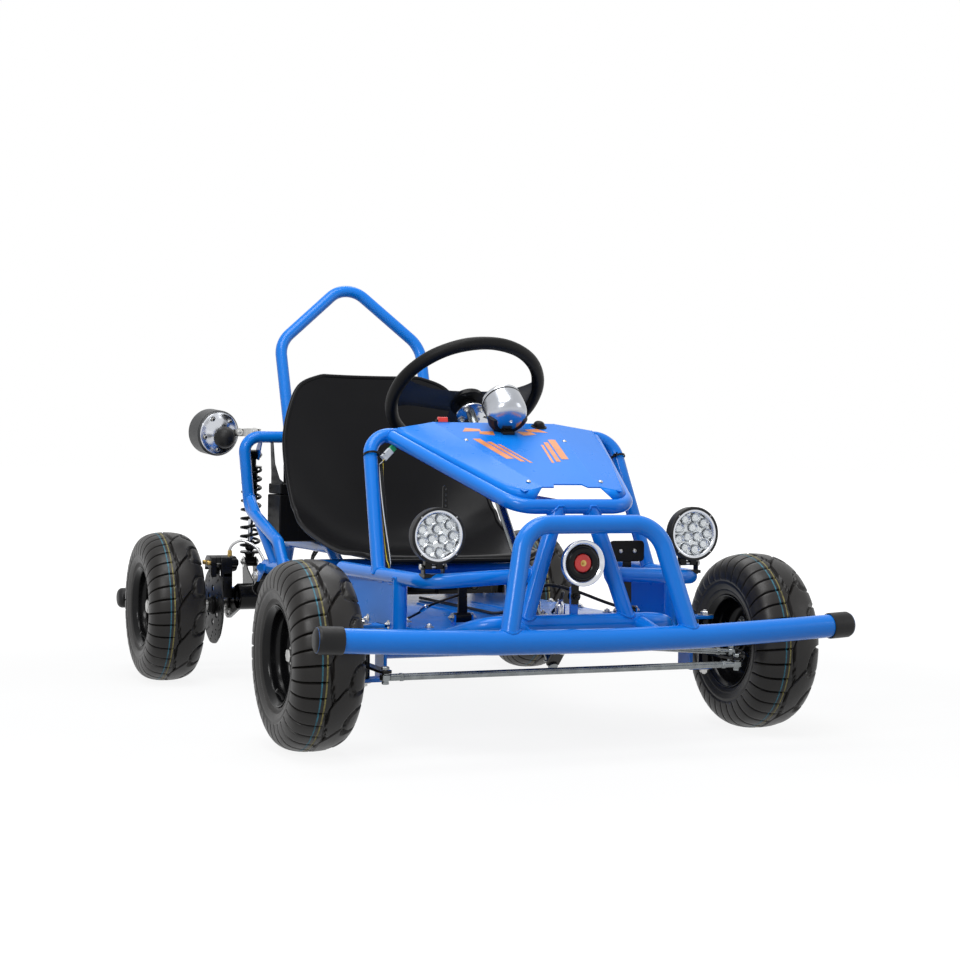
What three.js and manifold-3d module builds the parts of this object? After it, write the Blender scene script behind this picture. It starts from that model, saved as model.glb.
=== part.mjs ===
// Off road go kart for one child: a welded tube frame, a bucket seat, kart steering on two
// kingpins and a chain driven live rear axle on a sprung swing arm.
// Millimetres, +Z up. The kart's front points to -Y and the driver's left to +X.
// Inside the kart group Y = 0 is the front axle and Z = 0 is the ground.
import * as THREE from 'three';
import { mergeVertices } from 'three/addons/utils/BufferGeometryUtils.js';
import Module from 'manifold-3d';

const wasm = await Module();
wasm.setup();

// Gaps, overruns and facet counts
const seam = 0.3;
const runningGap = 0.3;
const overrun = 6;
const weldTolerance = 0.001;
const tubeSides = 8;
const rodSides = 8;
const wheelSides = 20;
const rimSides = 14;
const capSides = 10;
const thinSides = 6;
const thinRadius = 6.5;
const bendSteps = 2;
const right = -1;
const left = 1;
const sides = { right, left };

// Stance
const wheelBase = 1049;
const frontHalfTrack = 441;
const rearHalfTrack = 443;
const tyreRadius = 165;
const axleZ = tyreRadius;

// Tyres and rims
const tyreHalfWidth = 62;
const treadHalfWidth = 27;
const shoulderHalfWidth = 48;
const shoulderRadius = 153;
const bulgeRadius = 122;
const beadRadius = 79;
const beadHalfWidth = 47;
const tyreWall = 8;
const rimWall = 3;
const rimFlangeRadius = 87;
const rimFlangeHalfWidth = 55;
const rimSeatRadius = 78;
const rimDiscWall = 4;
const hubRadius = 21;
const hubHalfWidth = 27;

// Main frame tubes
const railRadius = 16;
const railX = 215;
const railZ = 190;
const railRiseStartAhead = 429;
const railRiseStartY = wheelBase - railRiseStartAhead;
const railRiseEndAhead = 329;
const railRiseEndY = wheelBase - railRiseEndAhead;
const railRearX = 258;
const railRearZ = 262;
const railEndAhead = 177;
const railEndY = wheelBase - railEndAhead;
const noseCrossX = 175;
const noseCrossY = -150;
const noseCrossZ = 222;
const noseBendY = -60;
const railBendRadius = 60;
const axleBeamRadius = 19;
const axleBeamY = 16;
const axleBeamZ = 171;
const seatTubeRadius = 11;
const seatTubeFrontAhead = 529;
const seatTubeFrontY = wheelBase - seatTubeFrontAhead;
const seatTubeRearAhead = 329;
const seatTubeRearY = wheelBase - seatTubeRearAhead;
const seatTubeZ = 274;
const rearCrossAhead = 234;
const rearCrossY = wheelBase - rearCrossAhead;
const rearCrossRadius = 13;
const crossEndX = 246;

// Kingpin yokes
const kingpinX = 340;
const kingpinRadius = 6;
const yokeBackX = 303;
const yokeHalfDepth = 16;
const yokePlate = 6;
const yokeHalfHeight = 50;
const yokeHeadRadius = 9;
const yokeHeadHeight = 6;
const knuckleBossRadius = 13;
const stubRadius = 8.5;
const stubNutRadius = 13;
const stubNutLength = 8;
const stubFlangeRadius = 17;
const stubFlangeLength = 6;

// Steering arms, tie rod and drag link
const armPlate = 5;
const armWidth = 22;
const armZ = 146;
const tieArmLength = 118;
const dragArmLength = 98;
const rodEndRadius = 10;
const rodEndLength = 15;
const rodNeckRadius = 7;
const rodNeckLength = 34;
const tieRodRadius = 6;
const ballPinRadius = 4;
const ballNutRadius = 7;
const ballNutHeight = 5;
const openPivotGap = 1;
const bracketInset = 1;

// Steering wheel and column
const wheelCentreY = 373;
const wheelCentreZ = 629;
const columnAngle = 41 * Math.PI / 180;
const columnRadius = 9;
const columnLength = 648;
const wheelRimRadius = 150;
const wheelGripRadius = 13;
const spokeWidth = 46;
const spokePlate = 5;
const spokeTurnShares = [0.5, 0.06, 0.94];
const hubPlateRadius = 44;
const hubPlate = 7;
const hubBossRadius = 17;
const hubBossLength = 34;
const pitmanLength = 50;
const pitmanPlate = 6;
const pitmanHalfWidth = 12;
const bushRadius = 15;
const bushLength = 26;
const bushZ = 440;
const lowerBushLength = 20;

// Bumpers
const bumperRadius = 21;
const bumperHalfWidth = 500;
const bumperY = -250;
const bumperZ = 201;
const bumperEndY = -236;
const bumperEndZ = 215;
const bumperStraightX = 200;
const bumperStraightZ = 203;
const bumperKneeInset = 120;
const bumperKneeX = bumperHalfWidth - bumperKneeInset;
const bumperKneeY = -242;
const bumperKneeZ = 209.5;
const bumperBendRadius = 480;
const bumperStayX = 120;
const bumperStayRadius = 13;
const capRadius = 24.5;
const capLength = 48;
const capWall = 5;
const hoopRadius = 16;
const hoopFootX = 172;
const hoopTopX = 125;
const hoopTopY = -207;
const hoopTopZ = 396;
const hoopBendRadius = 58;
const rearBumperBehind = 214;
const rearBumperY = wheelBase + rearBumperBehind;
const rearBumperZ = 168;
const trayX = 110;
const trayRadius = 13;
const trayZ = 300;
const trayRiseAhead = 169;
const trayRiseY = wheelBase - trayRiseAhead;
const trayEndBehind = 141;
const trayEndY = wheelBase + trayEndBehind;
const trayBendRadius = 34;

// Dash loop with its nose stays and the column strut
const loopRadius = 13;
const pillarFootX = 274;
const pillarFootY = 104;
const pillarTopX = 253;
const pillarTopY = 226;
const pillarTopZ = 547;
const dashCornerX = 211;
const dashCornerY = 224;
const dashCornerZ = 545;
const dashFrontX = 106;
const dashFrontY = -135;
const dashFrontZ = 424;
const pillarBendRadius = 46;
const dashBendRadius = 46;
const stayRadius = 14;
const stayFootX = 100;
const stayFootY = -152;
const stayTopX = 31;
const strutRadius = 8;

// Side rails with their gusset plates
const sideRailRadius = 13;
const sideRailX = 262;
const sideRailZ = 295;
const sideRailEndX = 282;
const sideRailEndY = 286;
const sideRailCornerY = -112;
const sideRailNoseX = 76;
const sideRailNoseY = -129;
const sideRailNoseZ = 305;
const sideRailBendRadius = 56;
const postX = 270;
const postY = 5;
const postRadius = 13;
const gussetX = 276;
const gussetPlate = 3;
const gussetRearY = 300;
const gussetFootRearY = 196;
const lampTabX = 247;
const lampTabSpread = 18;
const lampTabPlate = 3;
const lampTabWidth = 14;
const lampTabTop = 4;
const lampLugHalfWidth = 6;
const lampPivotY = -95;
const lampBaseHalfDepth = 14;
const lampBaseSink = 6.5;
const lampPivotZ = 320;

// Rear hoop and roll bar
const hoopTubeRadius = 13;
const rearHoopAhead = 49;
const rearHoopY = wheelBase - rearHoopAhead;
const rearHoopX = 279;
const rearHoopZ = 545;
const rearHoopElbowX = 264;
const rearHoopElbowZ = 385;
const rearHoopKneeX = 262;
const rearHoopKneeAhead = 271;
const rearHoopKneeY = wheelBase - rearHoopKneeAhead;
const rearHoopKneeZ = 320;
const rearHoopFootAhead = 321;
const rearHoopFootY = wheelBase - rearHoopFootAhead;
const rearHoopBendRadius = 34;
const braceTopZ = 412;
const braceFootAhead = 249;
const braceFootY = wheelBase - braceFootAhead;
const shockTopAhead = 15;
const shockTopY = wheelBase - shockTopAhead;
const shockTopZ = 505;
const rollBarRadius = 14;
const rollBarFootX = 170;
const rollBarShoulderX = 172;
const rollBarShoulderBehind = 31;
const rollBarShoulderY = wheelBase + rollBarShoulderBehind;
const rollBarShoulderZ = 762;
const rollBarPeakBehind = 71;
const rollBarPeakY = wheelBase + rollBarPeakBehind;
const rollBarPeakZ = 910;
const rollBarShoulderRadius = 70;
const rollBarPeakRadius = 62;

// Floor, hood and seat
const panPlate = 2;
const panFrontY = -118;
const panWaistY = 200;
const panRearAhead = 359;
const panRearY = wheelBase - panRearAhead;
const panFrontHalfWidth = 268;
const panRearHalfWidth = 232;
const hoodPlate = 2.5;
const hoodFoldTopX = 126;
const hoodFoldTopY = 223;
const hoodFoldTopZ = 573;
const hoodFoldFrontX = 55;
const hoodFrontY = -122;
const hoodFrontZ = 458;
const hoodEdgeTopX = 200;
const hoodEdgeTopY = 210;
const hoodEdgeTopZ = 561;
const seatHalfWidth = 228;
const seatFrontAhead = 631;
const seatFrontY = wheelBase - seatFrontAhead;
const seatLength = 526;
const seatLowZ = 289.4;
const seatHeight = 393;
const seatEdgePower = 2.4;
const seatWall = 6;
const seatLengthSteps = 14;
const seatWidthSteps = 8;

// Battery, controller, motor and chain
const batteryHalfWidth = 222;
const batteryFrontAhead = 144;
const batteryFrontY = wheelBase - batteryFrontAhead;
const batteryRearAhead = 49;
const batteryRearY = wheelBase - batteryRearAhead;
const batteryHeight = 128;
const controllerHalfWidth = 126;
const controllerFrontAhead = 31;
const controllerFrontY = wheelBase - controllerFrontAhead;
const controllerRearBehind = 35;
const controllerRearY = wheelBase + controllerRearBehind;
const controllerHeight = 34;
const motorRadius = 45;
const motorHalfLength = 58;
const motorBehind = 91;
const motorY = wheelBase + motorBehind;
const motorZ = 215;
const motorShaftRadius = 6;
const chainX = 80;
const chainWidth = 9;
const chainPitch = 12.7;
const chainThickness = 5;
const chainStandOff = 1;
const axleTeeth = 28;
const pinionTeeth = 9;
const sprocketPlate = 5;

// Rear axle and swing arm
const axleRadius = 12;
const axleEndReach = 43;
const axleHalfLength = rearHalfTrack + axleEndReach;
const axleNutRadius = 18;
const axleNutLength = 12;
const swingPivotAhead = 154;
const swingPivotY = wheelBase - swingPivotAhead;
const swingPivotZ = 242;
const swingEyeRadius = 15;
const pivotPinRadius = 6;
const armTubeRadius = 13;
const carrierAhead = 84;
const carrierY = wheelBase - carrierAhead;
const carrierZ = 190;
const carrierRadius = 29;
const carrierSlimRadius = 17;
const carrierHalfWidth = 300;
const carrierSlimHalfWidth = 170;
const bearingPlate = 8;
const bearingRadius = 30;
const motorPlateX = 62;
const motorPlate = 6;
const discX = 332;
const discRadius = 87;
const discPlate = 4;
const caliperFrontAhead = 49;
const caliperFrontY = wheelBase - caliperFrontAhead;
const caliperRearBehind = 11;
const caliperRearY = wheelBase + caliperRearBehind;
const caliperLowZ = 226;
const caliperHighZ = 278;
const caliperHalfWidth = 18;
const caliperInnerX = 284;

// Shock absorbers
const shockX = 248;
const shockFootBehind = 3;
const shockFootY = wheelBase + shockFootBehind;
const shockFootZ = 262;
const shockEyeRadius = 11;
const shockEyeHalfWidth = 10;
const shockBodyRadius = 13;
const shockNeckRadius = 9;
const shockRodRadius = 6;
const perchRadius = 22;
const perchPlate = 4;
const upperPerchOffset = 30;
const lowerPerchOffset = 24;
const bodyReach = 120;
const springWireRadius = 3.4;
const springCoilRadius = 20.6;
const springCurls = 9;
const springCurlSteps = 8;
const springWireSides = 5;

// Lamps, horn and dash instruments
const lampRadius = 48.5;
const lampDepth = 38;
const lampCentreY = -123;
const lampCentreZ = 374;
const lampBezel = 5;
const lensPlate = 4;
const hornX = -4;
const hornFaceY = -186;
const hornZ = 328;
const hornRadius = 40;
const hornDepth = 34;
const hornDishRadius = 32;
const hornBracketPlate = 3;
const hornPostHalfWidth = 7;
const hornPostZ = 284;
const speedoY = 176;
const speedoZ = 596;
const speedoRadius = 34;
const speedoDepth = 46;
const switchX = -105;
const switchHalfWidth = 10;
const switchHalfDepth = 5;
const switchHeight = 10;
const switchCheek = 3;
const switchGap = 1.2;
const buttonX = 84;
const buttonInset = 21;
const buttonRadius = 12;
const buttonShoulderRadius = 9;
const buttonCrownRadius = 4.5;
const buttonShoulder = 9;
const buttonHeight = 12;
const buttonSkirt = 8;
const tailLampX = 318;
const tailLampBehind = 13;
const tailLampY = wheelBase + tailLampBehind;
const tailLampZ = 552;
const tailLampRadius = 52;
const tailLampDepth = 56;
const tailLampEdge = 5;
const tailBallRadius = 25;
const tailBallDrop = 9;

// Pedals and brake hydraulics
const pedalPivotRadius = 5;
const pedalTubeRadius = 9;
const pedalTubeHalfLength = 15;
const pedalStemPlate = 6;
const throttleX = -150;
const throttleY = 8;
const throttleZ = 222;
const throttlePadZ = 291;
const throttlePadWidth = 58;
const throttlePadHeight = 16;
const brakeX = 150;
const brakeY = -46;
const brakeZ = 232;
const brakePadZ = 340;
const brakePadWidth = 64;
const brakePadHeight = 30;
const cylinderX = 40;
const cylinderY = 120;
const cylinderRadius = 13;
const cylinderHeight = 42;
const cylinderShoulder = 29;
const cylinderNeck = 38;
const cylinderNeckRadius = 6.5;
const cylinderFootHeight = 5;
const brakePipeRadius = 3.2;

// Paints and finishes
const finishes = {
  blue: { color: 0x1e8cf0, roughness: 0.3, metalness: 0.0 },
  black: { color: 0x141416, roughness: 0.45, metalness: 0.1 },
  rubber: { color: 0x1b1b1c, roughness: 0.85, metalness: 0.0 },
  plastic: { color: 0x18181a, roughness: 0.5, metalness: 0.0 },
  steel: { color: 0x8d9193, roughness: 0.35, metalness: 0.9 },
  chrome: { color: 0xd8dadc, roughness: 0.08, metalness: 1.0 },
  lens: { color: 0xe8eef2, roughness: 0.1, metalness: 0.2 },
  red: { color: 0xc8201c, roughness: 0.35, metalness: 0.0 },
};

const kart = new THREE.Group();

// Adds one named piece to the kart.
function addPart(name, shape, finish) {
  const geometry = shape.isBufferGeometry ? shape : geometryOf(shape);
  const mesh = new THREE.Mesh(geometry, new THREE.MeshStandardMaterial(finishes[finish]));
  mesh.name = name;
  kart.add(mesh);
}

// Solids: a closed geometry becomes a manifold for joins and cuts, and back.
function solid(source) {
  const geometry = source.clone();
  geometry.deleteAttribute('normal');
  geometry.deleteAttribute('uv');
  const merged = mergeVertices(geometry, weldTolerance);
  const triVerts = new Uint32Array(merged.index.array);
  const vertProperties = new Float32Array(merged.attributes.position.array);
  return new wasm.Manifold(new wasm.Mesh({ numProp: 3, vertProperties, triVerts }));
}

function geometryOf(manifold) {
  const mesh = manifold.getMesh();
  const geometry = new THREE.BufferGeometry();
  geometry.setAttribute('position', new THREE.BufferAttribute(mesh.vertProperties, 3));
  geometry.setIndex(new THREE.BufferAttribute(mesh.triVerts, 1));
  geometry.computeVertexNormals();
  return geometry;
}

function joined(...pieces) {
  return pieces.map((piece) => (piece.isBufferGeometry ? solid(piece) : piece)).reduce((a, b) => a.add(b));
}

function cutBy(piece, ...tools) {
  const start = piece.isBufferGeometry ? solid(piece) : piece;
  return tools.reduce((rest, tool) => rest.subtract(tool.isBufferGeometry ? solid(tool) : tool), start);
}

const at = (x, y, z) => new THREE.Vector3(x, y, z);

// A path of straight runs and round bends; each step of the sweep lands on one station.
class BentPath extends THREE.Curve {
  constructor(corners, radii) {
    super();
    const radiusAt = (index) => (Array.isArray(radii) ? radii[index - 1] : radii);
    this.stations = [corners[0]];
    for (let i = 1; i < corners.length - 1; i += 1) {
      this.addBend(corners[i - 1], corners[i], corners[i + 1], radiusAt(i));
    }
    this.stations.push(corners[corners.length - 1]);
  }

  addBend(before, corner, after, radius) {
    const inward = corner.clone().sub(before).normalize();
    const outward = after.clone().sub(corner).normalize();
    const turn = inward.angleTo(outward);
    const setback = radius * Math.tan(turn / 2);
    const start = corner.clone().addScaledVector(inward, -setback);
    const across = outward.clone().addScaledVector(inward, -inward.dot(outward)).normalize();
    const steps = Math.max(1, Math.round(bendSteps * turn / (Math.PI / 4)));
    for (let step = 0; step <= steps; step += 1) {
      const angle = turn * step / steps;
      const point = start.clone().addScaledVector(inward, radius * Math.sin(angle));
      this.stations.push(point.addScaledVector(across, radius * (1 - Math.cos(angle))));
    }
  }

  get steps() {
    return this.stations.length - 1;
  }

  getPointAt(share, target = new THREE.Vector3()) {
    const place = share * this.steps;
    const index = Math.min(this.steps - 1, Math.floor(place));
    return target.copy(this.stations[index]).lerp(this.stations[index + 1], place - index);
  }

  getTangentAt(share, target = new THREE.Vector3()) {
    const index = Math.round(share * this.steps);
    const before = this.stations[Math.max(0, index - 1)];
    const here = this.stations[index];
    const after = this.stations[Math.min(this.steps, index + 1)];
    target.set(0, 0, 0);
    if (index > 0) target.add(here.clone().sub(before).normalize());
    if (index < this.steps) target.add(after.clone().sub(here).normalize());
    return target.normalize();
  }
}

function roundSection(radius, count) {
  const points = [];
  for (let i = 0; i < count; i += 1) {
    const angle = 2 * Math.PI * i / count;
    points.push(new THREE.Vector2(radius * Math.cos(angle), radius * Math.sin(angle)));
  }
  return new THREE.Shape(points);
}

function bentTube(corners, bendRadius, radius, count = tubeSides) {
  const path = new BentPath(corners, bendRadius);
  const options = { steps: path.steps, bevelEnabled: false, extrudePath: path };
  return new THREE.ExtrudeGeometry(roundSection(radius, count), options);
}

const sidesFor = (radius) => (radius > thinRadius ? rodSides : thinSides);

// A straight round bar from one place to another.
function bar(from, to, radius, count = sidesFor(radius)) {
  const along = to.clone().sub(from);
  const geometry = new THREE.CylinderGeometry(radius, radius, along.length(), count);
  geometry.applyQuaternion(new THREE.Quaternion().setFromUnitVectors(at(0, 1, 0), along.clone().normalize()));
  return geometry.translate(...from.clone().add(to).multiplyScalar(0.5).toArray());
}

// A round hole whose flats stay clear of a bar of the said radius that turns in it.
const clearHole = (from, to, radius, count = sidesFor(radius)) => bar(
  from,
  to,
  (radius + runningGap) / Math.cos(Math.PI / count),
  count,
);

// A box given by its lowest and highest corners.
function block(low, high) {
  const size = high.clone().sub(low);
  const geometry = new THREE.BoxGeometry(size.x, size.y, size.z);
  return geometry.translate(...low.clone().add(high).multiplyScalar(0.5).toArray());
}

// A turned piece: profile points are [along, radius], turned about a line from a place.
function turned(profile, from, direction, count) {
  const points = profile.map(([along, radius]) => new THREE.Vector2(radius, along));
  if (THREE.ShapeUtils.area(points) < 0) points.reverse();
  const geometry = new THREE.LatheGeometry(points, count);
  const tilt = new THREE.Quaternion().setFromUnitVectors(at(0, 1, 0), direction.clone().normalize());
  geometry.applyQuaternion(tilt);
  return geometry.translate(...from.toArray());
}

// A flat plate: an outline of [y, z] points, as thick as said, standing across X.
function uprightPlate(outline, x, thickness, holes = []) {
  const shape = new THREE.Shape(outline.map(([y, z]) => new THREE.Vector2(y, z)));
  const circle = ([y, z, radius]) => new THREE.Path().absarc(y, z, radius, 0, 2 * Math.PI);
  shape.holes.push(...holes.map(circle));
  const options = { depth: thickness, bevelEnabled: false, curveSegments: rodSides };
  const geometry = new THREE.ExtrudeGeometry(shape, options);
  const upright = new THREE.Matrix4().set(0, 0, 1, x - thickness / 2, 1, 0, 0, 0, 0, 1, 0, 0, 0, 0, 0, 1);
  return geometry.applyMatrix4(upright);
}

// Places on the steering column, measured along it from the wheel's centre.
const columnUp = at(0, Math.sin(columnAngle), Math.cos(columnAngle));
const pitmanOut = at(0, -Math.cos(columnAngle), Math.sin(columnAngle));
const wheelCentre = at(0, wheelCentreY, wheelCentreZ);
const columnFoot = wheelCentre.clone().addScaledVector(columnUp, -columnLength);
const columnPlace = (along) => wheelCentre.clone().addScaledVector(columnUp, along);
const onColumnAtHeight = (z) => columnPlace((z - wheelCentreZ) / columnUp.z);

function railCorners() {
  const half = [
    at(railRearX, railEndY, railRearZ),
    at(railRearX, railRiseEndY, railRearZ),
    at(railX, railRiseStartY, railZ),
    at(railX, noseBendY, railZ),
    at(noseCrossX, noseCrossY, noseCrossZ),
  ];
  const mirrored = half.map((corner) => at(-corner.x, corner.y, corner.z)).reverse();
  return [...half, ...mirrored];
}

const railTube = (grow = 0) => bentTube(railCorners(), railBendRadius, railRadius + grow);

const axleBeam = (grow = 0) => bar(
  at(-yokeBackX, axleBeamY, axleBeamZ),
  at(yokeBackX, axleBeamY, axleBeamZ),
  axleBeamRadius + grow,
);

// Kingpin yoke: a back plate on the axle beam and an arm above and below the kingpin boss.
function kingpinYoke(side) {
  const pieces = [];
  const nearX = side * (yokeBackX - yokePlate / 2);
  const backX = side * (yokeBackX + yokePlate / 2);
  const farX = side * (kingpinX + yokeHalfDepth);
  const span = (xa, xb, lowZ, highZ) => block(
    at(Math.min(xa, xb), -yokeHalfDepth, lowZ),
    at(Math.max(xa, xb), yokeHalfDepth + axleBeamY, highZ),
  );
  pieces.push(span(nearX, backX, axleZ - yokeHalfHeight, axleZ + yokeHalfHeight));
  for (const end of [-1, 1]) {
    const outerZ = axleZ + end * yokeHalfHeight;
    const innerZ = outerZ - end * yokePlate;
    pieces.push(span(nearX, farX, Math.min(innerZ, outerZ), Math.max(innerZ, outerZ)));
  }
  const hole = clearHole(
    at(side * kingpinX, 0, axleZ - yokeHalfHeight - overrun),
    at(side * kingpinX, 0, axleZ + yokeHalfHeight + overrun),
    kingpinRadius,
  );
  return cutBy(joined(...pieces), hole);
}

// Pivot bracket of the swing arm: two plates on the rail's end with the pivot pin across.
function pivotBracket(side) {
  const reach = railRadius - bracketInset;
  const plateOutline = [
    [railEndY - 2 * railRadius, railRearZ - railRadius / 2],
    [railEndY - 2 * railRadius, railRearZ + railRadius / 2],
    [railEndY, railRearZ + railRadius / 2],
    [swingPivotY + swingEyeRadius, swingPivotZ + swingEyeRadius / 2],
    [swingPivotY + swingEyeRadius, swingPivotZ - swingEyeRadius],
    [swingPivotY - swingEyeRadius, swingPivotZ - swingEyeRadius],
  ];
  const plates = [-1, 1].map((face) => {
    const x = side * railRearX + face * (reach + gussetPlate / 2);
    return uprightPlate(plateOutline, x, gussetPlate);
  });
  const pinReach = reach + gussetPlate + ballNutHeight;
  const pin = bar(
    at(side * railRearX - pinReach, swingPivotY, swingPivotZ),
    at(side * railRearX + pinReach, swingPivotY, swingPivotZ),
    pivotPinRadius,
  );
  const heads = [-1, 1].map((face) => bar(
    at(side * railRearX + face * (reach + gussetPlate), swingPivotY, swingPivotZ),
    at(side * railRearX + face * pinReach, swingPivotY, swingPivotZ),
    swingEyeRadius / 2 + gussetPlate,
    thinSides,
  ));
  return joined(...plates, pin, ...heads);
}

function lowerBush() {
  const beam = at(0, axleBeamY, axleBeamZ);
  const along = beam.clone().sub(wheelCentre).dot(columnUp);
  const middle = wheelCentre.clone().addScaledVector(columnUp, along);
  const low = middle.clone().addScaledVector(columnUp, -lowerBushLength / 2);
  const high = middle.clone().addScaledVector(columnUp, lowerBushLength / 2);
  return bar(low, high, bushRadius);
}

const columnHole = (radius) => clearHole(
  columnFoot.clone().addScaledVector(columnUp, -overrun),
  wheelCentre,
  radius,
);

function lowerFrame() {
  const seatTubeFront = bentTube([
    at(-railX, seatTubeFrontY, railZ),
    at(-railX, seatTubeFrontY, seatTubeZ),
    at(railX, seatTubeFrontY, seatTubeZ),
    at(railX, seatTubeFrontY, railZ),
  ], 2 * seatTubeRadius, seatTubeRadius);
  const seatTubeRear = bar(
    at(-crossEndX, seatTubeRearY, seatTubeZ),
    at(crossEndX, seatTubeRearY, seatTubeZ),
    seatTubeRadius,
  );
  const rearCross = bar(
    at(-crossEndX, rearCrossY, railRearZ),
    at(crossEndX, rearCrossY, railRearZ),
    rearCrossRadius,
  );
  const post = block(
    at(-hornPostHalfWidth, noseCrossY + railRadius - hornPostHalfWidth, noseCrossZ),
    at(hornPostHalfWidth, noseCrossY + railRadius, hornPostZ),
  );
  const frame = joined(
    railTube(), axleBeam(), seatTubeFront, seatTubeRear, rearCross, post, lowerBush(),
    kingpinYoke(right), kingpinYoke(left), pivotBracket(right), pivotBracket(left),
  );
  return cutBy(frame, columnHole(columnRadius));
}

function bumperPath() {
  const half = [
    at(bumperHalfWidth, bumperEndY, bumperEndZ),
    at(bumperKneeX, bumperKneeY, bumperKneeZ),
    at(bumperStraightX, bumperY, bumperStraightZ),
  ];
  const mirrored = half.map((corner) => at(-corner.x, corner.y, corner.z)).reverse();
  return [...half, at(0, bumperY, bumperZ), ...mirrored];
}

const bumperTube = (grow = 0) => bentTube(bumperPath(), bumperBendRadius, bumperRadius + grow, rodSides);

function frontBumper() {
  const stays = [right, left].map((side) => bar(
    at(side * bumperStayX, bumperY, bumperZ),
    at(side * bumperStayX, noseCrossY, noseCrossZ),
    bumperStayRadius,
  ));
  const foot = at(hoopFootX, bumperY, bumperStraightZ);
  const top = at(hoopTopX, hoopTopY, hoopTopZ);
  const mirror = (corner) => at(-corner.x, corner.y, corner.z);
  const hoop = bentTube([foot, top, mirror(top), mirror(foot)], hoopBendRadius, hoopRadius);
  return cutBy(joined(bumperTube(), hoop, ...stays), railTube(seam));
}

// A rubber cap: a cup with a domed end, pushed over the end of a bumper tube.
function bumperCap(end, direction) {
  const bore = (bumperRadius + seam) / Math.cos(Math.PI / capSides);
  return turned([
    [capWall + seam, 0],
    [capWall / 2 + seam, bumperRadius],
    [-capWall, capRadius],
    [capWall - capLength, capRadius],
    [capWall - capLength, bore],
    [seam, bore],
    [seam, 0],
  ], end, direction, capSides);
}

function sideRailCorners(side) {
  return [
    at(side * sideRailEndX, sideRailEndY, sideRailZ),
    at(side * sideRailX, sideRailCornerY, sideRailZ),
    at(side * sideRailNoseX, sideRailNoseY, sideRailNoseZ),
  ];
}

const sideRailTube = (side, grow = 0) => bentTube(
  sideRailCorners(side),
  sideRailBendRadius,
  sideRailRadius + grow,
);

const noseStay = (side, grow = 0) => bar(
  at(side * stayFootX, stayFootY, noseCrossZ),
  at(side * stayTopX, dashFrontY, dashFrontZ),
  stayRadius + grow,
  tubeSides,
);

function dashLoop() {
  const mirrored = (half) => [...half, ...half.map((corner) => at(-corner.x, corner.y, corner.z)).reverse()];
  const hoop = bentTube(mirrored([
    at(pillarFootX, pillarFootY, sideRailZ),
    at(pillarTopX, pillarTopY, pillarTopZ),
  ]), pillarBendRadius, loopRadius);
  const loop = bentTube(mirrored([
    at(dashCornerX, dashCornerY, dashCornerZ),
    at(dashFrontX, dashFrontY, dashFrontZ),
  ]), dashBendRadius, loopRadius);
  const bushCentre = onColumnAtHeight(bushZ);
  const strut = bar(at(0, dashFrontY, dashFrontZ), bushCentre, strutRadius);
  const bush = bar(
    bushCentre.clone().addScaledVector(columnUp, -bushLength / 2),
    bushCentre.clone().addScaledVector(columnUp, bushLength / 2),
    bushRadius,
  );
  const stays = [right, left].map((side) => noseStay(side));
  const frame = joined(hoop, loop, strut, bush, ...stays);
  return cutBy(
    frame,
    columnHole(columnRadius),
    railTube(seam),
    sideRailTube(right, seam),
    sideRailTube(left, seam),
  );
}

// Side rail: the bent rail, its post on the axle beam, the gusset plate and the lamp tabs.
function sideRail(side) {
  const post = bar(
    at(side * postX, postY, axleBeamZ),
    at(side * postX, postY, sideRailZ),
    postRadius,
    tubeSides,
  );
  const gusset = uprightPlate([
    [postY, railZ],
    [postY, sideRailZ],
    [sideRailEndY, sideRailZ],
    [gussetRearY, sideRailZ - sideRailRadius / 2],
    [gussetRearY, sideRailZ - 2 * sideRailRadius],
    [gussetFootRearY, railZ],
  ], side * gussetX, gussetPlate);
  const tabs = [-1, 1].map((face) => {
    const x = side * lampTabX + face * lampTabSpread;
    return block(
      at(x - lampTabPlate / 2, lampPivotY - lampTabWidth / 2, sideRailZ),
      at(x + lampTabPlate / 2, lampPivotY + lampTabWidth / 2, lampPivotZ + lampTabTop),
    );
  });
  const baseHalfWidth = lampTabSpread + lampTabPlate;
  const railTop = sideRailZ + sideRailRadius;
  const lampBase = block(
    at(side * lampTabX - baseHalfWidth, lampPivotY - lampBaseHalfDepth, railTop - lampBaseSink),
    at(side * lampTabX + baseHalfWidth, lampPivotY + lampBaseHalfDepth, railTop),
  );
  const boltHole = clearHole(
    at(side * lampTabX - 2 * lampTabSpread, lampPivotY, lampPivotZ),
    at(side * lampTabX + 2 * lampTabSpread, lampPivotY, lampPivotZ),
    ballPinRadius,
  );
  const rail = joined(sideRailTube(side), post, gusset, lampBase, ...tabs);
  return cutBy(rail, noseStay(side, seam), axleBeam(seam), boltHole);
}

function rearHoopCorners() {
  const half = [
    at(rearHoopKneeX, rearHoopFootY, railRearZ),
    at(rearHoopKneeX, rearHoopKneeY, rearHoopKneeZ),
    at(rearHoopElbowX, rearHoopY, rearHoopElbowZ),
    at(rearHoopX, rearHoopY, rearHoopZ),
  ];
  const mirrored = half.map((corner) => at(-corner.x, corner.y, corner.z)).reverse();
  return [...half, ...mirrored];
}

const rearHoopTube = (grow = 0) => bentTube(rearHoopCorners(), rearHoopBendRadius, hoopTubeRadius + grow);

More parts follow.
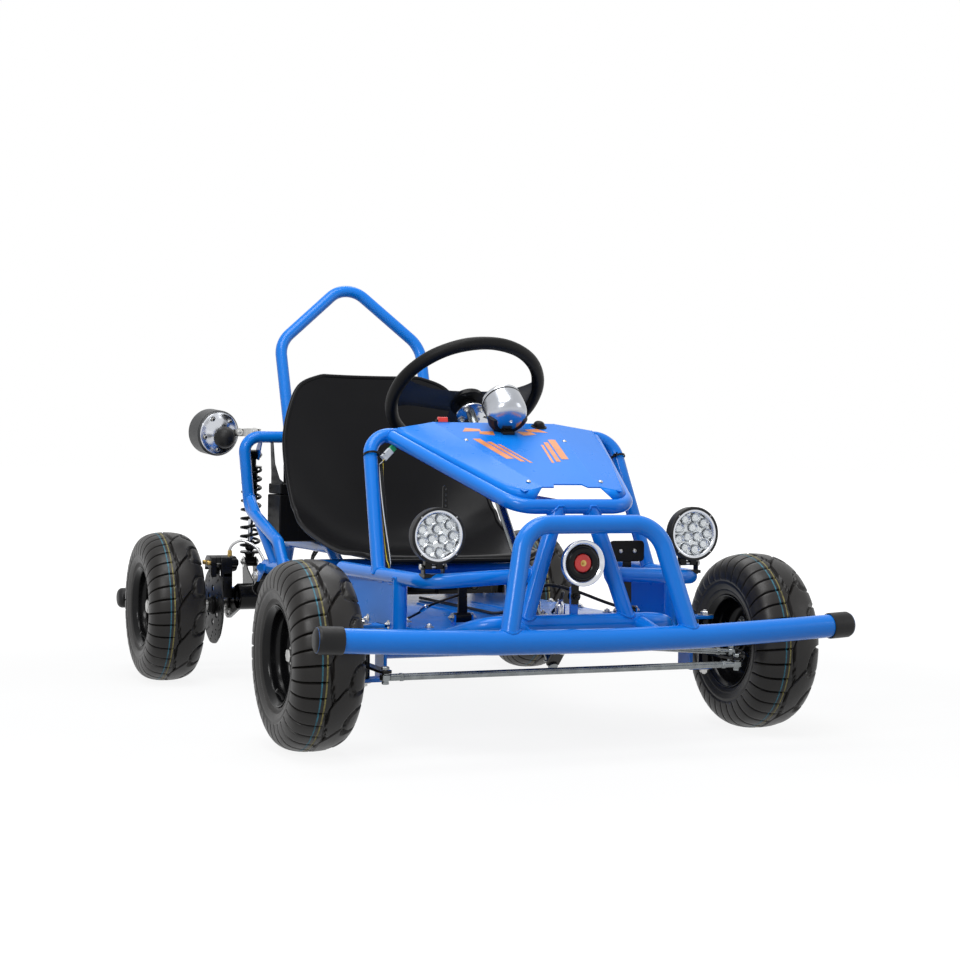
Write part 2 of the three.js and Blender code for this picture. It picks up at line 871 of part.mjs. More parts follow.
// Upper shock bracket: two ears reaching back from the hoop, with the bolt heads outside.
function shockEars(side) {
  const pieces = [-1, 1].map((face) => {
    const x = side * shockX + face * (shockEyeHalfWidth + seam + gussetPlate / 2);
    return uprightPlate([
      [rearHoopY, rearHoopZ - hoopTubeRadius],
      [rearHoopY, rearHoopZ + hoopTubeRadius / 2],
      [shockTopY + shockEyeRadius, shockTopZ + shockEyeRadius],
      [shockTopY + shockEyeRadius, shockTopZ - shockEyeRadius],
      [shockTopY - shockEyeRadius, shockTopZ - shockEyeRadius],
    ], x, gussetPlate);
  });
  const reach = shockEyeHalfWidth + seam + gussetPlate + ballNutHeight;
  const pin = bar(
    at(side * shockX - reach, shockTopY, shockTopZ),
    at(side * shockX + reach, shockTopY, shockTopZ),
    pivotPinRadius,
  );
  return joined(...pieces, pin);
}

function rearHoop() {
  const braces = [right, left].map((side) => bar(
    at(side * rearHoopElbowX, rearHoopY, braceTopZ),
    at(side * railRearX, braceFootY, railRearZ),
    seatTubeRadius,
    tubeSides,
  ));
  const frame = joined(rearHoopTube(), ...braces, shockEars(right), shockEars(left));
  return cutBy(frame, railTube(seam));
}

function rollBar() {
  const foot = at(rollBarFootX, rearHoopY, rearHoopZ);
  const shoulder = at(rollBarShoulderX, rollBarShoulderY, rollBarShoulderZ);
  const mirror = (corner) => at(-corner.x, corner.y, corner.z);
  const peak = at(0, rollBarPeakY, rollBarPeakZ);
  const corners = [foot, shoulder, peak, mirror(shoulder), mirror(foot)];
  const radii = [rollBarShoulderRadius, rollBarPeakRadius, rollBarShoulderRadius];
  return cutBy(bentTube(corners, radii, rollBarRadius), rearHoopTube(seam));
}

// Rear bumper with the two tray tubes that carry the battery over the axle.
function rearBumper() {
  const tube = bar(
    at(-bumperHalfWidth, rearBumperY, rearBumperZ),
    at(bumperHalfWidth, rearBumperY, rearBumperZ),
    bumperRadius,
  );
  const trays = [right, left].map((side) => bentTube([
    at(side * trayX, rearCrossY, railRearZ),
    at(side * trayX, trayRiseY, trayZ),
    at(side * trayX, trayEndY, trayZ),
    at(side * trayX, rearBumperY, rearBumperZ),
  ], trayBendRadius, trayRadius));
  const rearCross = bar(
    at(-railRearX, rearCrossY, railRearZ),
    at(railRearX, rearCrossY, railRearZ),
    rearCrossRadius + seam,
  );
  return cutBy(joined(tube, ...trays), rearCross);
}

function floorPan() {
  const outline = [
    [panRearHalfWidth, panRearY],
    [panRearHalfWidth, panWaistY],
    [panFrontHalfWidth, panWaistY],
    [panFrontHalfWidth, postY],
    [railX, panFrontY],
  ];
  const points = [...outline, ...outline.map(([x, y]) => [-x, y]).reverse()];
  const shape = new THREE.Shape(points.map(([x, y]) => new THREE.Vector2(x, y)));
  const pan = new THREE.ExtrudeGeometry(shape, { depth: panPlate, bevelEnabled: false });
  pan.translate(0, 0, railZ + railRadius + seam);
  const ears = [[throttleX, throttleY, throttleZ], [brakeX, brakeY, brakeZ]].flatMap(([x, y, z]) => {
    const reach = pedalTubeHalfLength + seam;
    const foot = railZ + railRadius + seam;
    const plates = [-1, 1].map((face) => uprightPlate([
      [y - pedalTubeRadius, foot],
      [y + pedalTubeRadius, foot],
      [y + pedalTubeRadius, z + pedalTubeRadius / 2],
      [y - pedalTubeRadius, z + pedalTubeRadius / 2],
    ], x + face * (reach + gussetPlate / 2), gussetPlate));
    const pin = bar(at(x - reach - gussetPlate, y, z), at(x + reach + gussetPlate, y, z), pedalPivotRadius);
    return [...plates, pin];
  });
  const risers = [right, left].map((side) => bar(
    at(side * railX, seatTubeFrontY, railZ),
    at(side * railX, seatTubeFrontY, seatTubeZ),
    seatTubeRadius + seam,
    tubeSides,
  ));
  const posts = [right, left].map((side) => bar(
    at(side * postX, postY, railZ),
    at(side * postX, postY, sideRailZ),
    postRadius + seam,
    tubeSides,
  ));
  const bushClear = bar(columnFoot, onColumnAtHeight(bushZ), bushRadius + runningGap);
  return cutBy(joined(pan, ...ears), railTube(seam), bushClear, ...risers, ...posts);
}

// A sheet through rows of points, as thick as said, closed round its edges.
function closedSheet(rows, offsets) {
  const count = rows.length;
  const across = rows[0].length;
  const backs = rows.flatMap((row, i) => row.map((point, j) => point.clone().add(offsets[i][j])));
  const points = [...rows.flat(), ...backs];
  const under = count * across;
  const index = [];
  const quad = (a, b, c, d) => index.push(a, b, c, a, c, d);
  for (let i = 0; i < count - 1; i += 1) {
    for (let j = 0; j < across - 1; j += 1) {
      const a = i * across + j;
      quad(a, a + 1, a + across + 1, a + across);
      quad(under + a, under + a + across, under + a + across + 1, under + a + 1);
    }
    const first = i * across;
    const last = first + across - 1;
    quad(first + across, under + first + across, under + first, first);
    quad(last, under + last, under + last + across, last + across);
  }
  for (let j = 0; j < across - 1; j += 1) {
    const end = (count - 1) * across + j;
    quad(j + 1, j, under + j, under + j + 1);
    quad(end, end + 1, under + end + 1, under + end);
  }
  const geometry = new THREE.BufferGeometry();
  const positions = new Float32Array(points.flatMap((point) => point.toArray()));
  geometry.setAttribute('position', new THREE.BufferAttribute(positions, 3));
  geometry.setIndex(index);
  geometry.computeVertexNormals();
  return geometry;
}

const hoodNormal = at(0, hoodFrontZ - hoodFoldTopZ, hoodFoldTopY - hoodFrontY).normalize();

function hoodHeight(y) {
  const share = (y - hoodFrontY) / (hoodFoldTopY - hoodFrontY);
  return THREE.MathUtils.lerp(hoodFrontZ, hoodFoldTopZ, share);
}

const buttonBase = () => at(buttonX, hoodFoldTopY - buttonInset, hoodHeight(hoodFoldTopY - buttonInset));

function hood() {
  const lift = loopRadius + 4 * seam + hoodPlate;
  const outerFrontX = dashFrontX - loopRadius;
  const outerFrontY = dashFrontY + loopRadius / 2;
  const outerFrontZ = dashFrontZ + lift;
  const mirrorRow = (half) => [
    ...half.map((point) => at(-point.x, point.y, point.z)),
    ...half.slice().reverse(),
  ];
  const rows = [
    mirrorRow([at(hoodEdgeTopX, hoodEdgeTopY, hoodEdgeTopZ), at(hoodFoldTopX, hoodFoldTopY, hoodFoldTopZ)]),
    mirrorRow([at(outerFrontX, outerFrontY, outerFrontZ), at(hoodFoldFrontX, hoodFrontY, hoodFrontZ)]),
  ];
  const down = at(0, -hoodPlate / 2, -hoodPlate);
  const offsets = rows.map((row) => row.map(() => down));
  const middle = hoodFoldTopY + seam + switchHalfDepth;
  const outerX = switchHalfWidth + seam + switchCheek;
  const floor = block(
    at(switchX - outerX, hoodFoldTopY - switchHalfDepth, hoodFoldTopZ - switchHeight),
    at(switchX + outerX, middle + switchHalfDepth, hoodFoldTopZ - switchGap),
  );
  const cheeks = [-1, 1].map((face) => {
    const x = switchX + face * (outerX - switchCheek / 2);
    return block(
      at(x - switchCheek / 2, middle - switchHalfDepth, hoodFoldTopZ - switchHeight),
      at(x + switchCheek / 2, middle + switchHalfDepth, hoodFoldTopZ + switchHalfDepth),
    );
  });
  const button = buttonBase();
  const buttonHole = bar(
    button.clone().addScaledVector(hoodNormal, -overrun),
    button.clone().addScaledVector(hoodNormal, overrun),
    buttonRadius + runningGap,
  );
  const pan = joined(closedSheet(rows.reverse(), offsets), floor, ...cheeks);
  return cutBy(pan, columnHole(columnRadius + wheelGripRadius), buttonHole);
}

// Seat shell, front to back. Each row gives the place of the seat's middle as shares of the
// seat's length and height, and its half width and side lift as shares of the seat's half width.
const seatRowShares = [
  [0, 0.024, 0.66, 0],
  [0.025, 0.045, 0.8, 0.02],
  [0.09, 0.03, 0.88, 0.06],
  [0.19, 0.004, 0.93, 0.11],
  [0.38, 0, 0.96, 0.19],
  [0.575, 0, 0.99, 0.3],
  [0.69, 0.035, 1, 0.36],
  [0.77, 0.124, 1, 0.36],
  [0.82, 0.264, 1, 0.28],
  [0.863, 0.455, 1, 0.19],
  [0.9, 0.633, 0.98, 0.14],
  [0.943, 0.811, 0.88, 0.1],
  [0.981, 0.938, 0.74, 0.06],
  [1, 1, 0.5, 0.02],
];

function seatShell() {
  const centre = new THREE.CatmullRomCurve3(seatRowShares.map(([along, up]) => at(
    0,
    seatFrontY + along * seatLength,
    seatLowZ + up * seatHeight,
  )));
  const shareAt = (share, column) => {
    const place = share * (seatRowShares.length - 1);
    const index = Math.min(seatRowShares.length - 2, Math.floor(place));
    const [before, after] = seatRowShares.slice(index, index + 2);
    return THREE.MathUtils.lerp(before[column], after[column], place - index);
  };
  const rows = [];
  const offsets = [];
  for (let i = 0; i <= seatLengthSteps; i += 1) {
    const share = i / seatLengthSteps;
    const middle = centre.getPoint(share);
    const tangent = centre.getTangent(share);
    const normal = at(0, -tangent.z, tangent.y);
    const halfWidth = seatHalfWidth * shareAt(share, 2);
    const lift = seatHalfWidth * shareAt(share, 3);
    rows.push([]);
    offsets.push([]);
    for (let j = 0; j <= seatWidthSteps; j += 1) {
      const across = 1 - 2 * j / seatWidthSteps;
      const curve = Math.abs(across) ** seatEdgePower;
      const point = middle.clone().addScaledVector(normal, lift * curve);
      point.x = halfWidth * across;
      rows[i].push(point);
      const steepness = Math.sign(across) * Math.abs(across) ** (seatEdgePower - 1);
      const slope = seatEdgePower * lift * steepness / halfWidth;
      const outward = normal.clone().multiplyScalar(-1).add(at(slope, 0, 0)).normalize();
      offsets[i].push(outward.multiplyScalar(seatWall));
    }
  }
  return closedSheet(rows.reverse(), offsets.reverse());
}

// Wheels
function tyre(x) {
  const crown = tyreRadius / Math.cos(Math.PI / wheelSides);
  const half = [
    [treadHalfWidth, crown],
    [shoulderHalfWidth, shoulderRadius],
    [tyreHalfWidth, bulgeRadius],
    [beadHalfWidth, beadRadius],
    [beadHalfWidth - tyreWall, beadRadius],
    [tyreHalfWidth - tyreWall, bulgeRadius],
    [treadHalfWidth, crown - tyreWall],
  ];
  const mirrored = half.map(([along, radius]) => [-along, radius]).reverse();
  const ring = [...half, ...mirrored];
  ring.push(ring[0]);
  const geometry = turned(ring, at(x, 0, 0), at(1, 0, 0), wheelSides);
  geometry.rotateX(Math.PI / wheelSides);
  return geometry;
}

function rim(x, shaftRadius) {
  const bore = (shaftRadius + runningGap) / Math.cos(Math.PI / rimSides);
  const half = [
    [rimDiscWall / 2, hubRadius],
    [rimDiscWall / 2, rimSeatRadius - rimWall],
    [rimFlangeHalfWidth - rimWall, rimSeatRadius - rimWall],
    [rimFlangeHalfWidth, rimFlangeRadius],
    [rimFlangeHalfWidth - rimWall, rimFlangeRadius],
    [beadHalfWidth + seam, rimSeatRadius],
  ];
  const mirrored = half.map(([along, radius]) => [-along, radius]).reverse();
  const ring = [
    [hubHalfWidth, bore],
    [hubHalfWidth, hubRadius],
    ...half,
    ...mirrored,
    [-hubHalfWidth, hubRadius],
    [-hubHalfWidth, bore],
  ];
  ring.push(ring[0]);
  return turned(ring, at(x, 0, 0), at(1, 0, 0), rimSides);
}

// Steering knuckle: kingpin boss and pin, stub axle with its nut and the steering arm.
function knuckle(side) {
  const x = side * kingpinX;
  const bossHalf = yokeHalfHeight - yokePlate - runningGap;
  const boss = bar(at(x, 0, axleZ - bossHalf), at(x, 0, axleZ + bossHalf), knuckleBossRadius);
  const pinHalf = yokeHalfHeight + runningGap + yokeHeadHeight;
  const pin = bar(at(x, 0, axleZ - pinHalf), at(x, 0, axleZ + pinHalf), kingpinRadius);
  const heads = [-1, 1].map((end) => bar(
    at(x, 0, axleZ + end * (yokeHalfHeight + runningGap)),
    at(x, 0, axleZ + end * pinHalf),
    yokeHeadRadius,
    thinSides,
  ));
  const hubOuter = frontHalfTrack + hubHalfWidth + runningGap;
  const stubTip = at(side * (hubOuter + stubNutLength), 0, axleZ);
  const stub = bar(at(x, 0, axleZ), stubTip, stubRadius);
  const nut = bar(at(side * hubOuter, 0, axleZ), stubTip, stubNutRadius, thinSides);
  const hubInner = frontHalfTrack - hubHalfWidth - runningGap;
  const flange = bar(
    at(side * (hubInner - stubFlangeLength), 0, axleZ),
    at(side * hubInner, 0, axleZ),
    stubFlangeRadius,
  );
  const arm = block(
    at(x - armWidth / 2, -tieArmLength - armWidth / 2, armZ - armPlate / 2),
    at(x + armWidth / 2, 0, armZ + armPlate / 2),
  );
  const reaches = side === left ? [tieArmLength, dragArmLength] : [tieArmLength];
  const armHoles = reaches.map((reach) => clearHole(
    at(x, -reach, armZ - overrun),
    at(x, -reach, armZ + overrun),
    ballPinRadius,
  ));
  return cutBy(joined(boss, pin, ...heads, stub, nut, flange, arm), ...armHoles);
}

// A rod end: an eye with its pin and nut, its neck pointing along the rod.
function rodEnd(centre, pinDirection, toRod, nutSide) {
  const halfEye = rodEndLength / 2;
  const eye = bar(
    centre.clone().addScaledVector(pinDirection, -halfEye),
    centre.clone().addScaledVector(pinDirection, halfEye),
    rodEndRadius,
  );
  const neckEnd = centre.clone().addScaledVector(toRod, rodNeckLength);
  const neck = bar(centre.clone(), neckEnd, rodNeckRadius, thinSides);
  const pinReach = halfEye + seam + armPlate + seam + ballNutHeight;
  const pinTip = centre.clone().addScaledVector(pinDirection, nutSide * pinReach);
  const pin = bar(centre, pinTip, ballPinRadius);
  const nutStart = pinTip.clone().addScaledVector(pinDirection, -nutSide * ballNutHeight);
  const nut = bar(nutStart, pinTip, ballNutRadius, thinSides);
  return [eye, neck, pin, nut];
}

function tieRod() {
  const z = armZ - armPlate / 2 - seam - rodEndLength / 2;
  const ends = [right, left].map((side) => at(side * kingpinX, -tieArmLength, z));
  const rod = bar(ends[0], ends[1], tieRodRadius);
  const up = at(0, 0, 1);
  return joined(
    rod,
    ...rodEnd(ends[0], up, at(1, 0, 0), 1),
    ...rodEnd(ends[1], up, at(-1, 0, 0), 1),
  );
}

function dragLink() {
  const outer = at(left * kingpinX, -dragArmLength, armZ + armPlate / 2 + seam + rodEndLength / 2);
  const ball = columnFoot.clone().addScaledVector(pitmanOut, pitmanLength);
  const lift = pitmanPlate / 2 + openPivotGap + rodEndLength / 2;
  const inner = ball.addScaledVector(columnUp, lift);
  const toInner = inner.clone().sub(outer).normalize();
  const halfEye = rodEndLength / 2;
  const innerEye = bar(
    inner.clone().addScaledVector(columnUp, -halfEye),
    inner.clone().addScaledVector(columnUp, halfEye),
    rodEndRadius,
  );
  const innerHead = bar(
    inner.clone().addScaledVector(columnUp, halfEye),
    inner.clone().addScaledVector(columnUp, halfEye + ballNutHeight),
    ballNutRadius,
    thinSides,
  );
  const neckEnd = inner.clone().addScaledVector(toInner, -rodNeckLength);
  const innerNeck = bar(inner, neckEnd, rodNeckRadius, thinSides);
  const rod = bar(outer, inner, tieRodRadius);
  return joined(rod, innerEye, innerHead, innerNeck, ...rodEnd(outer, at(0, 0, 1), toInner, -1));
}

// Puts a piece made round the column's own axis onto the column, wheel centre at its origin.
function onColumn(geometry) {
  geometry.rotateX(-columnAngle);
  return geometry.translate(0, wheelCentreY, wheelCentreZ);
}

function steeringWheel() {
  const grip = onColumn(new THREE.TorusGeometry(wheelRimRadius, wheelGripRadius, thinSides, wheelSides));
  const spokes = spokeTurnShares.map((share) => {
    const spoke = new THREE.BoxGeometry(wheelRimRadius - hubBossRadius, spokeWidth, spokePlate);
    spoke.translate((wheelRimRadius + hubBossRadius) / 2, 0, 0);
    spoke.rotateZ(share * Math.PI);
    return onColumn(spoke);
  });
  const plate = new THREE.CylinderGeometry(hubPlateRadius, hubPlateRadius, hubPlate, wheelSides);
  plate.rotateX(Math.PI / 2);
  const bossTop = -hubPlate / 2 - runningGap;
  const bore = bar(
    wheelCentre.clone().addScaledVector(columnUp, bossTop - hubBossLength),
    wheelCentre.clone().addScaledVector(columnUp, hubPlate),
    hubBossRadius + seam,
  );
  return cutBy(joined(grip, ...spokes, onColumn(plate)), bore);
}

function steeringColumn() {
  const top = wheelCentre.clone().addScaledVector(columnUp, hubPlate);
  const shaft = bar(columnFoot.clone().addScaledVector(columnUp, -pitmanPlate), top, columnRadius);
  const boss = bar(
    wheelCentre.clone().addScaledVector(columnUp, -hubBossLength),
    top,
    hubBossRadius,
  );
  const tip = columnFoot.clone().addScaledVector(pitmanOut, pitmanLength);
  const plate = new THREE.BoxGeometry(2 * pitmanHalfWidth, pitmanLength, pitmanPlate);
  plate.translate(0, -pitmanLength / 2, 0);
  plate.rotateX(-columnAngle);
  plate.translate(...columnFoot.toArray());
  const tipDisc = bar(
    tip.clone().addScaledVector(columnUp, -pitmanPlate / 2),
    tip.clone().addScaledVector(columnUp, pitmanPlate / 2),
    pitmanHalfWidth,
  );
  return joined(shaft, boss, plate, tipDisc);
}

// Swing arm: pivot eyes, two arms, the axle carrier, bearing plates, clevises, motor plate.
function swingArm() {
  const eyeHalf = railRadius - bracketInset - runningGap;
  const across = (x, halfLength, y, z, radius, count = rodSides) => bar(
    at(x - halfLength, y, z),
    at(x + halfLength, y, z),
    radius,
    count,
  );
  const slim = across(0, carrierSlimHalfWidth + overrun, carrierY, carrierZ, carrierSlimRadius);
  const perSide = [right, left].flatMap((side) => {
    const eye = across(side * railRearX, eyeHalf, swingPivotY, swingPivotZ, swingEyeRadius);
    const arm = bar(
      at(side * railRearX, swingPivotY, swingPivotZ),
      at(side * railRearX, carrierY, carrierZ),
      armTubeRadius,
      tubeSides,
    );
    const fatHalf = (carrierHalfWidth - carrierSlimHalfWidth) / 2;
    const fat = across(side * (carrierHalfWidth - fatHalf), fatHalf, carrierY, carrierZ, carrierRadius);
    const plate = uprightPlate([
      [carrierY, carrierZ - carrierRadius],
      [wheelBase, axleZ - bearingRadius],
      [wheelBase + bearingRadius, axleZ - bearingRadius / 2],
      [wheelBase + bearingRadius, axleZ + bearingRadius / 2],
      [wheelBase, axleZ + bearingRadius],
      [carrierY, carrierZ + carrierRadius],
    ], side * (carrierHalfWidth - bearingPlate / 2), bearingPlate);
    const clevis = [-1, 1].map((face) => uprightPlate([
      [carrierY, carrierZ],
      [wheelBase, axleZ + bearingRadius],
      [shockFootY + shockEyeRadius, shockFootZ - shockEyeRadius],
      [shockFootY + shockEyeRadius, shockFootZ + shockEyeRadius],
      [shockFootY - shockEyeRadius, shockFootZ + shockEyeRadius],
      [carrierY, carrierZ + carrierRadius],
    ], side * shockX + face * (shockEyeHalfWidth + 2 * seam + gussetPlate / 2), gussetPlate));
    return [eye, arm, fat, plate, ...clevis];
  });
  const motorMount = uprightPlate([
    [carrierY, carrierZ - carrierSlimRadius],
    [motorY, motorZ - motorRadius],
    [motorY + motorRadius, motorZ],
    [motorY, motorZ + motorRadius],
    [carrierY, carrierZ + carrierSlimRadius],
  ], motorPlateX, motorPlate);
  const axleHole = clearHole(
    at(-axleHalfLength, wheelBase, axleZ),
    at(axleHalfLength, wheelBase, axleZ),
    axleRadius,
    rimSides,
  );
  const axleWell = bar(
    at(motorPlateX - overrun, wheelBase, axleZ),
    at(motorPlateX + overrun, wheelBase, axleZ),
    hubRadius + overrun,
  );
  const pinHoles = [right, left].map((side) => clearHole(
    at(side * railRearX - railRadius, swingPivotY, swingPivotZ),
    at(side * railRearX + railRadius, swingPivotY, swingPivotZ),
    pivotPinRadius,
  ));
  const shaftHole = bar(
    at(motorPlateX - overrun, motorY, motorZ),
    at(motorPlateX + overrun, motorY, motorZ),
    hubRadius / 2,
  );
  return cutBy(joined(slim, ...perSide, motorMount), axleHole, axleWell, shaftHole, ...pinHoles);
}

function rearAxle() {
  const shaft = bar(at(-axleHalfLength, wheelBase, axleZ), at(axleHalfLength, wheelBase, axleZ), axleRadius);
  const nuts = [right, left].map((side) => {
    const inner = rearHalfTrack + hubHalfWidth + seam;
    return bar(
      at(side * inner, wheelBase, axleZ),
      at(side * (inner + axleNutLength), wheelBase, axleZ),
      axleNutRadius,
      thinSides,
    );
  });
  const discHub = bar(
    at(-(discX + discPlate / 2 + seam), wheelBase, axleZ),
    at(-(discX + discPlate / 2 + seam + axleNutLength), wheelBase, axleZ),
    hubRadius,
  );
  const sprocketHub = bar(
    at(chainX + sprocketPlate / 2 + seam, wheelBase, axleZ),
    at(chainX + sprocketPlate / 2 + seam + axleNutLength, wheelBase, axleZ),
    hubRadius,
  );
  return joined(shaft, ...nuts, discHub, sprocketHub);
}

const pitchRadius = (teeth) => chainPitch / (2 * Math.sin(Math.PI / teeth));

// A chain wheel: its teeth stop short of the chain that wraps it.
function sprocket(teeth, y, z, bore) {
  const tipRadius = pitchRadius(teeth) - chainThickness / 2 - runningGap;
  const rootRadius = tipRadius - chainThickness;
  const points = [];
  for (let tooth = 0; tooth < teeth; tooth += 1) {
    for (const [share, radius] of [[0, rootRadius], [1 / 2, tipRadius]]) {
      const angle = 2 * Math.PI * (tooth + share) / teeth;
      points.push([y + radius * Math.cos(angle), z + radius * Math.sin(angle)]);
    }
  }
  return cutBy(
    uprightPlate(points, chainX, sprocketPlate),
    clearHole(at(chainX - overrun, y, z), at(chainX + overrun, y, z), bore),
  );
}

// The chain: a band round both wheels, drawn as the outer outline less the inner one.
function chain() {
  const bigRadius = pitchRadius(axleTeeth);
  const smallRadius = pitchRadius(pinionTeeth);
  const span = Math.hypot(motorY - wheelBase, motorZ - axleZ);
  const heading = Math.atan2(motorZ - axleZ, motorY - wheelBase);
  const spread = Math.acos((bigRadius - smallRadius) / span);
  const outline = (grow) => {
    const points = [];
    const arc = (y, z, radius, from, to, steps) => {
      for (let step = 0; step <= steps; step += 1) {
        const angle = from + (to - from) * step / steps;
        points.push([y + radius * Math.cos(angle), z + radius * Math.sin(angle)]);
      }
    };
    arc(motorY, motorZ, smallRadius + grow, heading - spread, heading + spread, rodSides);
    arc(wheelBase, axleZ, bigRadius + grow, heading + spread, heading + 2 * Math.PI - spread, rimSides);
    return points;
  };
  const outer = uprightPlate(outline(chainThickness / 2 + chainStandOff), chainX, chainWidth);
  const inner = uprightPlate(outline(-chainThickness / 2 + chainStandOff), chainX, chainWidth + overrun);
  return cutBy(outer, inner);
}

function motor() {
  const face = motorPlateX - motorPlate / 2 - seam;
  const profile = [
    [0, 0],
    [0, motorRadius - 2 * seam],
    [-2 * motorHalfLength + overrun, motorRadius - 2 * seam],
    [-2 * motorHalfLength, motorRadius - overrun],
    [-2 * motorHalfLength, 0],
  ];
  const can = turned(profile, at(face, motorY, motorZ), at(1, 0, 0), rimSides);
  const recess = clearHole(
    at(face - overrun, motorY, motorZ),
    at(face + overrun, motorY, motorZ),
    motorShaftRadius,
  );
  return cutBy(can, recess);
}

function motorPinion() {
  const face = motorPlateX - motorPlate / 2 - seam;
  const shaft = bar(
    at(face - overrun + runningGap, motorY, motorZ),
    at(chainX + sprocketPlate, motorY, motorZ),
    motorShaftRadius,
  );
  return joined(shaft, sprocket(pinionTeeth, motorY, motorZ, motorShaftRadius - overrun));
}

function brakeDisc() {
  const plate = bar(
    at(-discX - discPlate / 2, wheelBase, axleZ),
    at(-discX + discPlate / 2, wheelBase, axleZ),
    discRadius,
    wheelSides,
  );
  const bore = clearHole(
    at(-discX - overrun, wheelBase, axleZ),
    at(-discX + overrun, wheelBase, axleZ),
    axleRadius,
  );
  return cutBy(plate, bore);
}

// Caliper over the disc's front edge, with a foot that bolts to the bearing plate.
function caliper() {
  const body = block(
    at(-discX - caliperHalfWidth, caliperFrontY, caliperLowZ),
    at(-caliperInnerX, caliperRearY, caliperHighZ),
  );
  const foot = block(
    at(-discX + caliperHalfWidth / 2, caliperFrontY, axleZ + bearingRadius / 2),
    at(-carrierHalfWidth - seam, caliperFrontY + bearingRadius, caliperHighZ - overrun),
  );
  const slot = bar(
    at(-discX - discPlate, wheelBase, axleZ),
    at(-discX + discPlate, wheelBase, axleZ),
    discRadius + discPlate,
    wheelSides,
  );
  return cutBy(joined(body, foot), slot);
}

// Shock absorbers stand on a slight lean; places are measured down from the upper eye.
function shockLine(side) {
  const top = at(side * shockX, shockTopY, shockTopZ);
  const foot = at(side * shockX, shockFootY, shockFootZ);
  const down = foot.clone().sub(top).normalize();
  const along = (distance) => top.clone().addScaledVector(down, distance);
  return { top, foot, down, along, length: foot.distanceTo(top) };
}

const shockEye = (centre) => bar(
  at(centre.x - shockEyeHalfWidth, centre.y, centre.z),
  at(centre.x + shockEyeHalfWidth, centre.y, centre.z),
  shockEyeRadius,
);

function shockBody(side) {
  const { top, along } = shockLine(side);
  const body = joined(
    shockEye(top),
    bar(top, along(upperPerchOffset), shockNeckRadius),
    bar(along(upperPerchOffset - perchPlate), along(bodyReach), shockBodyRadius),
    bar(along(upperPerchOffset - perchPlate), along(upperPerchOffset), perchRadius),
  );
  const pinHole = clearHole(
    at(top.x - shockEyeHalfWidth - overrun, top.y, top.z),
    at(top.x + shockEyeHalfWidth + overrun, top.y, top.z),
    pivotPinRadius,
  );
  const rodBore = bar(along(upperPerchOffset), along(bodyReach + overrun), shockRodRadius + runningGap);
  return cutBy(body, pinHole, rodBore);
}

function shockRod(side) {
  const { foot, along, length } = shockLine(side);
  const perchTop = length - lowerPerchOffset;
  const perch = bar(along(perchTop), along(perchTop + perchPlate), perchRadius);
  return joined(shockEye(foot), bar(along(bodyReach - upperPerchOffset), foot, shockRodRadius), perch);
}

// A visible spring: one unbroken wire wound as a helix between the two perches, its two ends
// running straight down onto them.
function spring(side) {
  const { along, down, length } = shockLine(side);
  const endRun = 2 * springWireRadius;
  const first = upperPerchOffset + seam;
  const last = length - lowerPerchOffset - seam;
  const start = along(0);
  const outward = at(1, 0, 0);
  const forward = down.clone().cross(outward);
  const ring = (angle, distance) => start.clone()
    .addScaledVector(down, distance)
    .addScaledVector(outward, springCoilRadius * Math.cos(angle))
    .addScaledVector(forward, springCoilRadius * Math.sin(angle));
  const stations = [ring(0, first)];
  const total = springCurls * springCurlSteps;
  for (let step = 0; step <= total; step += 1) {
    const share = step / total;
    const distance = THREE.MathUtils.lerp(first + endRun, last - endRun, share);
    stations.push(ring(2 * Math.PI * springCurls * share, distance));
  }
  stations.push(ring(2 * Math.PI * springCurls, last));
  reportSelfGap(stations);
  return wireTube(stations, down);
}

// A tube of few sides through the stations, square to the perches at its two ends.
function wireTube(stations, endDirection) {
  const count = stations.length;
  const points = [];
  stations.forEach((station, i) => {
    const before = stations[Math.max(0, i - 1)];
    const after = stations[Math.min(count - 1, i + 1)];
    const isEnd = i === 0 || i === count - 1;
    const tangent = isEnd ? endDirection.clone() : after.clone().sub(before).normalize();
    const outward = station.clone().sub(springAxis(stations, endDirection, station)).normalize();
    const across = outward.clone().addScaledVector(tangent, -outward.dot(tangent)).normalize();
    const third = tangent.clone().cross(across);
    for (let k = 0; k < springWireSides; k += 1) {
      const angle = 2 * Math.PI * k / springWireSides;
      points.push(station.clone()
        .addScaledVector(across, springWireRadius * Math.cos(angle))
        .addScaledVector(third, springWireRadius * Math.sin(angle)));
    }
  });
  const index = [];
  for (let i = 0; i < count - 1; i += 1) {
    for (let k = 0; k < springWireSides; k += 1) {
      const a = i * springWireSides + k;
      const b = i * springWireSides + (k + 1) % springWireSides;
      index.push(a, b, b + springWireSides, a, b + springWireSides, a + springWireSides);
    }
  }
  const tail = (count - 1) * springWireSides;
  for (let k = 1; k < springWireSides - 1; k += 1) {
    index.push(0, k + 1, k);
    index.push(tail, tail + k, tail + k + 1);
  }
  const geometry = new THREE.BufferGeometry();
  const positions = new Float32Array(points.flatMap((point) => point.toArray()));
  geometry.setAttribute('position', new THREE.BufferAttribute(positions, 3));
  geometry.setIndex(index);
  geometry.computeVertexNormals();
  return geometry;
}

// The point of the coil's own axis level with a station of its wire.
function springAxis(stations, direction, station) {
  const axisStart = stations[0].clone().addScaledVector(at(1, 0, 0), -springCoilRadius);
  return axisStart.addScaledVector(direction, station.clone().sub(axisStart).dot(direction));
}

function reportSelfGap(stations) {
  let least = Infinity;
  for (let i = 0; i < stations.length; i += 1) {
    for (let j = i + springCurlSteps - 2; j < stations.length; j += 1) {
      least = Math.min(least, stations[i].distanceTo(stations[j]));
    }
  }
  console.log(`spring: least gap of the wire to itself ${(least - 2 * springWireRadius).toFixed(2)} mm`);
}

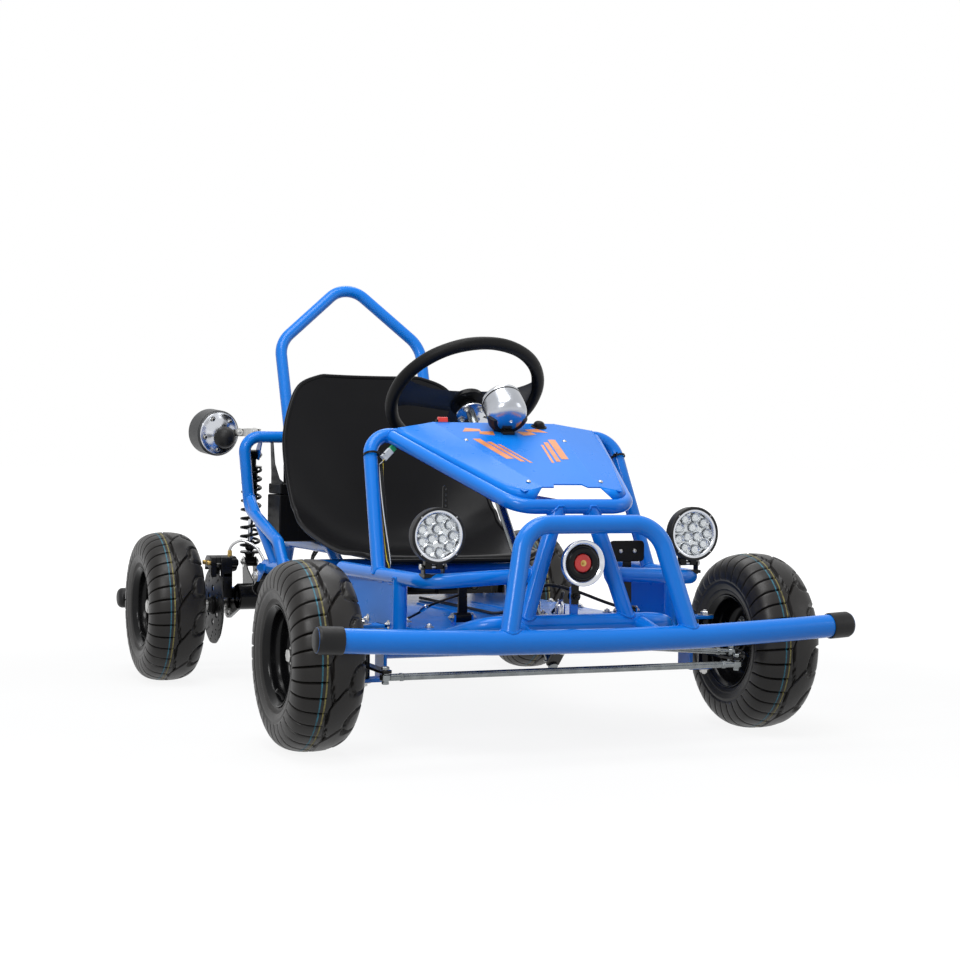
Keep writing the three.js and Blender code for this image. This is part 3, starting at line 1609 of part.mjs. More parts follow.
// Headlight: a turned housing with a recessed lens and a lug on the tilt bolt.
function headlightHousing(side) {
  const centre = at(side * lampTabX, lampCentreY, lampCentreZ);
  const shell = turned([
    [lensPlate, 0],
    [lensPlate, lampRadius - lampBezel + seam],
    [0, lampRadius - lampBezel + seam],
    [0, lampRadius],
    [lampDepth / 2, lampRadius],
    [lampDepth, lampRadius / 2],
    [lampDepth, 0],
  ], centre, at(0, 1, 0), rimSides);
  const lugHalfLength = lampTabSpread - lampTabPlate / 2 - runningGap;
  const lug = block(
    at(centre.x - lugHalfLength, lampPivotY - lampLugHalfWidth, lampPivotZ - lampTabTop),
    at(centre.x + lugHalfLength, lampPivotY + lampLugHalfWidth, lampCentreZ - lampRadius / 2),
  );
  const reach = lampTabSpread + lampTabPlate / 2 + ballNutHeight;
  const bolt = bar(
    at(centre.x - reach, lampPivotY, lampPivotZ),
    at(centre.x + reach, lampPivotY, lampPivotZ),
    ballPinRadius,
  );
  return joined(shell, lug, bolt);
}

function headlightLens(side) {
  const profile = [
    [0, 0],
    [0, lampRadius - lampBezel],
    [lensPlate - seam, lampRadius - lampBezel],
    [lensPlate - seam, 0],
  ];
  return turned(profile, at(side * lampTabX, lampCentreY, lampCentreZ), at(0, 1, 0), rimSides);
}

// Horn: a turned trumpet with its strap bracket on the nose post.
function horn() {
  const face = at(hornX, hornFaceY, hornZ);
  const cup = turned([
    [hornDepth / 3, 0],
    [hornDepth / 3, hornDishRadius + seam],
    [0, hornDishRadius + seam],
    [0, hornRadius],
    [hornDepth / 3, hornRadius],
    [hornDepth - hornBracketPlate, hornRadius / 2],
    [hornDepth, hornRadius / 3],
    [hornDepth, 0],
  ], face, at(0, 1, 0), capSides);
  const postFaceY = noseCrossY + railRadius - hornPostHalfWidth - seam;
  const strap = block(
    at(-hornPostHalfWidth, postFaceY - hornBracketPlate, noseCrossZ + 2 * railRadius),
    at(hornPostHalfWidth, postFaceY, hornZ),
  );
  const tail = bar(face.clone().add(at(0, hornDepth / 2, 0)), at(hornX, postFaceY, hornZ), hornRadius / 4);
  const stem = bar(at(0, postFaceY - hornBracketPlate, hornZ), at(0, postFaceY, hornZ), hornRadius / 4);
  return joined(cup, tail, strap, stem);
}

// Speedometer: a domed cup that looks up at the driver, on a strap screwed to the hood.
const speedoAxisShares = [-0.2, 0.72, 0.66];
const speedoAxis = at(...speedoAxisShares).normalize();
const speedoProfileShares = [
  [-0.5, 0],
  [-0.4, 0.6],
  [-0.15, 0.94],
  [0.3, 1],
  [0.5, 1],
  [0.5, 0.86],
  [0.4, 0.86],
  [0.4, 0],
];

function speedometer() {
  const centre = at(0, speedoY, speedoZ);
  const profile = speedoProfileShares.map(([along, out]) => [along * speedoDepth, out * speedoRadius]);
  const cup = turned(profile, centre, speedoAxis, capSides);
  const footY = speedoY - speedoRadius;
  const strap = bar(at(0, footY, hoodHeight(footY) + 2 * hornBracketPlate), centre, hornPostHalfWidth);
  const slope = Math.atan2(hoodFoldTopZ - hoodFrontZ, hoodFoldTopY - hoodFrontY);
  const foot = new THREE.BoxGeometry(2 * hornPostHalfWidth, speedoRadius, hornBracketPlate);
  foot.rotateX(slope);
  foot.translate(0, footY, hoodHeight(footY) + hornBracketPlate);
  return joined(cup, strap, foot);
}

// The rocker sits behind the hood's top edge, the button in a hole of the hood.
function killSwitch() {
  const y = hoodFoldTopY + switchHalfDepth + seam;
  return block(
    at(switchX - switchHalfWidth, y - switchHalfDepth, hoodFoldTopZ),
    at(switchX + switchHalfWidth, y + switchHalfDepth, hoodFoldTopZ + switchHeight),
  );
}

function startButton() {
  const profile = [
    [-buttonSkirt, 0],
    [-buttonSkirt, buttonRadius],
    [seam, buttonRadius],
    [buttonShoulder, buttonShoulderRadius],
    [buttonHeight, buttonCrownRadius],
    [buttonHeight, 0],
  ];
  return turned(profile, buttonBase(), hoodNormal, rodSides);
}

// Tail lamp: a barrel with a domed rubber boot in front and its arm on the rear hoop.
function tailLamp(side) {
  const front = at(side * tailLampX, tailLampY, tailLampZ);
  const barrel = turned([
    [-tailBallRadius / 2, 0],
    [0, tailLampRadius - tailLampEdge],
    [overrun, tailLampRadius],
    [tailLampDepth - overrun, tailLampRadius],
    [tailLampDepth, tailLampRadius - tailLampEdge],
    [tailLampDepth, 0],
  ], front, at(0, 1, 0), rimSides);
  const ball = new THREE.SphereGeometry(tailBallRadius, rodSides, rodSides / 2);
  ball.translate(front.x + side * -tailBallDrop, front.y - tailBallRadius / 2, front.z - tailBallDrop);
  const armStartX = side * (rearHoopX - 2 * rearHoopBendRadius);
  const arm = bar(
    at(armStartX, rearHoopY + hoopTubeRadius, rearHoopZ + hoopTubeRadius / 2),
    at(side * (tailLampX - tailLampRadius / 2), tailLampY + overrun, tailLampZ + overrun),
    pedalPivotRadius,
  );
  return cutBy(joined(barrel, ball, arm), rearHoopTube(seam));
}

// Pedals turn on pins between their ears on the floor pan.
function pedal(x, y, z, padZ, padWidth, padHeight) {
  const tube = bar(at(x - pedalTubeHalfLength, y, z), at(x + pedalTubeHalfLength, y, z), pedalTubeRadius);
  const stem = block(
    at(x - pedalTubeRadius, y - pedalStemPlate / 2, z),
    at(x + pedalTubeRadius, y + pedalStemPlate / 2, padZ),
  );
  const pad = block(
    at(x - padWidth / 2, y - pedalStemPlate / 2, padZ - padHeight / 2),
    at(x + padWidth / 2, y + pedalStemPlate, padZ + padHeight / 2),
  );
  const hole = clearHole(
    at(x - pedalTubeHalfLength - overrun, y, z),
    at(x + pedalTubeHalfLength + overrun, y, z),
    pedalPivotRadius,
  );
  return cutBy(joined(tube, stem, pad), hole);
}

function masterCylinder() {
  const floor = railZ + railRadius + panPlate + 2 * seam;
  const base = at(cylinderX, cylinderY, floor);
  const foot = block(
    at(cylinderX - 2 * cylinderRadius, cylinderY - cylinderRadius, floor),
    at(cylinderX + 2 * cylinderRadius, cylinderY + cylinderRadius, floor + cylinderFootHeight),
  );
  const pot = turned([
    [0, 0],
    [0, cylinderRadius],
    [cylinderShoulder, cylinderRadius],
    [cylinderNeck, cylinderNeckRadius],
    [cylinderHeight, cylinderNeckRadius],
    [cylinderHeight, 0],
  ], base, at(0, 0, 1), rodSides);
  return joined(foot, pot);
}

// The brake pipe runs from the caliper up and over to the swing arm. Y is measured from the rear axle.
const brakePipePoints = [
  [-300, -19, 278.3],
  [-300, -19, 291],
  [-292, -23, 304],
  [-274, -34, 311],
  [-250, -51, 298],
  [-238, -77, 270],
  [-238, -84, 245],
  [-238, -84, 221.2],
];

function brakePipe() {
  const points = brakePipePoints.map(([x, y, z]) => at(x, wheelBase + y, z));
  return bentTube(points, 2 * brakePipeRadius, brakePipeRadius, thinSides);
}

// The wiring lead is clipped down the right pillar to the floor.
const wiringPoints = [
  [-239, 196, 492],
  [-244, 170, 440],
  [-249, 143, 380],
  [-252.5, 116, 322],
  [-254, 108, 300],
  [-254, 104, 208.9],
];

function wiringLead() {
  const points = wiringPoints.map(([x, y, z]) => at(x, y, z));
  return bentTube(points, 2 * brakePipeRadius, brakePipeRadius, thinSides);
}

function battery() {
  const floor = trayZ + trayRadius + seam;
  return block(
    at(-batteryHalfWidth, batteryFrontY, floor),
    at(batteryHalfWidth, batteryRearY, floor + batteryHeight),
  );
}

function controller() {
  const floor = trayZ + trayRadius + seam;
  return block(
    at(-controllerHalfWidth, controllerFrontY, floor),
    at(controllerHalfWidth, controllerRearY, floor + controllerHeight),
  );
}

// Assembly: frame
addPart('lower_frame', lowerFrame(), 'blue');
addPart('front_bumper', frontBumper(), 'blue');
addPart('dash_loop', dashLoop(), 'blue');
addPart('rear_hoop', rearHoop(), 'blue');
addPart('roll_bar', rollBar(), 'blue');
addPart('rear_bumper', rearBumper(), 'blue');
addPart('floor_pan', floorPan(), 'blue');
addPart('hood', hood(), 'blue');
addPart('seat_shell', seatShell(), 'plastic');
for (const [word, side] of Object.entries(sides)) {
  addPart(`side_rail_${word}`, sideRail(side), 'blue');
  const frontEnd = at(side * bumperHalfWidth, bumperEndY, bumperEndZ);
  const frontKnee = at(side * bumperKneeX, bumperKneeY, bumperKneeZ);
  addPart(`front_bumper_cap_${word}`, bumperCap(frontEnd, frontEnd.clone().sub(frontKnee)), 'rubber');
  const rearEnd = at(side * bumperHalfWidth, rearBumperY, rearBumperZ);
  addPart(`rear_bumper_cap_${word}`, bumperCap(rearEnd, at(side, 0, 0)), 'rubber');
  addPart(`headlight_housing_${word}`, headlightHousing(side), 'black');
  addPart(`headlight_lens_${word}`, headlightLens(side), 'lens');
  addPart(`tail_lamp_${word}`, tailLamp(side), 'chrome');
}

// Assembly: power and brakes
addPart('battery_box', battery(), 'plastic');
addPart('motor_controller', controller(), 'steel');
addPart('motor', motor(), 'black');
addPart('motor_pinion', motorPinion(), 'steel');
addPart('drive_chain', chain(), 'steel');
addPart('axle_sprocket', sprocket(axleTeeth, wheelBase, axleZ, axleRadius), 'steel');
addPart('rear_axle', rearAxle(), 'steel');
addPart('brake_disc', brakeDisc(), 'black');
addPart('brake_caliper', caliper(), 'black');
addPart('brake_pipe', brakePipe(), 'steel');
addPart('master_cylinder', masterCylinder(), 'steel');
addPart('wiring_lead', wiringLead(), 'rubber');

// Assembly: suspension and wheels
addPart('swing_arm', swingArm(), 'black');
for (const [word, side] of Object.entries(sides)) {
  addPart(`shock_body_${word}`, shockBody(side), 'black');
  addPart(`shock_rod_${word}`, shockRod(side), 'black');
  addPart(`shock_spring_${word}`, spring(side), 'black');
  const frontX = side * frontHalfTrack;
  const rearX = side * rearHalfTrack;
  const wheels = [
    [`tyre_front_${word}`, tyre(frontX), 'rubber', 0],
    [`rim_front_${word}`, rim(frontX, stubRadius), 'black', 0],
    [`tyre_rear_${word}`, tyre(rearX), 'rubber', wheelBase],
    [`rim_rear_${word}`, rim(rearX, axleRadius), 'black', wheelBase],
  ];
  for (const [name, geometry, finish, y] of wheels) {
    addPart(name, geometry.translate(0, y, axleZ), finish);
  }
}

// Assembly: steering and controls
addPart('steering_wheel', steeringWheel(), 'rubber');
addPart('steering_column', steeringColumn(), 'steel');
addPart('knuckle_right', knuckle(right), 'black');
addPart('knuckle_left', knuckle(left), 'black');
addPart('tie_rod', tieRod(), 'steel');
addPart('drag_link', dragLink(), 'steel');
const throttle = pedal(throttleX, throttleY, throttleZ, throttlePadZ, throttlePadWidth, throttlePadHeight);
const brake = pedal(brakeX, brakeY, brakeZ, brakePadZ, brakePadWidth, brakePadHeight);
addPart('throttle_pedal', throttle, 'black');
addPart('brake_pedal', brake, 'black');
addPart('horn', horn(), 'chrome');
addPart('speedometer', speedometer(), 'chrome');
addPart('kill_switch', killSwitch(), 'red');
addPart('start_button', startButton(), 'rubber');

// The part's origin is under the middle of its box.
const box = new THREE.Box3().setFromObject(kart);
const middleY = (box.min.y + box.max.y) / 2;
kart.position.y = -middleY;
const size = box.getSize(new THREE.Vector3()).toArray().map((v) => v.toFixed(1));
console.log(`front axle at y = ${(-middleY).toFixed(3)}, lowest z ${box.min.z.toFixed(4)}, size ${size}`);

const part = new THREE.Group();
part.add(kart);
part.updateMatrixWorld(true);

export default part;
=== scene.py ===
import math

import bmesh
import bpy
import numpy as np
from mathutils import Matrix, Vector

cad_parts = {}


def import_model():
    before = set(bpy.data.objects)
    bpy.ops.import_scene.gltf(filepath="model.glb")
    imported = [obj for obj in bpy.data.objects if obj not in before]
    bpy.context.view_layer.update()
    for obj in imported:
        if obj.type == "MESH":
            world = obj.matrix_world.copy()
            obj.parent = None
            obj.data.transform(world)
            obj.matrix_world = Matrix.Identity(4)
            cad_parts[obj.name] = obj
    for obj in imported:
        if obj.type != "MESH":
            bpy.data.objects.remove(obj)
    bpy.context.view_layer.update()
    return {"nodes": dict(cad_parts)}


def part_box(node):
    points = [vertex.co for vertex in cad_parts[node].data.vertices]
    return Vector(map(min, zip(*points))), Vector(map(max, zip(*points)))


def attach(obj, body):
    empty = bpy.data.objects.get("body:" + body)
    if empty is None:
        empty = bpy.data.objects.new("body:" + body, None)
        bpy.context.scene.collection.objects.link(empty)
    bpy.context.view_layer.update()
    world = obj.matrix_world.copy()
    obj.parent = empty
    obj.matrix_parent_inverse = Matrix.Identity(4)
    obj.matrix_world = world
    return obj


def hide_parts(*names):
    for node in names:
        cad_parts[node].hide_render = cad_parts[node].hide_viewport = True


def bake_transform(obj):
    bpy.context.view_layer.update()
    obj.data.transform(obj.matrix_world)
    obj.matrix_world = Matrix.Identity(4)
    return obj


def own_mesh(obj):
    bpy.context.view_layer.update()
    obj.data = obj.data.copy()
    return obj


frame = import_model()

# Sizes are millimetres in the kart's own frame: Y = 0 is the front axle, -Y is forward, Z = 0 the ground.
MM = 0.001
front_tyre_low, front_tyre_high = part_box("tyre_front_left")
FRONT_AXLE = (front_tyre_low.y + front_tyre_high.y) / 2
SIDES = (("right", -1), ("left", 1))
AXLE_HEIGHT = 165
WHEELBASE = 1049
KINGPIN_X = 340
RAIL_X = 258
SHOCK_X = 248
LAMP_X = 247
CHASSIS = "chassis"
X_AXIS = Vector((1, 0, 0))
Y_AXIS = Vector((0, 1, 0))
Z_AXIS = Vector((0, 0, 1))


def at(x, y, z):
    """A place in the kart's frame as a point of the scene."""
    return Vector((x * MM, y * MM + FRONT_AXLE, z * MM))


def direction(x, y, z):
    return Vector((x, y, z)).normalized()


def on_rear_axle(x):
    return at(x, WHEELBASE, AXLE_HEIGHT)


def on_motor_shaft(x):
    return at(x, 1140, 215)


# Materials

def link(tree, source, target):
    tree.links.new(source, target)


def noise(tree, coordinates, scale, detail=3.0, stretch=None):
    node = tree.nodes.new("ShaderNodeTexNoise")
    node.inputs["Scale"].default_value = scale
    node.inputs["Detail"].default_value = detail
    if stretch is None:
        link(tree, coordinates, node.inputs["Vector"])
        return node.outputs["Fac"]
    mapping = tree.nodes.new("ShaderNodeMapping")
    mapping.inputs["Scale"].default_value = stretch
    link(tree, coordinates, mapping.inputs["Vector"])
    link(tree, mapping.outputs["Vector"], node.inputs["Vector"])
    return node.outputs["Fac"]


def ramp(tree, value, stops):
    node = tree.nodes.new("ShaderNodeValToRGB")
    elements = node.color_ramp.elements
    while len(elements) < len(stops):
        elements.new(0.5)
    for element, (place, colour) in zip(elements, stops):
        element.position = place
        element.color = (*colour, 1.0)
    link(tree, value, node.inputs["Fac"])
    return node.outputs["Color"]


def between(tree, value, low, high):
    node = tree.nodes.new("ShaderNodeMapRange")
    node.inputs["To Min"].default_value = low
    node.inputs["To Max"].default_value = high
    link(tree, value, node.inputs["Value"])
    return node.outputs["Result"]


def shade(colour, factor):
    return tuple(min(1.0, channel * factor) for channel in colour)


def surface(name, colour, roughness, metallic=0.0, patch=6.0, spread=0.12, grain=900.0, bump=0.15,
            depth=0.0002, rough_spread=0.08, coat=0.0, transmission=0.0, stretch=None, wear=None,
            shine=0.5):
    """A painted, moulded or metal finish: patchy colour, uneven gloss and a fine grain.

    wear is the share of the surface that is worn and the colour that shows there.
    """
    material = bpy.data.materials.new(name)
    material.use_nodes = True
    tree = material.node_tree
    shader = tree.nodes["Principled BSDF"]
    coordinates = tree.nodes.new("ShaderNodeTexCoord").outputs["Object"]
    patches = noise(tree, coordinates, patch, 4.0)
    stops = [(0.3, shade(colour, 1 - spread)), (0.7, shade(colour, 1 + spread))]
    tone = ramp(tree, patches, stops)
    if wear is not None:
        amount, tint = wear
        flecks = noise(tree, coordinates, 55.0, 8.0)
        mask = tree.nodes.new("ShaderNodeMapRange")
        mask.inputs["From Min"].default_value = 1 - amount
        mask.inputs["From Max"].default_value = 1 - amount + 0.06
        link(tree, flecks, mask.inputs["Value"])
        mix = tree.nodes.new("ShaderNodeMix")
        mix.data_type = "RGBA"
        mix.inputs["B"].default_value = (*tint, 1.0)
        link(tree, mask.outputs["Result"], mix.inputs["Factor"])
        link(tree, tone, mix.inputs["A"])
        tone = mix.outputs["Result"]
    link(tree, tone, shader.inputs["Base Color"])
    gloss = noise(tree, coordinates, patch * 7, 5.0)
    link(tree, between(tree, gloss, roughness - rough_spread, roughness + rough_spread),
         shader.inputs["Roughness"])
    shader.inputs["Metallic"].default_value = metallic
    shader.inputs["Specular IOR Level"].default_value = shine
    shader.inputs["Coat Weight"].default_value = coat
    shader.inputs["Coat Roughness"].default_value = 0.06
    shader.inputs["Transmission Weight"].default_value = transmission
    fine = noise(tree, coordinates, grain, 2.0, stretch)
    relief = tree.nodes.new("ShaderNodeBump")
    relief.inputs["Strength"].default_value = bump
    relief.inputs["Distance"].default_value = depth
    link(tree, fine, relief.inputs["Height"])
    link(tree, relief.outputs["Normal"], shader.inputs["Normal"])
    return material


BLUE = (0.0025, 0.19, 0.72)
paint_blue = surface("blue_gloss_paint", BLUE, 0.24, patch=3.0, spread=0.07, grain=260.0, bump=0.05,
                     depth=0.0004, rough_spread=0.05, coat=0.1, shine=0.25)
plate_blue = surface("blue_plate_paint", BLUE, 0.28, patch=3.0, spread=0.06, grain=900.0, bump=0.02,
                     depth=0.0001, rough_spread=0.03, shine=0.1)
weld_blue = surface("blue_painted_weld", shade(BLUE, 0.92), 0.3, patch=60.0, spread=0.1, grain=420.0,
                    bump=0.5, depth=0.0006, coat=0.05, shine=0.2)
paint_black = surface("black_gloss_paint", (0.0045, 0.0045, 0.005), 0.2, patch=8.0, spread=0.25,
                      grain=400.0, bump=0.06, shine=0.17)
paint_satin = surface("black_satin_paint", (0.008, 0.008, 0.0085), 0.4, patch=10.0, spread=0.3, grain=700.0,
                      bump=0.12, shine=0.25, wear=(0.3, (0.03, 0.027, 0.024)))
plastic_seat = surface("black_seat_plastic", (0.0042, 0.0042, 0.005), 0.34, patch=5.0, spread=0.2,
                       grain=1500.0, bump=0.2, depth=0.00015, rough_spread=0.06, shine=0.11)
plastic_black = surface("black_plastic", (0.005, 0.005, 0.0055), 0.42, patch=14.0, spread=0.2, grain=1800.0,
                        bump=0.3, depth=0.00012, shine=0.15)
rubber_grip = surface("black_grip_foam", (0.0045, 0.0045, 0.0047), 0.46, patch=16.0, spread=0.25,
                      grain=2200.0, bump=0.4, depth=0.0002, shine=0.14)
rubber_cap = surface("black_rubber", (0.008, 0.008, 0.0085), 0.45, patch=20.0, spread=0.3, grain=1400.0,
                     bump=0.4, depth=0.0002, shine=0.25, wear=(0.22, (0.03, 0.029, 0.028)))
tyre_rubber = surface("tyre_rubber", (0.0108, 0.0096, 0.0088), 0.38, patch=9.0, spread=0.3, grain=1700.0,
                      bump=0.35, depth=0.00025, shine=0.3, wear=(0.2, (0.03, 0.028, 0.026)))
line_cyan = surface("cyan_tread_line", (0.014, 0.105, 0.15), 0.6, patch=120.0, spread=0.6, grain=900.0)
line_yellow = surface("yellow_tread_line", (0.17, 0.145, 0.04), 0.6, patch=120.0, spread=0.6, grain=900.0)
# Chrome plate: the grey is the metal's own colour, while its blue tint and lowered level are a painted
# reflection of blue sky and dark ground.
chrome = surface("chrome_plate", (0.6, 0.62, 0.66), 0.17, metallic=1.0, patch=12.0, spread=0.05,
                 grain=120.0, bump=0.05, depth=0.0002, rough_spread=0.05)
soft_chrome = surface("worn_chrome", (0.46, 0.48, 0.52), 0.25, metallic=1.0, patch=12.0, spread=0.1,
                      grain=120.0, bump=0.03, depth=0.0002, rough_spread=0.05)
zinc = surface("zinc_plated_steel", (0.5, 0.5, 0.49), 0.32, metallic=1.0, patch=90.0, spread=0.16,
               grain=700.0, bump=0.25, wear=(0.3, (0.3, 0.27, 0.2)))
# Rod steel whose base colour is darkened below the metal's own tone: a painted reflection of the dark
# ground under the rods.
rod_steel = surface("rod_steel_painted_dark_reflection", (0.2, 0.215, 0.22), 0.27, metallic=1.0, patch=60.0, spread=0.2,
                    grain=120.0, bump=0.2)
bright_steel = surface("turned_steel", (0.56, 0.56, 0.57), 0.26, metallic=1.0, patch=40.0, spread=0.12,
                       grain=60.0, bump=0.25, stretch=(1.0, 30.0, 30.0))
cast_alloy = surface("cast_aluminium", (0.5, 0.5, 0.51), 0.45, metallic=0.9, patch=50.0, spread=0.15,
                     grain=900.0, bump=0.5, depth=0.0003)
brass = surface("brass_fitting", (0.55, 0.38, 0.13), 0.3, metallic=1.0, patch=60.0, spread=0.2, grain=700.0,
                bump=0.2)
grey_plastic = surface("dark_grey_plastic", (0.022, 0.0235, 0.026), 0.42, patch=20.0, spread=0.15,
                       grain=1500.0, bump=0.25)
reflector = surface("lamp_reflector", (0.56, 0.58, 0.6), 0.16, metallic=0.9, patch=80.0, spread=0.08,
                    grain=200.0, bump=0.1)
led_yellow = surface("led_chip", (0.75, 0.7, 0.35), 0.3, patch=200.0, spread=0.2, grain=900.0)
red_plastic = surface("red_plastic", (0.62, 0.012, 0.01), 0.3, patch=50.0, spread=0.12, grain=900.0,
                      coat=0.4)
orange_film = surface("orange_film", (0.72, 0.24, 0.06), 0.34, patch=40.0, spread=0.18, grain=700.0,
                      bump=0.08, wear=(0.34, (0.1, 0.2, 0.5)))
wire_yellow = surface("yellow_wire", (0.6, 0.45, 0.02), 0.4, patch=90.0, grain=900.0)
wire_white = surface("white_plastic", (0.68, 0.7, 0.68), 0.4, patch=60.0, grain=900.0)
wire_green = surface("green_plastic", (0.03, 0.35, 0.12), 0.4, patch=60.0, grain=900.0)
dial_white = surface("dial_face", (0.75, 0.77, 0.76), 0.45, patch=40.0, spread=0.04, grain=900.0)


def clear_plastic(name, tint):
    """Clear moulded plastic, thin enough to show what is behind it."""
    material = surface(name, tint, 0.06, patch=30.0, spread=0.03, grain=90.0, bump=0.04, rough_spread=0.03,
                       transmission=1.0)
    shader = material.node_tree.nodes["Principled BSDF"]
    shader.inputs["IOR"].default_value = 1.2
    shader.inputs["Alpha"].default_value = 0.35
    return material


clear_lens = clear_plastic("clear_lens_plastic", (0.95, 0.97, 0.98))


# Shapes: each is (vertices, faces), in scene metres

def joined(*shapes):
    verts = []
    faces = []
    for shape_verts, shape_faces in shapes:
        base = len(verts)
        verts.extend(shape_verts)
        faces.extend([tuple(index + base for index in face) for face in shape_faces])
    return verts, faces


def across(axis):
    """Two directions square to an axis and to each other."""
    seed = Z_AXIS if abs(axis.z) < 0.9 else X_AXIS
    first = axis.cross(seed).normalized()
    return first, axis.cross(first).normalized()


def bent(corners, bend, steps=8):
    """Points along straight runs with a round bend at each inner corner; bend is a radius or a list."""
    points = [corners[0]]
    for i in range(1, len(corners) - 1):
        radius = (bend[i - 1] if isinstance(bend, (list, tuple)) else bend) * MM
        inward = (corners[i] - corners[i - 1]).normalized()
        outward = (corners[i + 1] - corners[i]).normalized()
        turn = inward.angle(outward)
        start = corners[i] - inward * radius * math.tan(turn / 2)
        side = (outward - inward * inward.dot(outward)).normalized()
        count = max(2, round(steps * turn / (math.pi / 4)))
        for step in range(count + 1):
            angle = turn * step / count
            points.append(start + inward * radius * math.sin(angle) + side * radius * (1 - math.cos(angle)))
    points.append(corners[-1])
    return points


def tube(points, radius, sides=24, closed=False):
    """A round tube through points. radius is millimetres, or a function of the point's number."""
    count = len(points)
    verts = []
    faces = []
    normal = None
    for i, point in enumerate(points):
        before = points[i - 1] if i > 0 or closed else point
        after = points[(i + 1) % count] if i < count - 1 or closed else point
        tangent = (after - before).normalized()
        if normal is None:
            normal = across(tangent)[0]
        normal = (normal - tangent * normal.dot(tangent)).normalized()
        other = tangent.cross(normal)
        reach = (radius(i) if callable(radius) else radius) * MM
        for k in range(sides):
            angle = 2 * math.pi * k / sides
            verts.append(point + normal * reach * math.cos(angle) + other * reach * math.sin(angle))
    rings = count if closed else count - 1
    for i in range(rings):
        for k in range(sides):
            a = i * sides + k
            b = i * sides + (k + 1) % sides
            c = ((i + 1) % count) * sides + (k + 1) % sides
            d = ((i + 1) % count) * sides + k
            faces.append((a, b, c, d))
    if not closed:
        faces.append(tuple(reversed(range(sides))))
        faces.append(tuple((count - 1) * sides + k for k in range(sides)))
    return verts, faces


def rod(start, end, radius, sides=24):
    return tube([start, end], radius, sides)


def lathe(profile, origin, axis, sides=48):
    """A turned shape: profile is [(along, radius)] in millimetres."""
    axis = axis.normalized()
    first, second = across(axis)
    verts = []
    faces = []
    rings = []
    for along, radius in profile:
        centre = origin + axis * along * MM
        if radius == 0:
            rings.append([len(verts)])
            verts.append(centre)
            continue
        rings.append(list(range(len(verts), len(verts) + sides)))
        for k in range(sides):
            angle = 2 * math.pi * k / sides
            verts.append(centre + (first * math.cos(angle) + second * math.sin(angle)) * radius * MM)
    for low, high in zip(rings, rings[1:]):
        for k in range(sides):
            a = low[k % len(low)]
            b = low[(k + 1) % len(low)]
            c = high[(k + 1) % len(high)]
            d = high[k % len(high)]
            faces.append(tuple(dict.fromkeys((a, d, c, b))))
    return verts, [face for face in faces if len(face) > 2]


def curve(rows, steps):
    """A smooth curve through rows of numbers, keeping its ends."""
    result = []
    for i in range(len(rows) - 1):
        p0 = rows[max(0, i - 1)]
        p3 = rows[min(len(rows) - 1, i + 2)]
        for step in range(steps):
            t = step / steps
            result.append([
                0.5 * (2 * b + (c - a) * t + (2 * a - 5 * b + 4 * c - d) * t * t
                       + (3 * b - a - 3 * c + d) * t * t * t)
                for a, b, c, d in zip(p0, rows[i], rows[i + 1], p3)
            ])
    result.append(list(rows[-1]))
    return result


def smooth_profile(points, steps=4):
    """Rounds a profile for lathe, whose radius never falls below 0."""
    return [(along, max(0.0, radius)) for along, radius in curve(points, steps)]


def curve_through(points, steps):
    """A smooth curve through points of the scene."""
    return [Vector(place) for place in curve(points, steps)]


def circle(centre, first, second, reach, count, start=0.0):
    """Points round a circle in the plane of two directions."""
    angles = [start + 2 * math.pi * k / count for k in range(count)]
    return [centre + (first * math.cos(angle) + second * math.sin(angle)) * reach * MM for angle in angles]


CUBE_FACES = [(0, 1, 3, 2), (4, 6, 7, 5), (0, 4, 5, 1), (2, 3, 7, 6), (0, 2, 6, 4), (1, 5, 7, 3)]


def block(low, high):
    xs, ys, zs = zip(low, high)
    return [Vector((x, y, z)) for x in xs for y in ys for z in zs], CUBE_FACES


def box_along(centre, long, wide, deep):
    """A box round its centre from three half edges."""
    signs = (-1, 1)
    corners = [centre + long * a + wide * b + deep * c for a in signs for b in signs for c in signs]
    return corners, CUBE_FACES


def plate(outline, normal_offset):
    """A flat plate: the outline's points, thickened by a vector."""
    count = len(outline)
    verts = [point.copy() for point in outline] + [point + normal_offset for point in outline]
    faces = [tuple(reversed(range(count))), tuple(range(count, 2 * count))]
    for i in range(count):
        j = (i + 1) % count
        faces.append((i, j, j + count, i + count))
    return verts, faces


def upright(outline, x, thickness):
    """A plate across X from an outline of (y, z)."""
    points = [at(x - thickness / 2, y, z) for y, z in outline]
    return plate(points, X_AXIS * thickness * MM)


def hex_head(centre, axis, across_flats, height):
    radius = across_flats / math.sqrt(3)
    profile = [(0, 0), (0, radius), (height * 0.8, radius), (height, radius * 0.86), (height, 0)]
    return lathe(profile, centre, axis, 6)


def bolt(centre, axis, across_flats=10.0, height=5.5, washer=True, stub=3.0):
    """A hex head or nut with its washer and a stub of thread."""
    axis = axis.normalized()
    shapes = [hex_head(centre + axis * (1.2 if washer else 0) * MM, axis, across_flats, height)]
    if washer:
        disc = across_flats * 0.95
        shapes.append(lathe([(0, 0), (0, disc), (1.2, disc), (1.2, 0)], centre, axis, 24))
    if stub:
        top = centre + axis * height * MM
        radius = across_flats * 0.3
        shapes.append(lathe([(0, 0), (0, radius), (stub, radius), (stub + 1, radius * 0.7), (stub + 1, 0)],
                            top, axis, 12))
    return joined(*shapes)


def dome(centre, axis, radius, height, sides=24):
    profile = [(height * math.sin(a), radius * math.cos(a)) for a in np.linspace(0, math.pi / 2, 6)]
    profile[-1] = (height, 0)
    return lathe([(0, 0)] + profile, centre, axis, sides)


def bead_round(points, bead):
    return tube(points, lambda i: bead * (0.86 + 0.2 * math.sin(i * 2.4)), 8, closed=True)


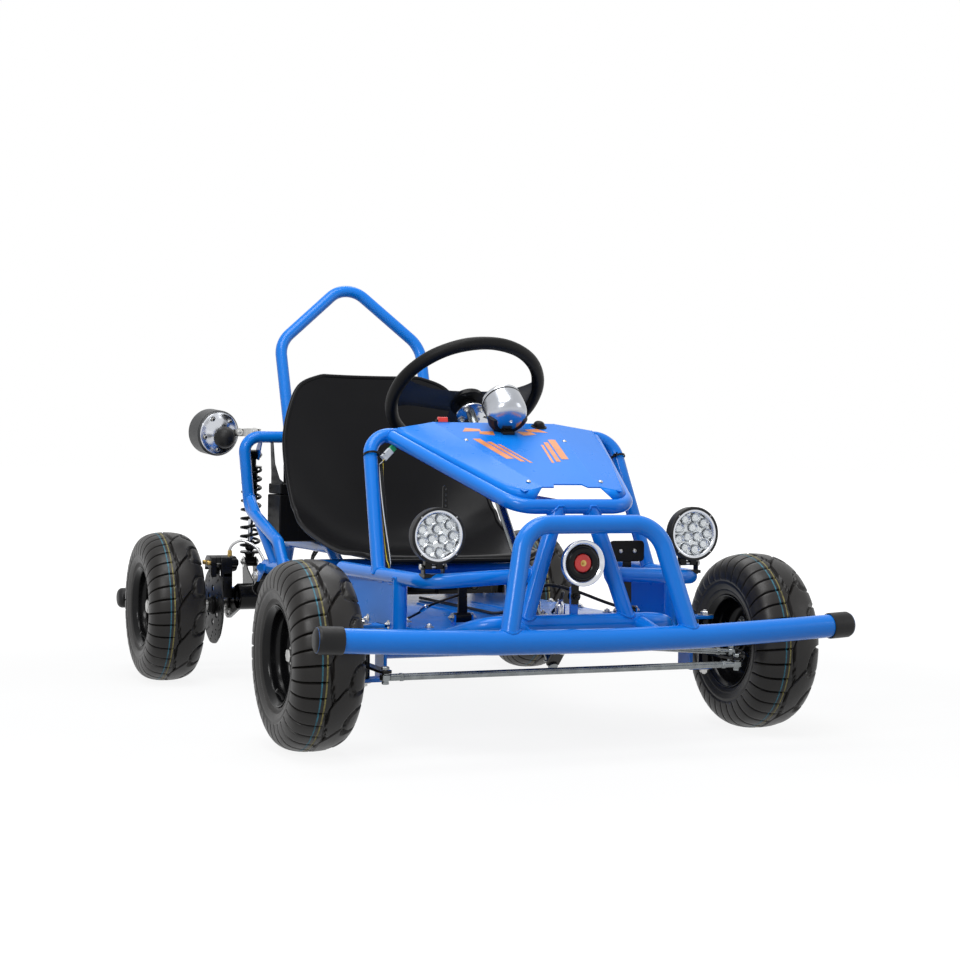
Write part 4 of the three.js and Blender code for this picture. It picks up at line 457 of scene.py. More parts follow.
def weld(start, heading, radius, main_point, main_axis, main_radius, bead=2.2):
    """The bead where a tube that runs from start along heading meets the side of another tube."""
    heading = heading.normalized()
    main_axis = main_axis.normalized()
    points = []
    for place in circle(start, *across(heading), radius, 40):
        offset = place - main_point
        flat_offset = offset - main_axis * offset.dot(main_axis)
        flat_heading = heading - main_axis * heading.dot(main_axis)
        a = flat_heading.dot(flat_heading)
        b = 2 * flat_offset.dot(flat_heading)
        c = flat_offset.dot(flat_offset) - (main_radius * MM) ** 2
        inside = b * b - 4 * a * c
        reach = (-b - math.sqrt(inside)) / (2 * a) if inside > 0 else -b / (2 * a)
        points.append(place + heading * reach)
    return bead_round(points, bead)


def collar(centre, axis, radius, bead=2.0):
    """A bead round a tube's end on a flat plate."""
    return bead_round(circle(centre, *across(axis.normalized()), radius, 40), bead)


def sleeve(centre, axis, half, bore, radius, bevel, sides=32):
    """A short tube with chamfered ends; half is half its length, bevel its chamfer along and inwards."""
    along, inwards = bevel
    profile = [(-half, bore), (-half, radius - inwards), (along - half, radius), (half - along, radius),
               (half, radius - inwards), (half, bore), (-half, bore)]
    return lathe(profile, centre, axis, sides)


def outward_faces(obj):
    """Turns every face of a closed mesh outwards."""
    work = bmesh.new()
    work.from_mesh(obj.data)
    bmesh.ops.recalc_face_normals(work, faces=work.faces)
    work.to_mesh(obj.data)
    work.free()


def mesh_of(name, shape, materials, sharp=35.0, tones=None):
    """A mesh from a shape or a list of shapes; tones gives the number of each face's material."""
    verts, faces = joined(*shape) if isinstance(shape, list) else shape
    mesh = bpy.data.meshes.new(name)
    mesh.from_pydata([tuple(vert) for vert in verts], [], faces)
    for material in materials:
        mesh.materials.append(material)
    if tones is not None:
        mesh.polygons.foreach_set("material_index", tones)
    mesh.polygons.foreach_set("use_smooth", [True] * len(mesh.polygons))
    mesh.set_sharp_from_angle(angle=math.radians(sharp))
    return mesh


def linked(name, data):
    obj = bpy.data.objects.new(name, data)
    bpy.context.scene.collection.objects.link(obj)
    return obj


def settle(obj, body, hides=()):
    """Says which body a piece rides and which nodes it replaces."""
    if body is not None:
        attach(obj, body)
    if hides:
        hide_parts(*hides)


def add(name, shape, body, *materials, bevel=0.0, hides=(), sharp=35.0, slot=None, outward=False):
    """Makes one piece of the scene from a shape; outward turns the faces of a closed one outwards."""
    obj = linked(name, mesh_of(name, shape, materials, sharp))
    if bevel:
        modifier = obj.modifiers.new("edge_round", "BEVEL")
        modifier.width = bevel * MM
        modifier.segments = 2
        modifier.limit_method = "ANGLE"
        modifier.harden_normals = True
    settle(obj, body, hides)
    if outward:
        outward_faces(obj)
    return obj


def thicken(obj, name, thickness):
    modifier = obj.modifiers.new(name, "SOLIDIFY")
    modifier.thickness = thickness * MM
    modifier.offset = 0


def paint(node, material):
    """Gives a CAD node that stays in view its finish."""
    obj = frame["nodes"][node]
    obj.data.materials.clear()
    obj.data.materials.append(material)
    for polygon in obj.data.polygons:
        polygon.material_index = 0


# Frame: tubes of the same radius along the same paths as the solids, with their weld beads

RAIL_TUBE = 16
MAIN_TUBE = 13
FRONT_BAR = 20.6
REAR_BAR = 21
BEAM_Y = 16
BEAM_Z = 171


def mirrored(points, *middle):
    """A path from one side over the middle to its mirror image."""
    return points + list(middle) + [Vector((-point.x, point.y, point.z)) for point in reversed(points)]


column_angle = math.radians(41)
COLUMN_UP = Vector((0, math.sin(column_angle), math.cos(column_angle)))
PITMAN_OUT = Vector((0, -math.cos(column_angle), math.sin(column_angle)))
WHEEL_CENTRE = at(0, 373, 629)


def on_column(along):
    return WHEEL_CENTRE + COLUMN_UP * along * MM


def on_column_at(height):
    return on_column((height - 629) / COLUMN_UP.z)


def lower_frame():
    rails = mirrored([at(258, 872, 262), at(258, 720, 262), at(215, 620, 190), at(215, -60, 190),
                      at(175, -150, 222)])
    seat_front = [at(-215, 520, 190), at(-215, 520, 274), at(215, 520, 274), at(215, 520, 190)]
    along = (at(0, BEAM_Y, BEAM_Z) - WHEEL_CENTRE).dot(COLUMN_UP) / MM
    add("frame_rails", tube(bent(rails, 60), RAIL_TUBE, 28), CHASSIS, paint_blue, hides=["lower_frame"])
    add("frame_cross_tubes", joined(
        tube(bent(seat_front, 22), 11),
        rod(at(-246, 720, 274), at(246, 720, 274), 11),
        rod(at(-246, 815, 262), at(246, 815, 262), MAIN_TUBE),
        rod(at(-303, BEAM_Y, BEAM_Z), at(303, BEAM_Y, BEAM_Z), 19, 32),
        rod(on_column(along - 10), on_column(along + 10), 15),
    ), CHASSIS, paint_blue)
    add("nose_post", block(at(-7, -141, 222), at(7, -134, 284)), CHASSIS, paint_blue, bevel=0.8)
    beads = []
    for _, side in SIDES:
        heading = X_AXIS * side
        beads.append(weld(at(side * 150, 720, 274), heading, 11, at(side * RAIL_X, 720, 262), Y_AXIS,
                          RAIL_TUBE))
        beads.append(weld(at(side * 150, 815, 262), heading, MAIN_TUBE, at(side * RAIL_X, 815, 262),
                          Y_AXIS, RAIL_TUBE))
        beads.append(weld(at(side * 215, 520, 250), -Z_AXIS, 11, at(side * 215, 520, 190),
                          Y_AXIS, RAIL_TUBE))
        beads.append(collar(at(side * 299, BEAM_Y, BEAM_Z), heading, 19.4, 2.4))
    add("frame_welds", beads, CHASSIS, weld_blue)


def yokes():
    for word, side in SIDES:
        arm = [(300, -16), (340, -16)]
        arm += [(340 + 16 * math.sin(a), -16 * math.cos(a)) for a in np.linspace(0.2, math.pi - 0.2, 8)]
        arm += [(338, 18), (300, 32)]
        shapes = [block(at(300, -16, 115), at(306, 32, 215))]
        for low in (115, 209):
            shapes.append(plate([at(x, y, low) for x, y in arm], Z_AXIS * 6 * MM))
        verts, faces = joined(*shapes)
        if side < 0:
            verts = [Vector((-vert.x, vert.y, vert.z)) for vert in verts]
            faces = [tuple(reversed(face)) for face in faces]
        add(f"yoke_{word}", (verts, faces), CHASSIS, paint_blue, bevel=1.2)
        bracket = [(840, 254), (840, 270), (872, 270), (890, 263), (906, 252), (910, 244), (909, 234),
                   (900, 228), (888, 227), (880, 230)]
        plates = [upright(bracket, side * RAIL_X + face * 16.5, 3) for face in (-1, 1)]
        add(f"pivot_bracket_{word}", plates, CHASSIS, paint_blue, bevel=0.7)
        heads = [bolt(at(side * RAIL_X + face * 18, 895, 242), X_AXIS * face, 15, 6) for face in (-1, 1)]
        heads.append(rod(at(side * RAIL_X - 18, 895, 242), at(side * RAIL_X + 18, 895, 242), 6))
        add(f"pivot_bolt_{word}", heads, CHASSIS, zinc)


def front_bumper():
    half = [at(500, -236, 215), at(380, -242, 209.5), at(200, -250, 203)]
    path = mirrored(half, at(0, -250, 201))
    add("bumper_tube_front", tube(bent(path, 480, 40), FRONT_BAR, 32), CHASSIS, paint_blue,
        hides=["front_bumper"])
    hoop = mirrored([at(172, -250, 203), at(125, -207, 396)])
    shapes = [tube(bent(hoop, 58, 10), RAIL_TUBE, 28)]
    beads = []
    for _, side in SIDES:
        foot = at(side * 120, -250, 201)
        top = at(side * 120, -150, 222)
        shapes.append(rod(foot, top, MAIN_TUBE))
        beads.append(weld(top, foot - top, MAIN_TUBE, foot, X_AXIS, FRONT_BAR, 2.6))
        beads.append(weld(foot, top - foot, MAIN_TUBE, top, X_AXIS, RAIL_TUBE, 2.4))
        rise = at(side * 125, -207, 396) - at(side * 172, -250, 203)
        beads.append(weld(at(side * 125, -207, 396), -rise, RAIL_TUBE, at(side * 172, -250, 202.6), X_AXIS,
                          FRONT_BAR, 2.8))
    add("bumper_hoop_and_stays", shapes, CHASSIS, paint_blue)
    add("bumper_welds", beads, CHASSIS, weld_blue)


def bumper_caps():
    profile = [(5.0, 0), (4.8, 8), (3.9, 14), (2.0, 18.2), (-1.2, 21.2), (-5, 22.7), (-8, 23.1),
               (-36, 23.2), (-39.5, 23.2), (-42, 23), (-43, 22.4), (-43, 20.7)]
    for word, side in SIDES:
        ends = {
            f"front_bumper_cap_{word}": (at(side * 500, -236, 215), at(side * 380, -242, 209.5)),
            f"rear_bumper_cap_{word}": (at(side * 500, 1263, 168), at(side * 380, 1263, 168)),
        }
        for node, (end, knee) in ends.items():
            add(f"{node}_rubber", lathe(smooth_profile(profile, 3), end, end - knee, 48), CHASSIS,
                rubber_cap, hides=[node], slot="rubber")


def dash_loop():
    pillars = mirrored([at(274, 104, 295), at(253, 226, 547)])
    loop = mirrored([at(211, 224, 545), at(106, -135, 424)])
    bush = on_column_at(440)
    add("dash_hoop", tube(bent(pillars, 46, 10), MAIN_TUBE, 28), CHASSIS, paint_blue, hides=["dash_loop"])
    add("dash_front_loop", tube(bent(loop, 46, 10), MAIN_TUBE, 28), CHASSIS, paint_blue)
    shapes = [rod(at(0, -135, 424), bush, 8),
              lathe([(-13, 9.6), (-13, 15), (13, 15), (13, 9.6), (-13, 9.6)],
                                                     bush, COLUMN_UP, 32)]
    beads = [weld(bush, at(0, -135, 424) - bush, 8, at(0, -135, 424), X_AXIS, MAIN_TUBE)]
    for _, side in SIDES:
        foot = at(side * 100, -152, 222)
        top = at(side * 31, -135, 424)
        shapes.append(rod(foot, top, 14, 28))
        beads.append(weld(foot, top - foot, 14, top, X_AXIS, MAIN_TUBE, 2.6))
        beads.append(weld(top, foot - top, 14, foot, X_AXIS, RAIL_TUBE, 2.6))
        pillar = at(side * 274, 104, 295) - at(side * 253, 226, 547)
        rail = at(side * 282, 286, 295) - at(side * 262, -112, 295)
        beads.append(weld(at(side * 253, 226, 547), pillar, MAIN_TUBE, at(side * 272.9, 104, 295), rail,
                          MAIN_TUBE, 2.4))
        run = at(side * 106, -135, 424) - at(side * 211, 224, 545)
        beads.append(weld(at(side * 106, -135, 424), -run, MAIN_TUBE, at(side * 211, 226, 547), X_AXIS,
                          MAIN_TUBE))
    add("dash_stays_and_strut", shapes, CHASSIS, paint_blue)
    add("dash_welds", beads, CHASSIS, weld_blue)


def side_rails():
    for word, side in SIDES:
        corners = [at(side * 282, 286, 295), at(side * 262, -112, 295), at(side * 76, -129, 305)]
        nose = corners[2]
        stay_axis = at(side * 31, -135, 424) - at(side * 100, -152, 222)
        share = (305 - 222) / (424 - 222)
        stay_point = at(side * 100, -152, 222) + stay_axis * share
        shapes = [tube(bent(corners, 56, 10), MAIN_TUBE, 28),
                  rod(at(side * 270, 5, 171), at(side * 270, 5, 295), MAIN_TUBE)]
        add(f"side_rail_tube_{word}", shapes, CHASSIS, paint_blue, hides=[f"side_rail_{word}"])
        gusset = [(5, 190), (5, 295), (286, 295), (294, 292), (300, 284), (300, 275), (296, 266),
                  (202, 193), (196, 190)]
        tabs = []
        outline = [(-102, 300), (-102, 318), (-99, 322.5), (-95, 324), (-91, 322.5), (-88, 318), (-88, 300)]
        for face in (-1, 1):
            tabs.append(upright(outline, side * LAMP_X + face * 18, 3))
        tabs.append(block(at(side * LAMP_X - 21, -109, 302), at(side * LAMP_X + 21, -81, 308)))
        add(f"gusset_plate_{word}", upright(gusset, side * 276, 3), CHASSIS, plate_blue, bevel=0.9)
        add(f"lamp_tabs_{word}", tabs, CHASSIS, paint_black, bevel=0.8)
        rail = at(side * 282, 286, 295) - at(side * 262, -112, 295)
        beads = [
            weld(at(side * 200, -123, 300), nose - at(side * 262, -112, 295), MAIN_TUBE, stay_point,
                 stay_axis, 14, 2.4),
            weld(at(side * 270, 5, 240), Z_AXIS, MAIN_TUBE, at(side * 267.9, 5, 295), rail, MAIN_TUBE),
            weld(at(side * 270, 5, 240), -Z_AXIS, MAIN_TUBE, at(side * 270, BEAM_Y, BEAM_Z), X_AXIS, 19,
                 2.4),
        ]
        for y in range(20, 280, 52):
            beads.append(rod(at(side * 277.6, y, 283.2), at(side * 277.8, y + 24, 283.2), 1.7, 8))
        add(f"side_rail_welds_{word}", beads, CHASSIS, weld_blue)
        screws = [bolt(at(side * 277.5, y, z), X_AXIS * side, 8, 4)
                  for y, z in ((150, 212), (246, 262), (40, 210))]
        screws.append(bolt(at(side * 282.8, 274, 295), Y_AXIS, 12, 5, stub=2))
        add(f"gusset_screws_{word}", screws, CHASSIS, zinc)


def rear_hoop():
    half = [at(262, 728, 262), at(262, 778, 320), at(264, 1000, 385), at(279, 1000, 545)]
    add("rear_hoop_tube", tube(bent(mirrored(half), 34, 10), MAIN_TUBE, 28), CHASSIS, paint_blue,
        hides=["rear_hoop"])
    shapes = []
    beads = []
    ears = []
    pins = []
    for _, side in SIDES:
        top = at(side * 264, 1000, 412)
        foot = at(side * RAIL_X, 800, 262)
        shapes.append(rod(top, foot, 11))
        beads.append(weld(top, foot - top, 11, foot, Y_AXIS, RAIL_TUBE))
        beads.append(weld(foot, top - foot, 11, top, Vector((0.06, 0, 1)), MAIN_TUBE))
        beads.append(weld(at(side * 262, 778, 320), at(0, 728, 262) - at(0, 778, 320), MAIN_TUBE,
                          at(side * RAIL_X, 728, 262), Y_AXIS, RAIL_TUBE))
        outline = [(1000, 532), (1000, 551), (1012, 545), (1042, 519), (1046, 511), (1046, 500),
                   (1040, 494), (1028, 493), (1020, 499)]
        ears += [upright(outline, side * SHOCK_X + face * 11.8, 3) for face in (-1, 1)]
        pins += [bolt(at(side * SHOCK_X + face * 13.3, 1034, 505), X_AXIS * face, 14, 5)
                 for face in (-1, 1)]
        pins.append(rod(at(side * SHOCK_X - 13, 1034, 505), at(side * SHOCK_X + 13, 1034, 505), 6))
    add("rear_hoop_braces", shapes, CHASSIS, paint_blue)
    add("rear_hoop_welds", beads, CHASSIS, weld_blue)
    add("shock_ears", ears, CHASSIS, paint_blue, bevel=0.7)
    add("shock_ear_bolts", pins, CHASSIS, zinc)


def roll_bar():
    half = [at(170, 1000, 545), at(172, 1080, 762)]
    path = mirrored(half, at(0, 1120, 910))
    add("roll_bar_tube", tube(bent(path, [70, 62, 70], 12), 13.4, 28), CHASSIS, paint_blue,
        hides=["roll_bar"])
    beads = []
    for _, side in SIDES:
        foot = at(side * 170, 1000, 545)
        shoulder = at(side * 172, 1080, 762)
        beads.append(weld(shoulder, foot - shoulder, 13.6, foot, X_AXIS, MAIN_TUBE, 2.4))
    add("roll_bar_welds", beads, CHASSIS, weld_blue)


def rear_bumper():
    add("bumper_tube_rear", rod(at(-499, 1263, 168), at(499, 1263, 168), REAR_BAR, 32), CHASSIS, paint_blue,
        hides=["rear_bumper"])
    shapes = []
    beads = []
    for _, side in SIDES:
        corners = [at(side * 110, 815, 262), at(side * 110, 880, 300), at(side * 110, 1190, 300),
                   at(side * 110, 1263, 168)]
        shapes.append(tube(bent(corners, 34, 10), MAIN_TUBE, 28))
        beads.append(weld(corners[2], corners[3] - corners[2], MAIN_TUBE, corners[3], X_AXIS, REAR_BAR,
                          2.6))
        beads.append(weld(corners[1], corners[0] - corners[1], MAIN_TUBE, corners[0], X_AXIS, MAIN_TUBE))
    add("tray_tubes", shapes, CHASSIS, paint_blue)
    add("tray_welds", beads, CHASSIS, weld_blue)


def floor_fittings():
    paint("floor_pan", pan_blue)
    screws = []
    for _, side in SIDES:
        screws += [bolt(at(side * 224, y, 208.6), Z_AXIS, 9, 4, stub=2)
                   for y in (-20, 90, 180, 300, 440, 600)]
    for x, y, z in ((-150, 8, 222), (150, -46, 232)):
        screws += [bolt(at(x + face * 18.6, y, z), X_AXIS * face, 9, 4) for face in (-1, 1)]
    add("floor_screws", screws, CHASSIS, zinc)
    ridges = [tube([at(x, 230, 208.2), at(x, 470, 208.2)], 2.2, 12) for x in (-60, 60)]
    add("floor_ribs", ridges, CHASSIS, pan_blue)


pan_blue = surface("blue_floor_paint", BLUE, 0.22, patch=4.0, spread=0.1, grain=9.0, bump=0.3, depth=0.004,
                   coat=0.05, shine=0.2)
lower_frame()
yokes()
front_bumper()
bumper_caps()
dash_loop()
side_rails()
rear_hoop()
roll_bar()
rear_bumper()
floor_fittings()


# Hood: a folded plate with a stepped rear edge, a notch in front and an orange design of plain shapes

HOOD_FRONT = (-122, 458)
HOOD_REAR = (223, 573)
HOOD_RUN = HOOD_REAR[0] - HOOD_FRONT[0]
HOOD_RISE = HOOD_REAR[1] - HOOD_FRONT[1]
HOOD_NORMAL = direction(0, -HOOD_RISE, HOOD_RUN)
HOOD_THICKNESS = 2.5


def cut_plate(outline, holes, offset):
    """A plate with holes: outline and holes are lists of points in one plane."""
    work = bmesh.new()
    edges = []
    for loop in [outline] + holes:
        corners = [work.verts.new(point) for point in loop]
        edges += [work.edges.new(pair) for pair in zip(corners, corners[1:] + corners[:1])]
    bmesh.ops.triangle_fill(work, use_beauty=True, edges=edges, normal=offset.normalized())
    work.verts.index_update()
    flat = [vert.co.copy() for vert in work.verts]
    triangles = [[vert.index for vert in face.verts] for face in work.faces]
    rims = [[vert.index for vert in edge.verts] for edge in work.edges if len(edge.link_faces) == 1]
    work.free()
    count = len(flat)
    verts = flat + [point + offset for point in flat]
    faces = [tuple(face) for face in triangles]
    faces += [tuple(index + count for index in reversed(face)) for face in triangles]
    faces += [(a, b, b + count, a + count) for a, b in rims]
    return verts, faces


def hood_z(y):
    return HOOD_FRONT[1] + HOOD_RISE * (y - HOOD_FRONT[0]) / HOOD_RUN


def on_hood(x, y, lift=0.0):
    """A place on the hood's middle panel."""
    return at(x, y, hood_z(y)) + HOOD_NORMAL * lift * MM


def spaced(points, count):
    """The same path as points, as count points at even steps."""
    steps = [(points[i + 1] - points[i]).length for i in range(len(points) - 1)]
    run = [0.0] + list(np.cumsum(steps))
    places = np.linspace(0, run[-1], count)
    columns = [np.interp(places, run, [point[k] for point in points]) for k in range(3)]
    return [Vector(place) for place in zip(*columns)]


def hood():
    down = HOOD_NORMAL * -HOOD_THICKNESS * MM
    button_hole = []
    for k in range(28):
        angle = 2 * math.pi * k / 28
        button_hole.append(on_hood(84 + 12.3 * math.cos(angle), 202 + 11.7 * math.sin(angle)))
    outline = [on_hood(-126, 223), on_hood(126, 223), on_hood(55, -122), on_hood(33, -122),
               on_hood(27, -108), on_hood(-27, -108), on_hood(-33, -122), on_hood(-55, -122)]
    add("hood_panel", cut_plate(outline, [button_hole], down), CHASSIS, plate_blue,
        bevel=0.4, hides=["hood"], slot="blue_paint", outward=True)
    for word, side in SIDES:
        inner = [at(side * 126, 223, 573), at(side * 55, -122, 458)]
        rear = at(side * 200, 210, 561)
        front = at(side * 93, -128.5, 440.7)
        middle_edge = (rear + front) / 2 + Vector((side * 9 * MM, 0, 3 * MM))
        corners = [inner[0], at(side * 150, 219, 567), rear, middle_edge, front, inner[1]]
        normal = (rear - inner[0]).cross(inner[1] - inner[0]).normalized()
        if normal.z < 0:
            normal = -normal
        flat = [point - normal * (point - inner[0]).dot(normal) for point in corners]
        add(f"hood_wing_{word}", cut_plate(flat, [], normal * -HOOD_THICKNESS * MM), CHASSIS, plate_blue,
            bevel=0.4, outward=True)
        fold = [point + (HOOD_NORMAL + normal) * -0.625 * MM for point in inner]
        add(f"hood_fold_{word}", tube(fold, 1.3, 16), CHASSIS, plate_blue)
        rail = bent([at(side * 207.5, 212, 540.8), at(side * 106, -135, 424), at(0, -135, 424)], 46, 10)
        rail = [point + Vector((side * 2 * MM, 0, 11.5 * MM)) for point in rail[:-1]]
        top = spaced(flat[2:], 16)
        low = spaced(rail + [at(side * 76, -137, 435.5)], 16)
        strip = [(i, i + 1, i + 17, i + 16) for i in range(15)]
        lip = add(f"hood_lip_{word}", (top + low, strip), CHASSIS, plate_blue)
        thicken(lip, "lip_thickness", 2)
    screws = []
    for _, side in SIDES:
        screws += [dome(on_hood(side * x, y, 0.2), HOOD_NORMAL, 4.2, 2.6)
                   for x, y in ((70, -96), (100, 120))]
    add("hood_screws", screws, CHASSIS, zinc)


def hood_design():
    """Slanted bars and angular flashes in orange film, all of them plain shapes."""
    film = HOOD_NORMAL * 0.35 * MM
    shapes = []
    outlines = [[(x, low), (x + width, low), (x + width - 22, high), (x - 22, high)]
                for x, width, low, high in ((-62, 15, 20, 128), (-40, 9, 6, 112), (-24, 5, 0, 98))]
    outlines.append([(30, 150), (58, 156), (52, 172), (88, 168), (74, 190), (46, 184), (50, 170),
                     (24, 172)])
    for outline in outlines:
        for flip in (1, -1):
            shapes.append(plate([on_hood(flip * x, y, 0.02) for x, y in outline], film))
    add("hood_orange_design", shapes, CHASSIS, orange_film, outward=True)


def switches():
    housing = [block(at(-118.3, 218, 563), at(-91.7, 233.3, 571.8))]
    for face in (-1, 1):
        x = -105 + face * 11.8
        housing.append(block(at(x - 1.5, 223.3, 563), at(x + 1.5, 233.3, 578)))
    add("switch_housing", housing, CHASSIS, plastic_black, bevel=0.7)
    rocker = []
    for k in range(9):
        angle = math.radians(-32 + 8 * k)
        rocker.append((228.3 + 6.2 * math.sin(angle) * 0.8, 573 + 9.6 * math.cos(angle)))
    outline = [(223.4, 573)] + rocker + [(233.2, 573)]
    add("kill_rocker", upright(outline, -105, 20), "kill_switch", red_plastic, bevel=0.6,
        hides=["kill_switch"], slot="red_plastic")
    base = on_hood(84, 202)
    knob = [(-8, 0), (-8, 11.6), (0.3, 11.6), (3, 11.4), (6.5, 10.6), (9, 9), (10.6, 7), (11.6, 4), (12, 0)]
    add("start_knob", lathe(smooth_profile(knob, 3), base, HOOD_NORMAL, 40), "start_button", plastic_black,
        hides=["start_button"], slot="black_plastic")
    ring = [(0.2, 12.4), (0.2, 15.4), (1.6, 15.2), (2.2, 14), (2.2, 12.4), (0.2, 12.4)]
    add("start_button_ring", lathe(ring, base, HOOD_NORMAL, 40), CHASSIS, plastic_black)


def speedometer():
    axis = direction(0, 0.76, 0.65)
    low = at(0, 150, 580)
    cup = [(-9, 0), (-8.6, 9), (-7, 18), (-3.6, 26), (1.6, 32.4), (8.4, 36.6), (17, 38.4), (28, 39),
           (46, 39)]
    add("speedometer_bowl", lathe(smooth_profile(cup, 4), low, axis, 64), CHASSIS, soft_chrome,
        hides=["speedometer"], slot="chrome")
    seam = [(45.4, 36), (45.4, 39.1), (46.6, 39.6), (48.4, 39.6), (49.4, 39), (49.4, 36)]
    add("speedometer_gasket", lathe(seam, low, axis, 64), CHASSIS, rubber_cap)
    bezel = [(49, 36), (49, 39), (54, 39), (56.4, 37.6), (57.4, 34.8), (57, 31.4), (54.6, 30)]
    add("speedometer_bezel", lathe(smooth_profile(bezel, 3), low, axis, 64), CHASSIS, chrome)
    glass = [(54.8, 30), (56.4, 28), (57.6, 22), (58.2, 14), (58.4, 0)]
    add("speedometer_glass", lathe(smooth_profile(glass, 4), low, axis, 48), CHASSIS, clear_lens)
    add("speedometer_dial", lathe([(50.5, 0), (51, 33), (50, 33), (50, 0)], low, axis, 48), CHASSIS,
        dial_white)
    first, second = across(axis)
    ticks = []
    for k in range(25):
        angle = math.radians(-30 + 240 * k / 24)
        out = first * math.cos(angle) + second * math.sin(angle)
        inner = 22.6 if k % 3 else 20.6
        start = low + axis * 51.3 * MM
        ticks.append(tube([start + out * inner * MM, start + out * 26.2 * MM], 0.45 if k % 3 else 0.75, 6))
    needle = first * math.cos(0.2) + second * math.sin(0.2)
    start = low + axis * 52.4 * MM
    ticks.append(tube([start - needle * 5 * MM, start + needle * 21 * MM], lambda i: 1.0 - 0.6 * i, 8))
    ticks.append(dome(start - axis * 1 * MM, axis, 4.2, 2.8))
    add("speedometer_scale", ticks, CHASSIS, plastic_black)
    down = (-Z_AXIS + axis * axis.z).normalized()
    cradle = []
    for k in range(25):
        turn = math.radians(-86 + 172 * k / 24)
        out = down * math.cos(turn) + X_AXIS * math.sin(turn)
        cradle.append([low + (axis * step + out * reach) * MM
                       for step, reach in ((-4, 25), (-4, 32), (1, 38), (9, 40.4), (11.4, 40), (11.4, 36))])
    verts = [point for ring in cradle for point in ring]
    faces = []
    for k in range(len(cradle) - 1):
        for j in range(6):
            a = k * 6 + j
            b = k * 6 + (j + 1) % 6
            faces.append((a, b, b + 6, a + 6))
    faces.append((0, 1, 2, 3, 4, 5))
    faces.append(tuple(len(verts) - 1 - j for j in range(6)))
    add("speedometer_cradle", (verts, faces), CHASSIS, rubber_cap, outward=True)
    corners = [on_hood(x, y, 0.2) for x, y in ((-12, 152), (12, 152), (12, 178), (-12, 178))]
    add("speedometer_foot", plate(corners, HOOD_NORMAL * 5 * MM), CHASSIS, rubber_cap, bevel=1.2)
    nut = joined(lathe([(-6.4, 0), (-6.4, 8.6), (-5, 9), (-4, 9)], low, axis, 32),
                 bolt(low - axis * 6 * MM, -axis, 7.4, 3.4, washer=False, stub=2))
    add("speedometer_bolt", nut, CHASSIS, chrome)


hood()
hood_design()
switches()
speedometer()


# Seat: one moulded shell with a rolled rim

SEAT_ROWS = ((0, .024, .66, 0), (.025, .045, .8, .02), (.09, .03, .88, .06), (.19, .004, .93, .11),
             (.38, 0, .96, .19), (.575, 0, .99, .3), (.69, .035, 1, .36), (.77, .124, 1, .36),
             (.82, .264, 1, .28), (.863, .455, 1, .19), (.9, .633, .98, .14), (.943, .811, .88, .1),
             (.981, .938, .74, .06), (1, 1, .5, .02))


SEAT_HALF_WIDTH = 228
SEAT_BOWL = 2.4


def seat():
    """Each row of SEAT_ROWS is the share along, the share up, the width and the lift of the sides."""
    stations = curve(SEAT_ROWS, 7)
    count = len(stations)
    across_steps = 48
    middles = [at(0, 418 + along * 526, 289.4 + up * 393) for along, up, _, _ in stations]
    inner = []
    outer = []
    for i in range(count):
        tangent = (middles[min(count - 1, i + 1)] - middles[max(0, i - 1)]).normalized()
        normal = Vector((0, -tangent.z, tangent.y))
        half = SEAT_HALF_WIDTH * stations[i][2]
        lift = SEAT_HALF_WIDTH * stations[i][3]
        for j in range(across_steps + 1):
            share = 1 - 2 * j / across_steps
            point = middles[i] + normal * lift * abs(share) ** SEAT_BOWL * MM
            point.x = half * share * MM
            slope = SEAT_BOWL * lift * math.copysign(abs(share) ** (SEAT_BOWL - 1), share) / half
            outward = (-normal + Vector((slope, 0, 0))).normalized()
            inner.append(point)
            outer.append(point + outward * 5.4 * MM)
    width = across_steps + 1
    base = len(inner)
    faces = []
    for i in range(count - 1):
        for j in range(across_steps):
            a = i * width + j
            faces.append((a, a + width, a + width + 1, a + 1))
            faces.append((base + a, base + a + 1, base + a + width + 1, base + a + width))
    border = list(range(width))
    border += [i * width + across_steps for i in range(1, count)]
    border += [(count - 1) * width + j for j in range(across_steps - 1, -1, -1)]
    border += [i * width for i in range(count - 2, 0, -1)]
    for a, b in zip(border, border[1:] + border[:1]):
        faces.append((a, b, base + b, base + a))
    add("seat_moulding", (inner + outer, faces), CHASSIS, plastic_seat, hides=["seat_shell"],
        slot="black_plastic", sharp=60, outward=True)
    rim = [(inner[k] + outer[k]) / 2 for k in border]
    rounded = [(rim[k - 1] + rim[k] + rim[(k + 1) % len(rim)]) / 3 for k in range(len(rim))]
    add("seat_rolled_rim", tube(rounded, 5.2, 14, closed=True), CHASSIS, plastic_seat)


def seat_bolts():
    shapes = [dome(at(x, y, 290.6), Z_AXIS, 9, 3.2) for y in (520, 720) for x in (-95, 95)]
    add("seat_bolts", shapes, CHASSIS, zinc)


seat()
seat_bolts()


# Wheels

TYRE_CELLS = 36
CELL_STEPS = 12
CYAN_AT = 25.5
GROOVE_START = 0.085
YELLOW_AT = 17.5
TYRE_PROFILE = ((47, 79.4), (50.5, 84), (54.5, 91), (58.6, 101), (61.4, 112), (62, 122), (60.8, 132),
                (57.6, 141.5), (53, 149), (46.5, 155), (37, 159.8), (25, 163), (12, 164.6), (0, 165))


def step_up(value, low, high):
    share = min(1.0, max(0.0, (value - low) / (high - low)))
    return share * share * (3 - 2 * share)


def groove(distance, half_width, edge):
    """1 in the middle of a groove, 0 outside it."""
    return 1 - step_up(distance, half_width, half_width + edge)


def wrapped(value, period):
    """The distance from value to the nearest whole number of periods."""
    share = value / period
    return abs(share - round(share)) * period


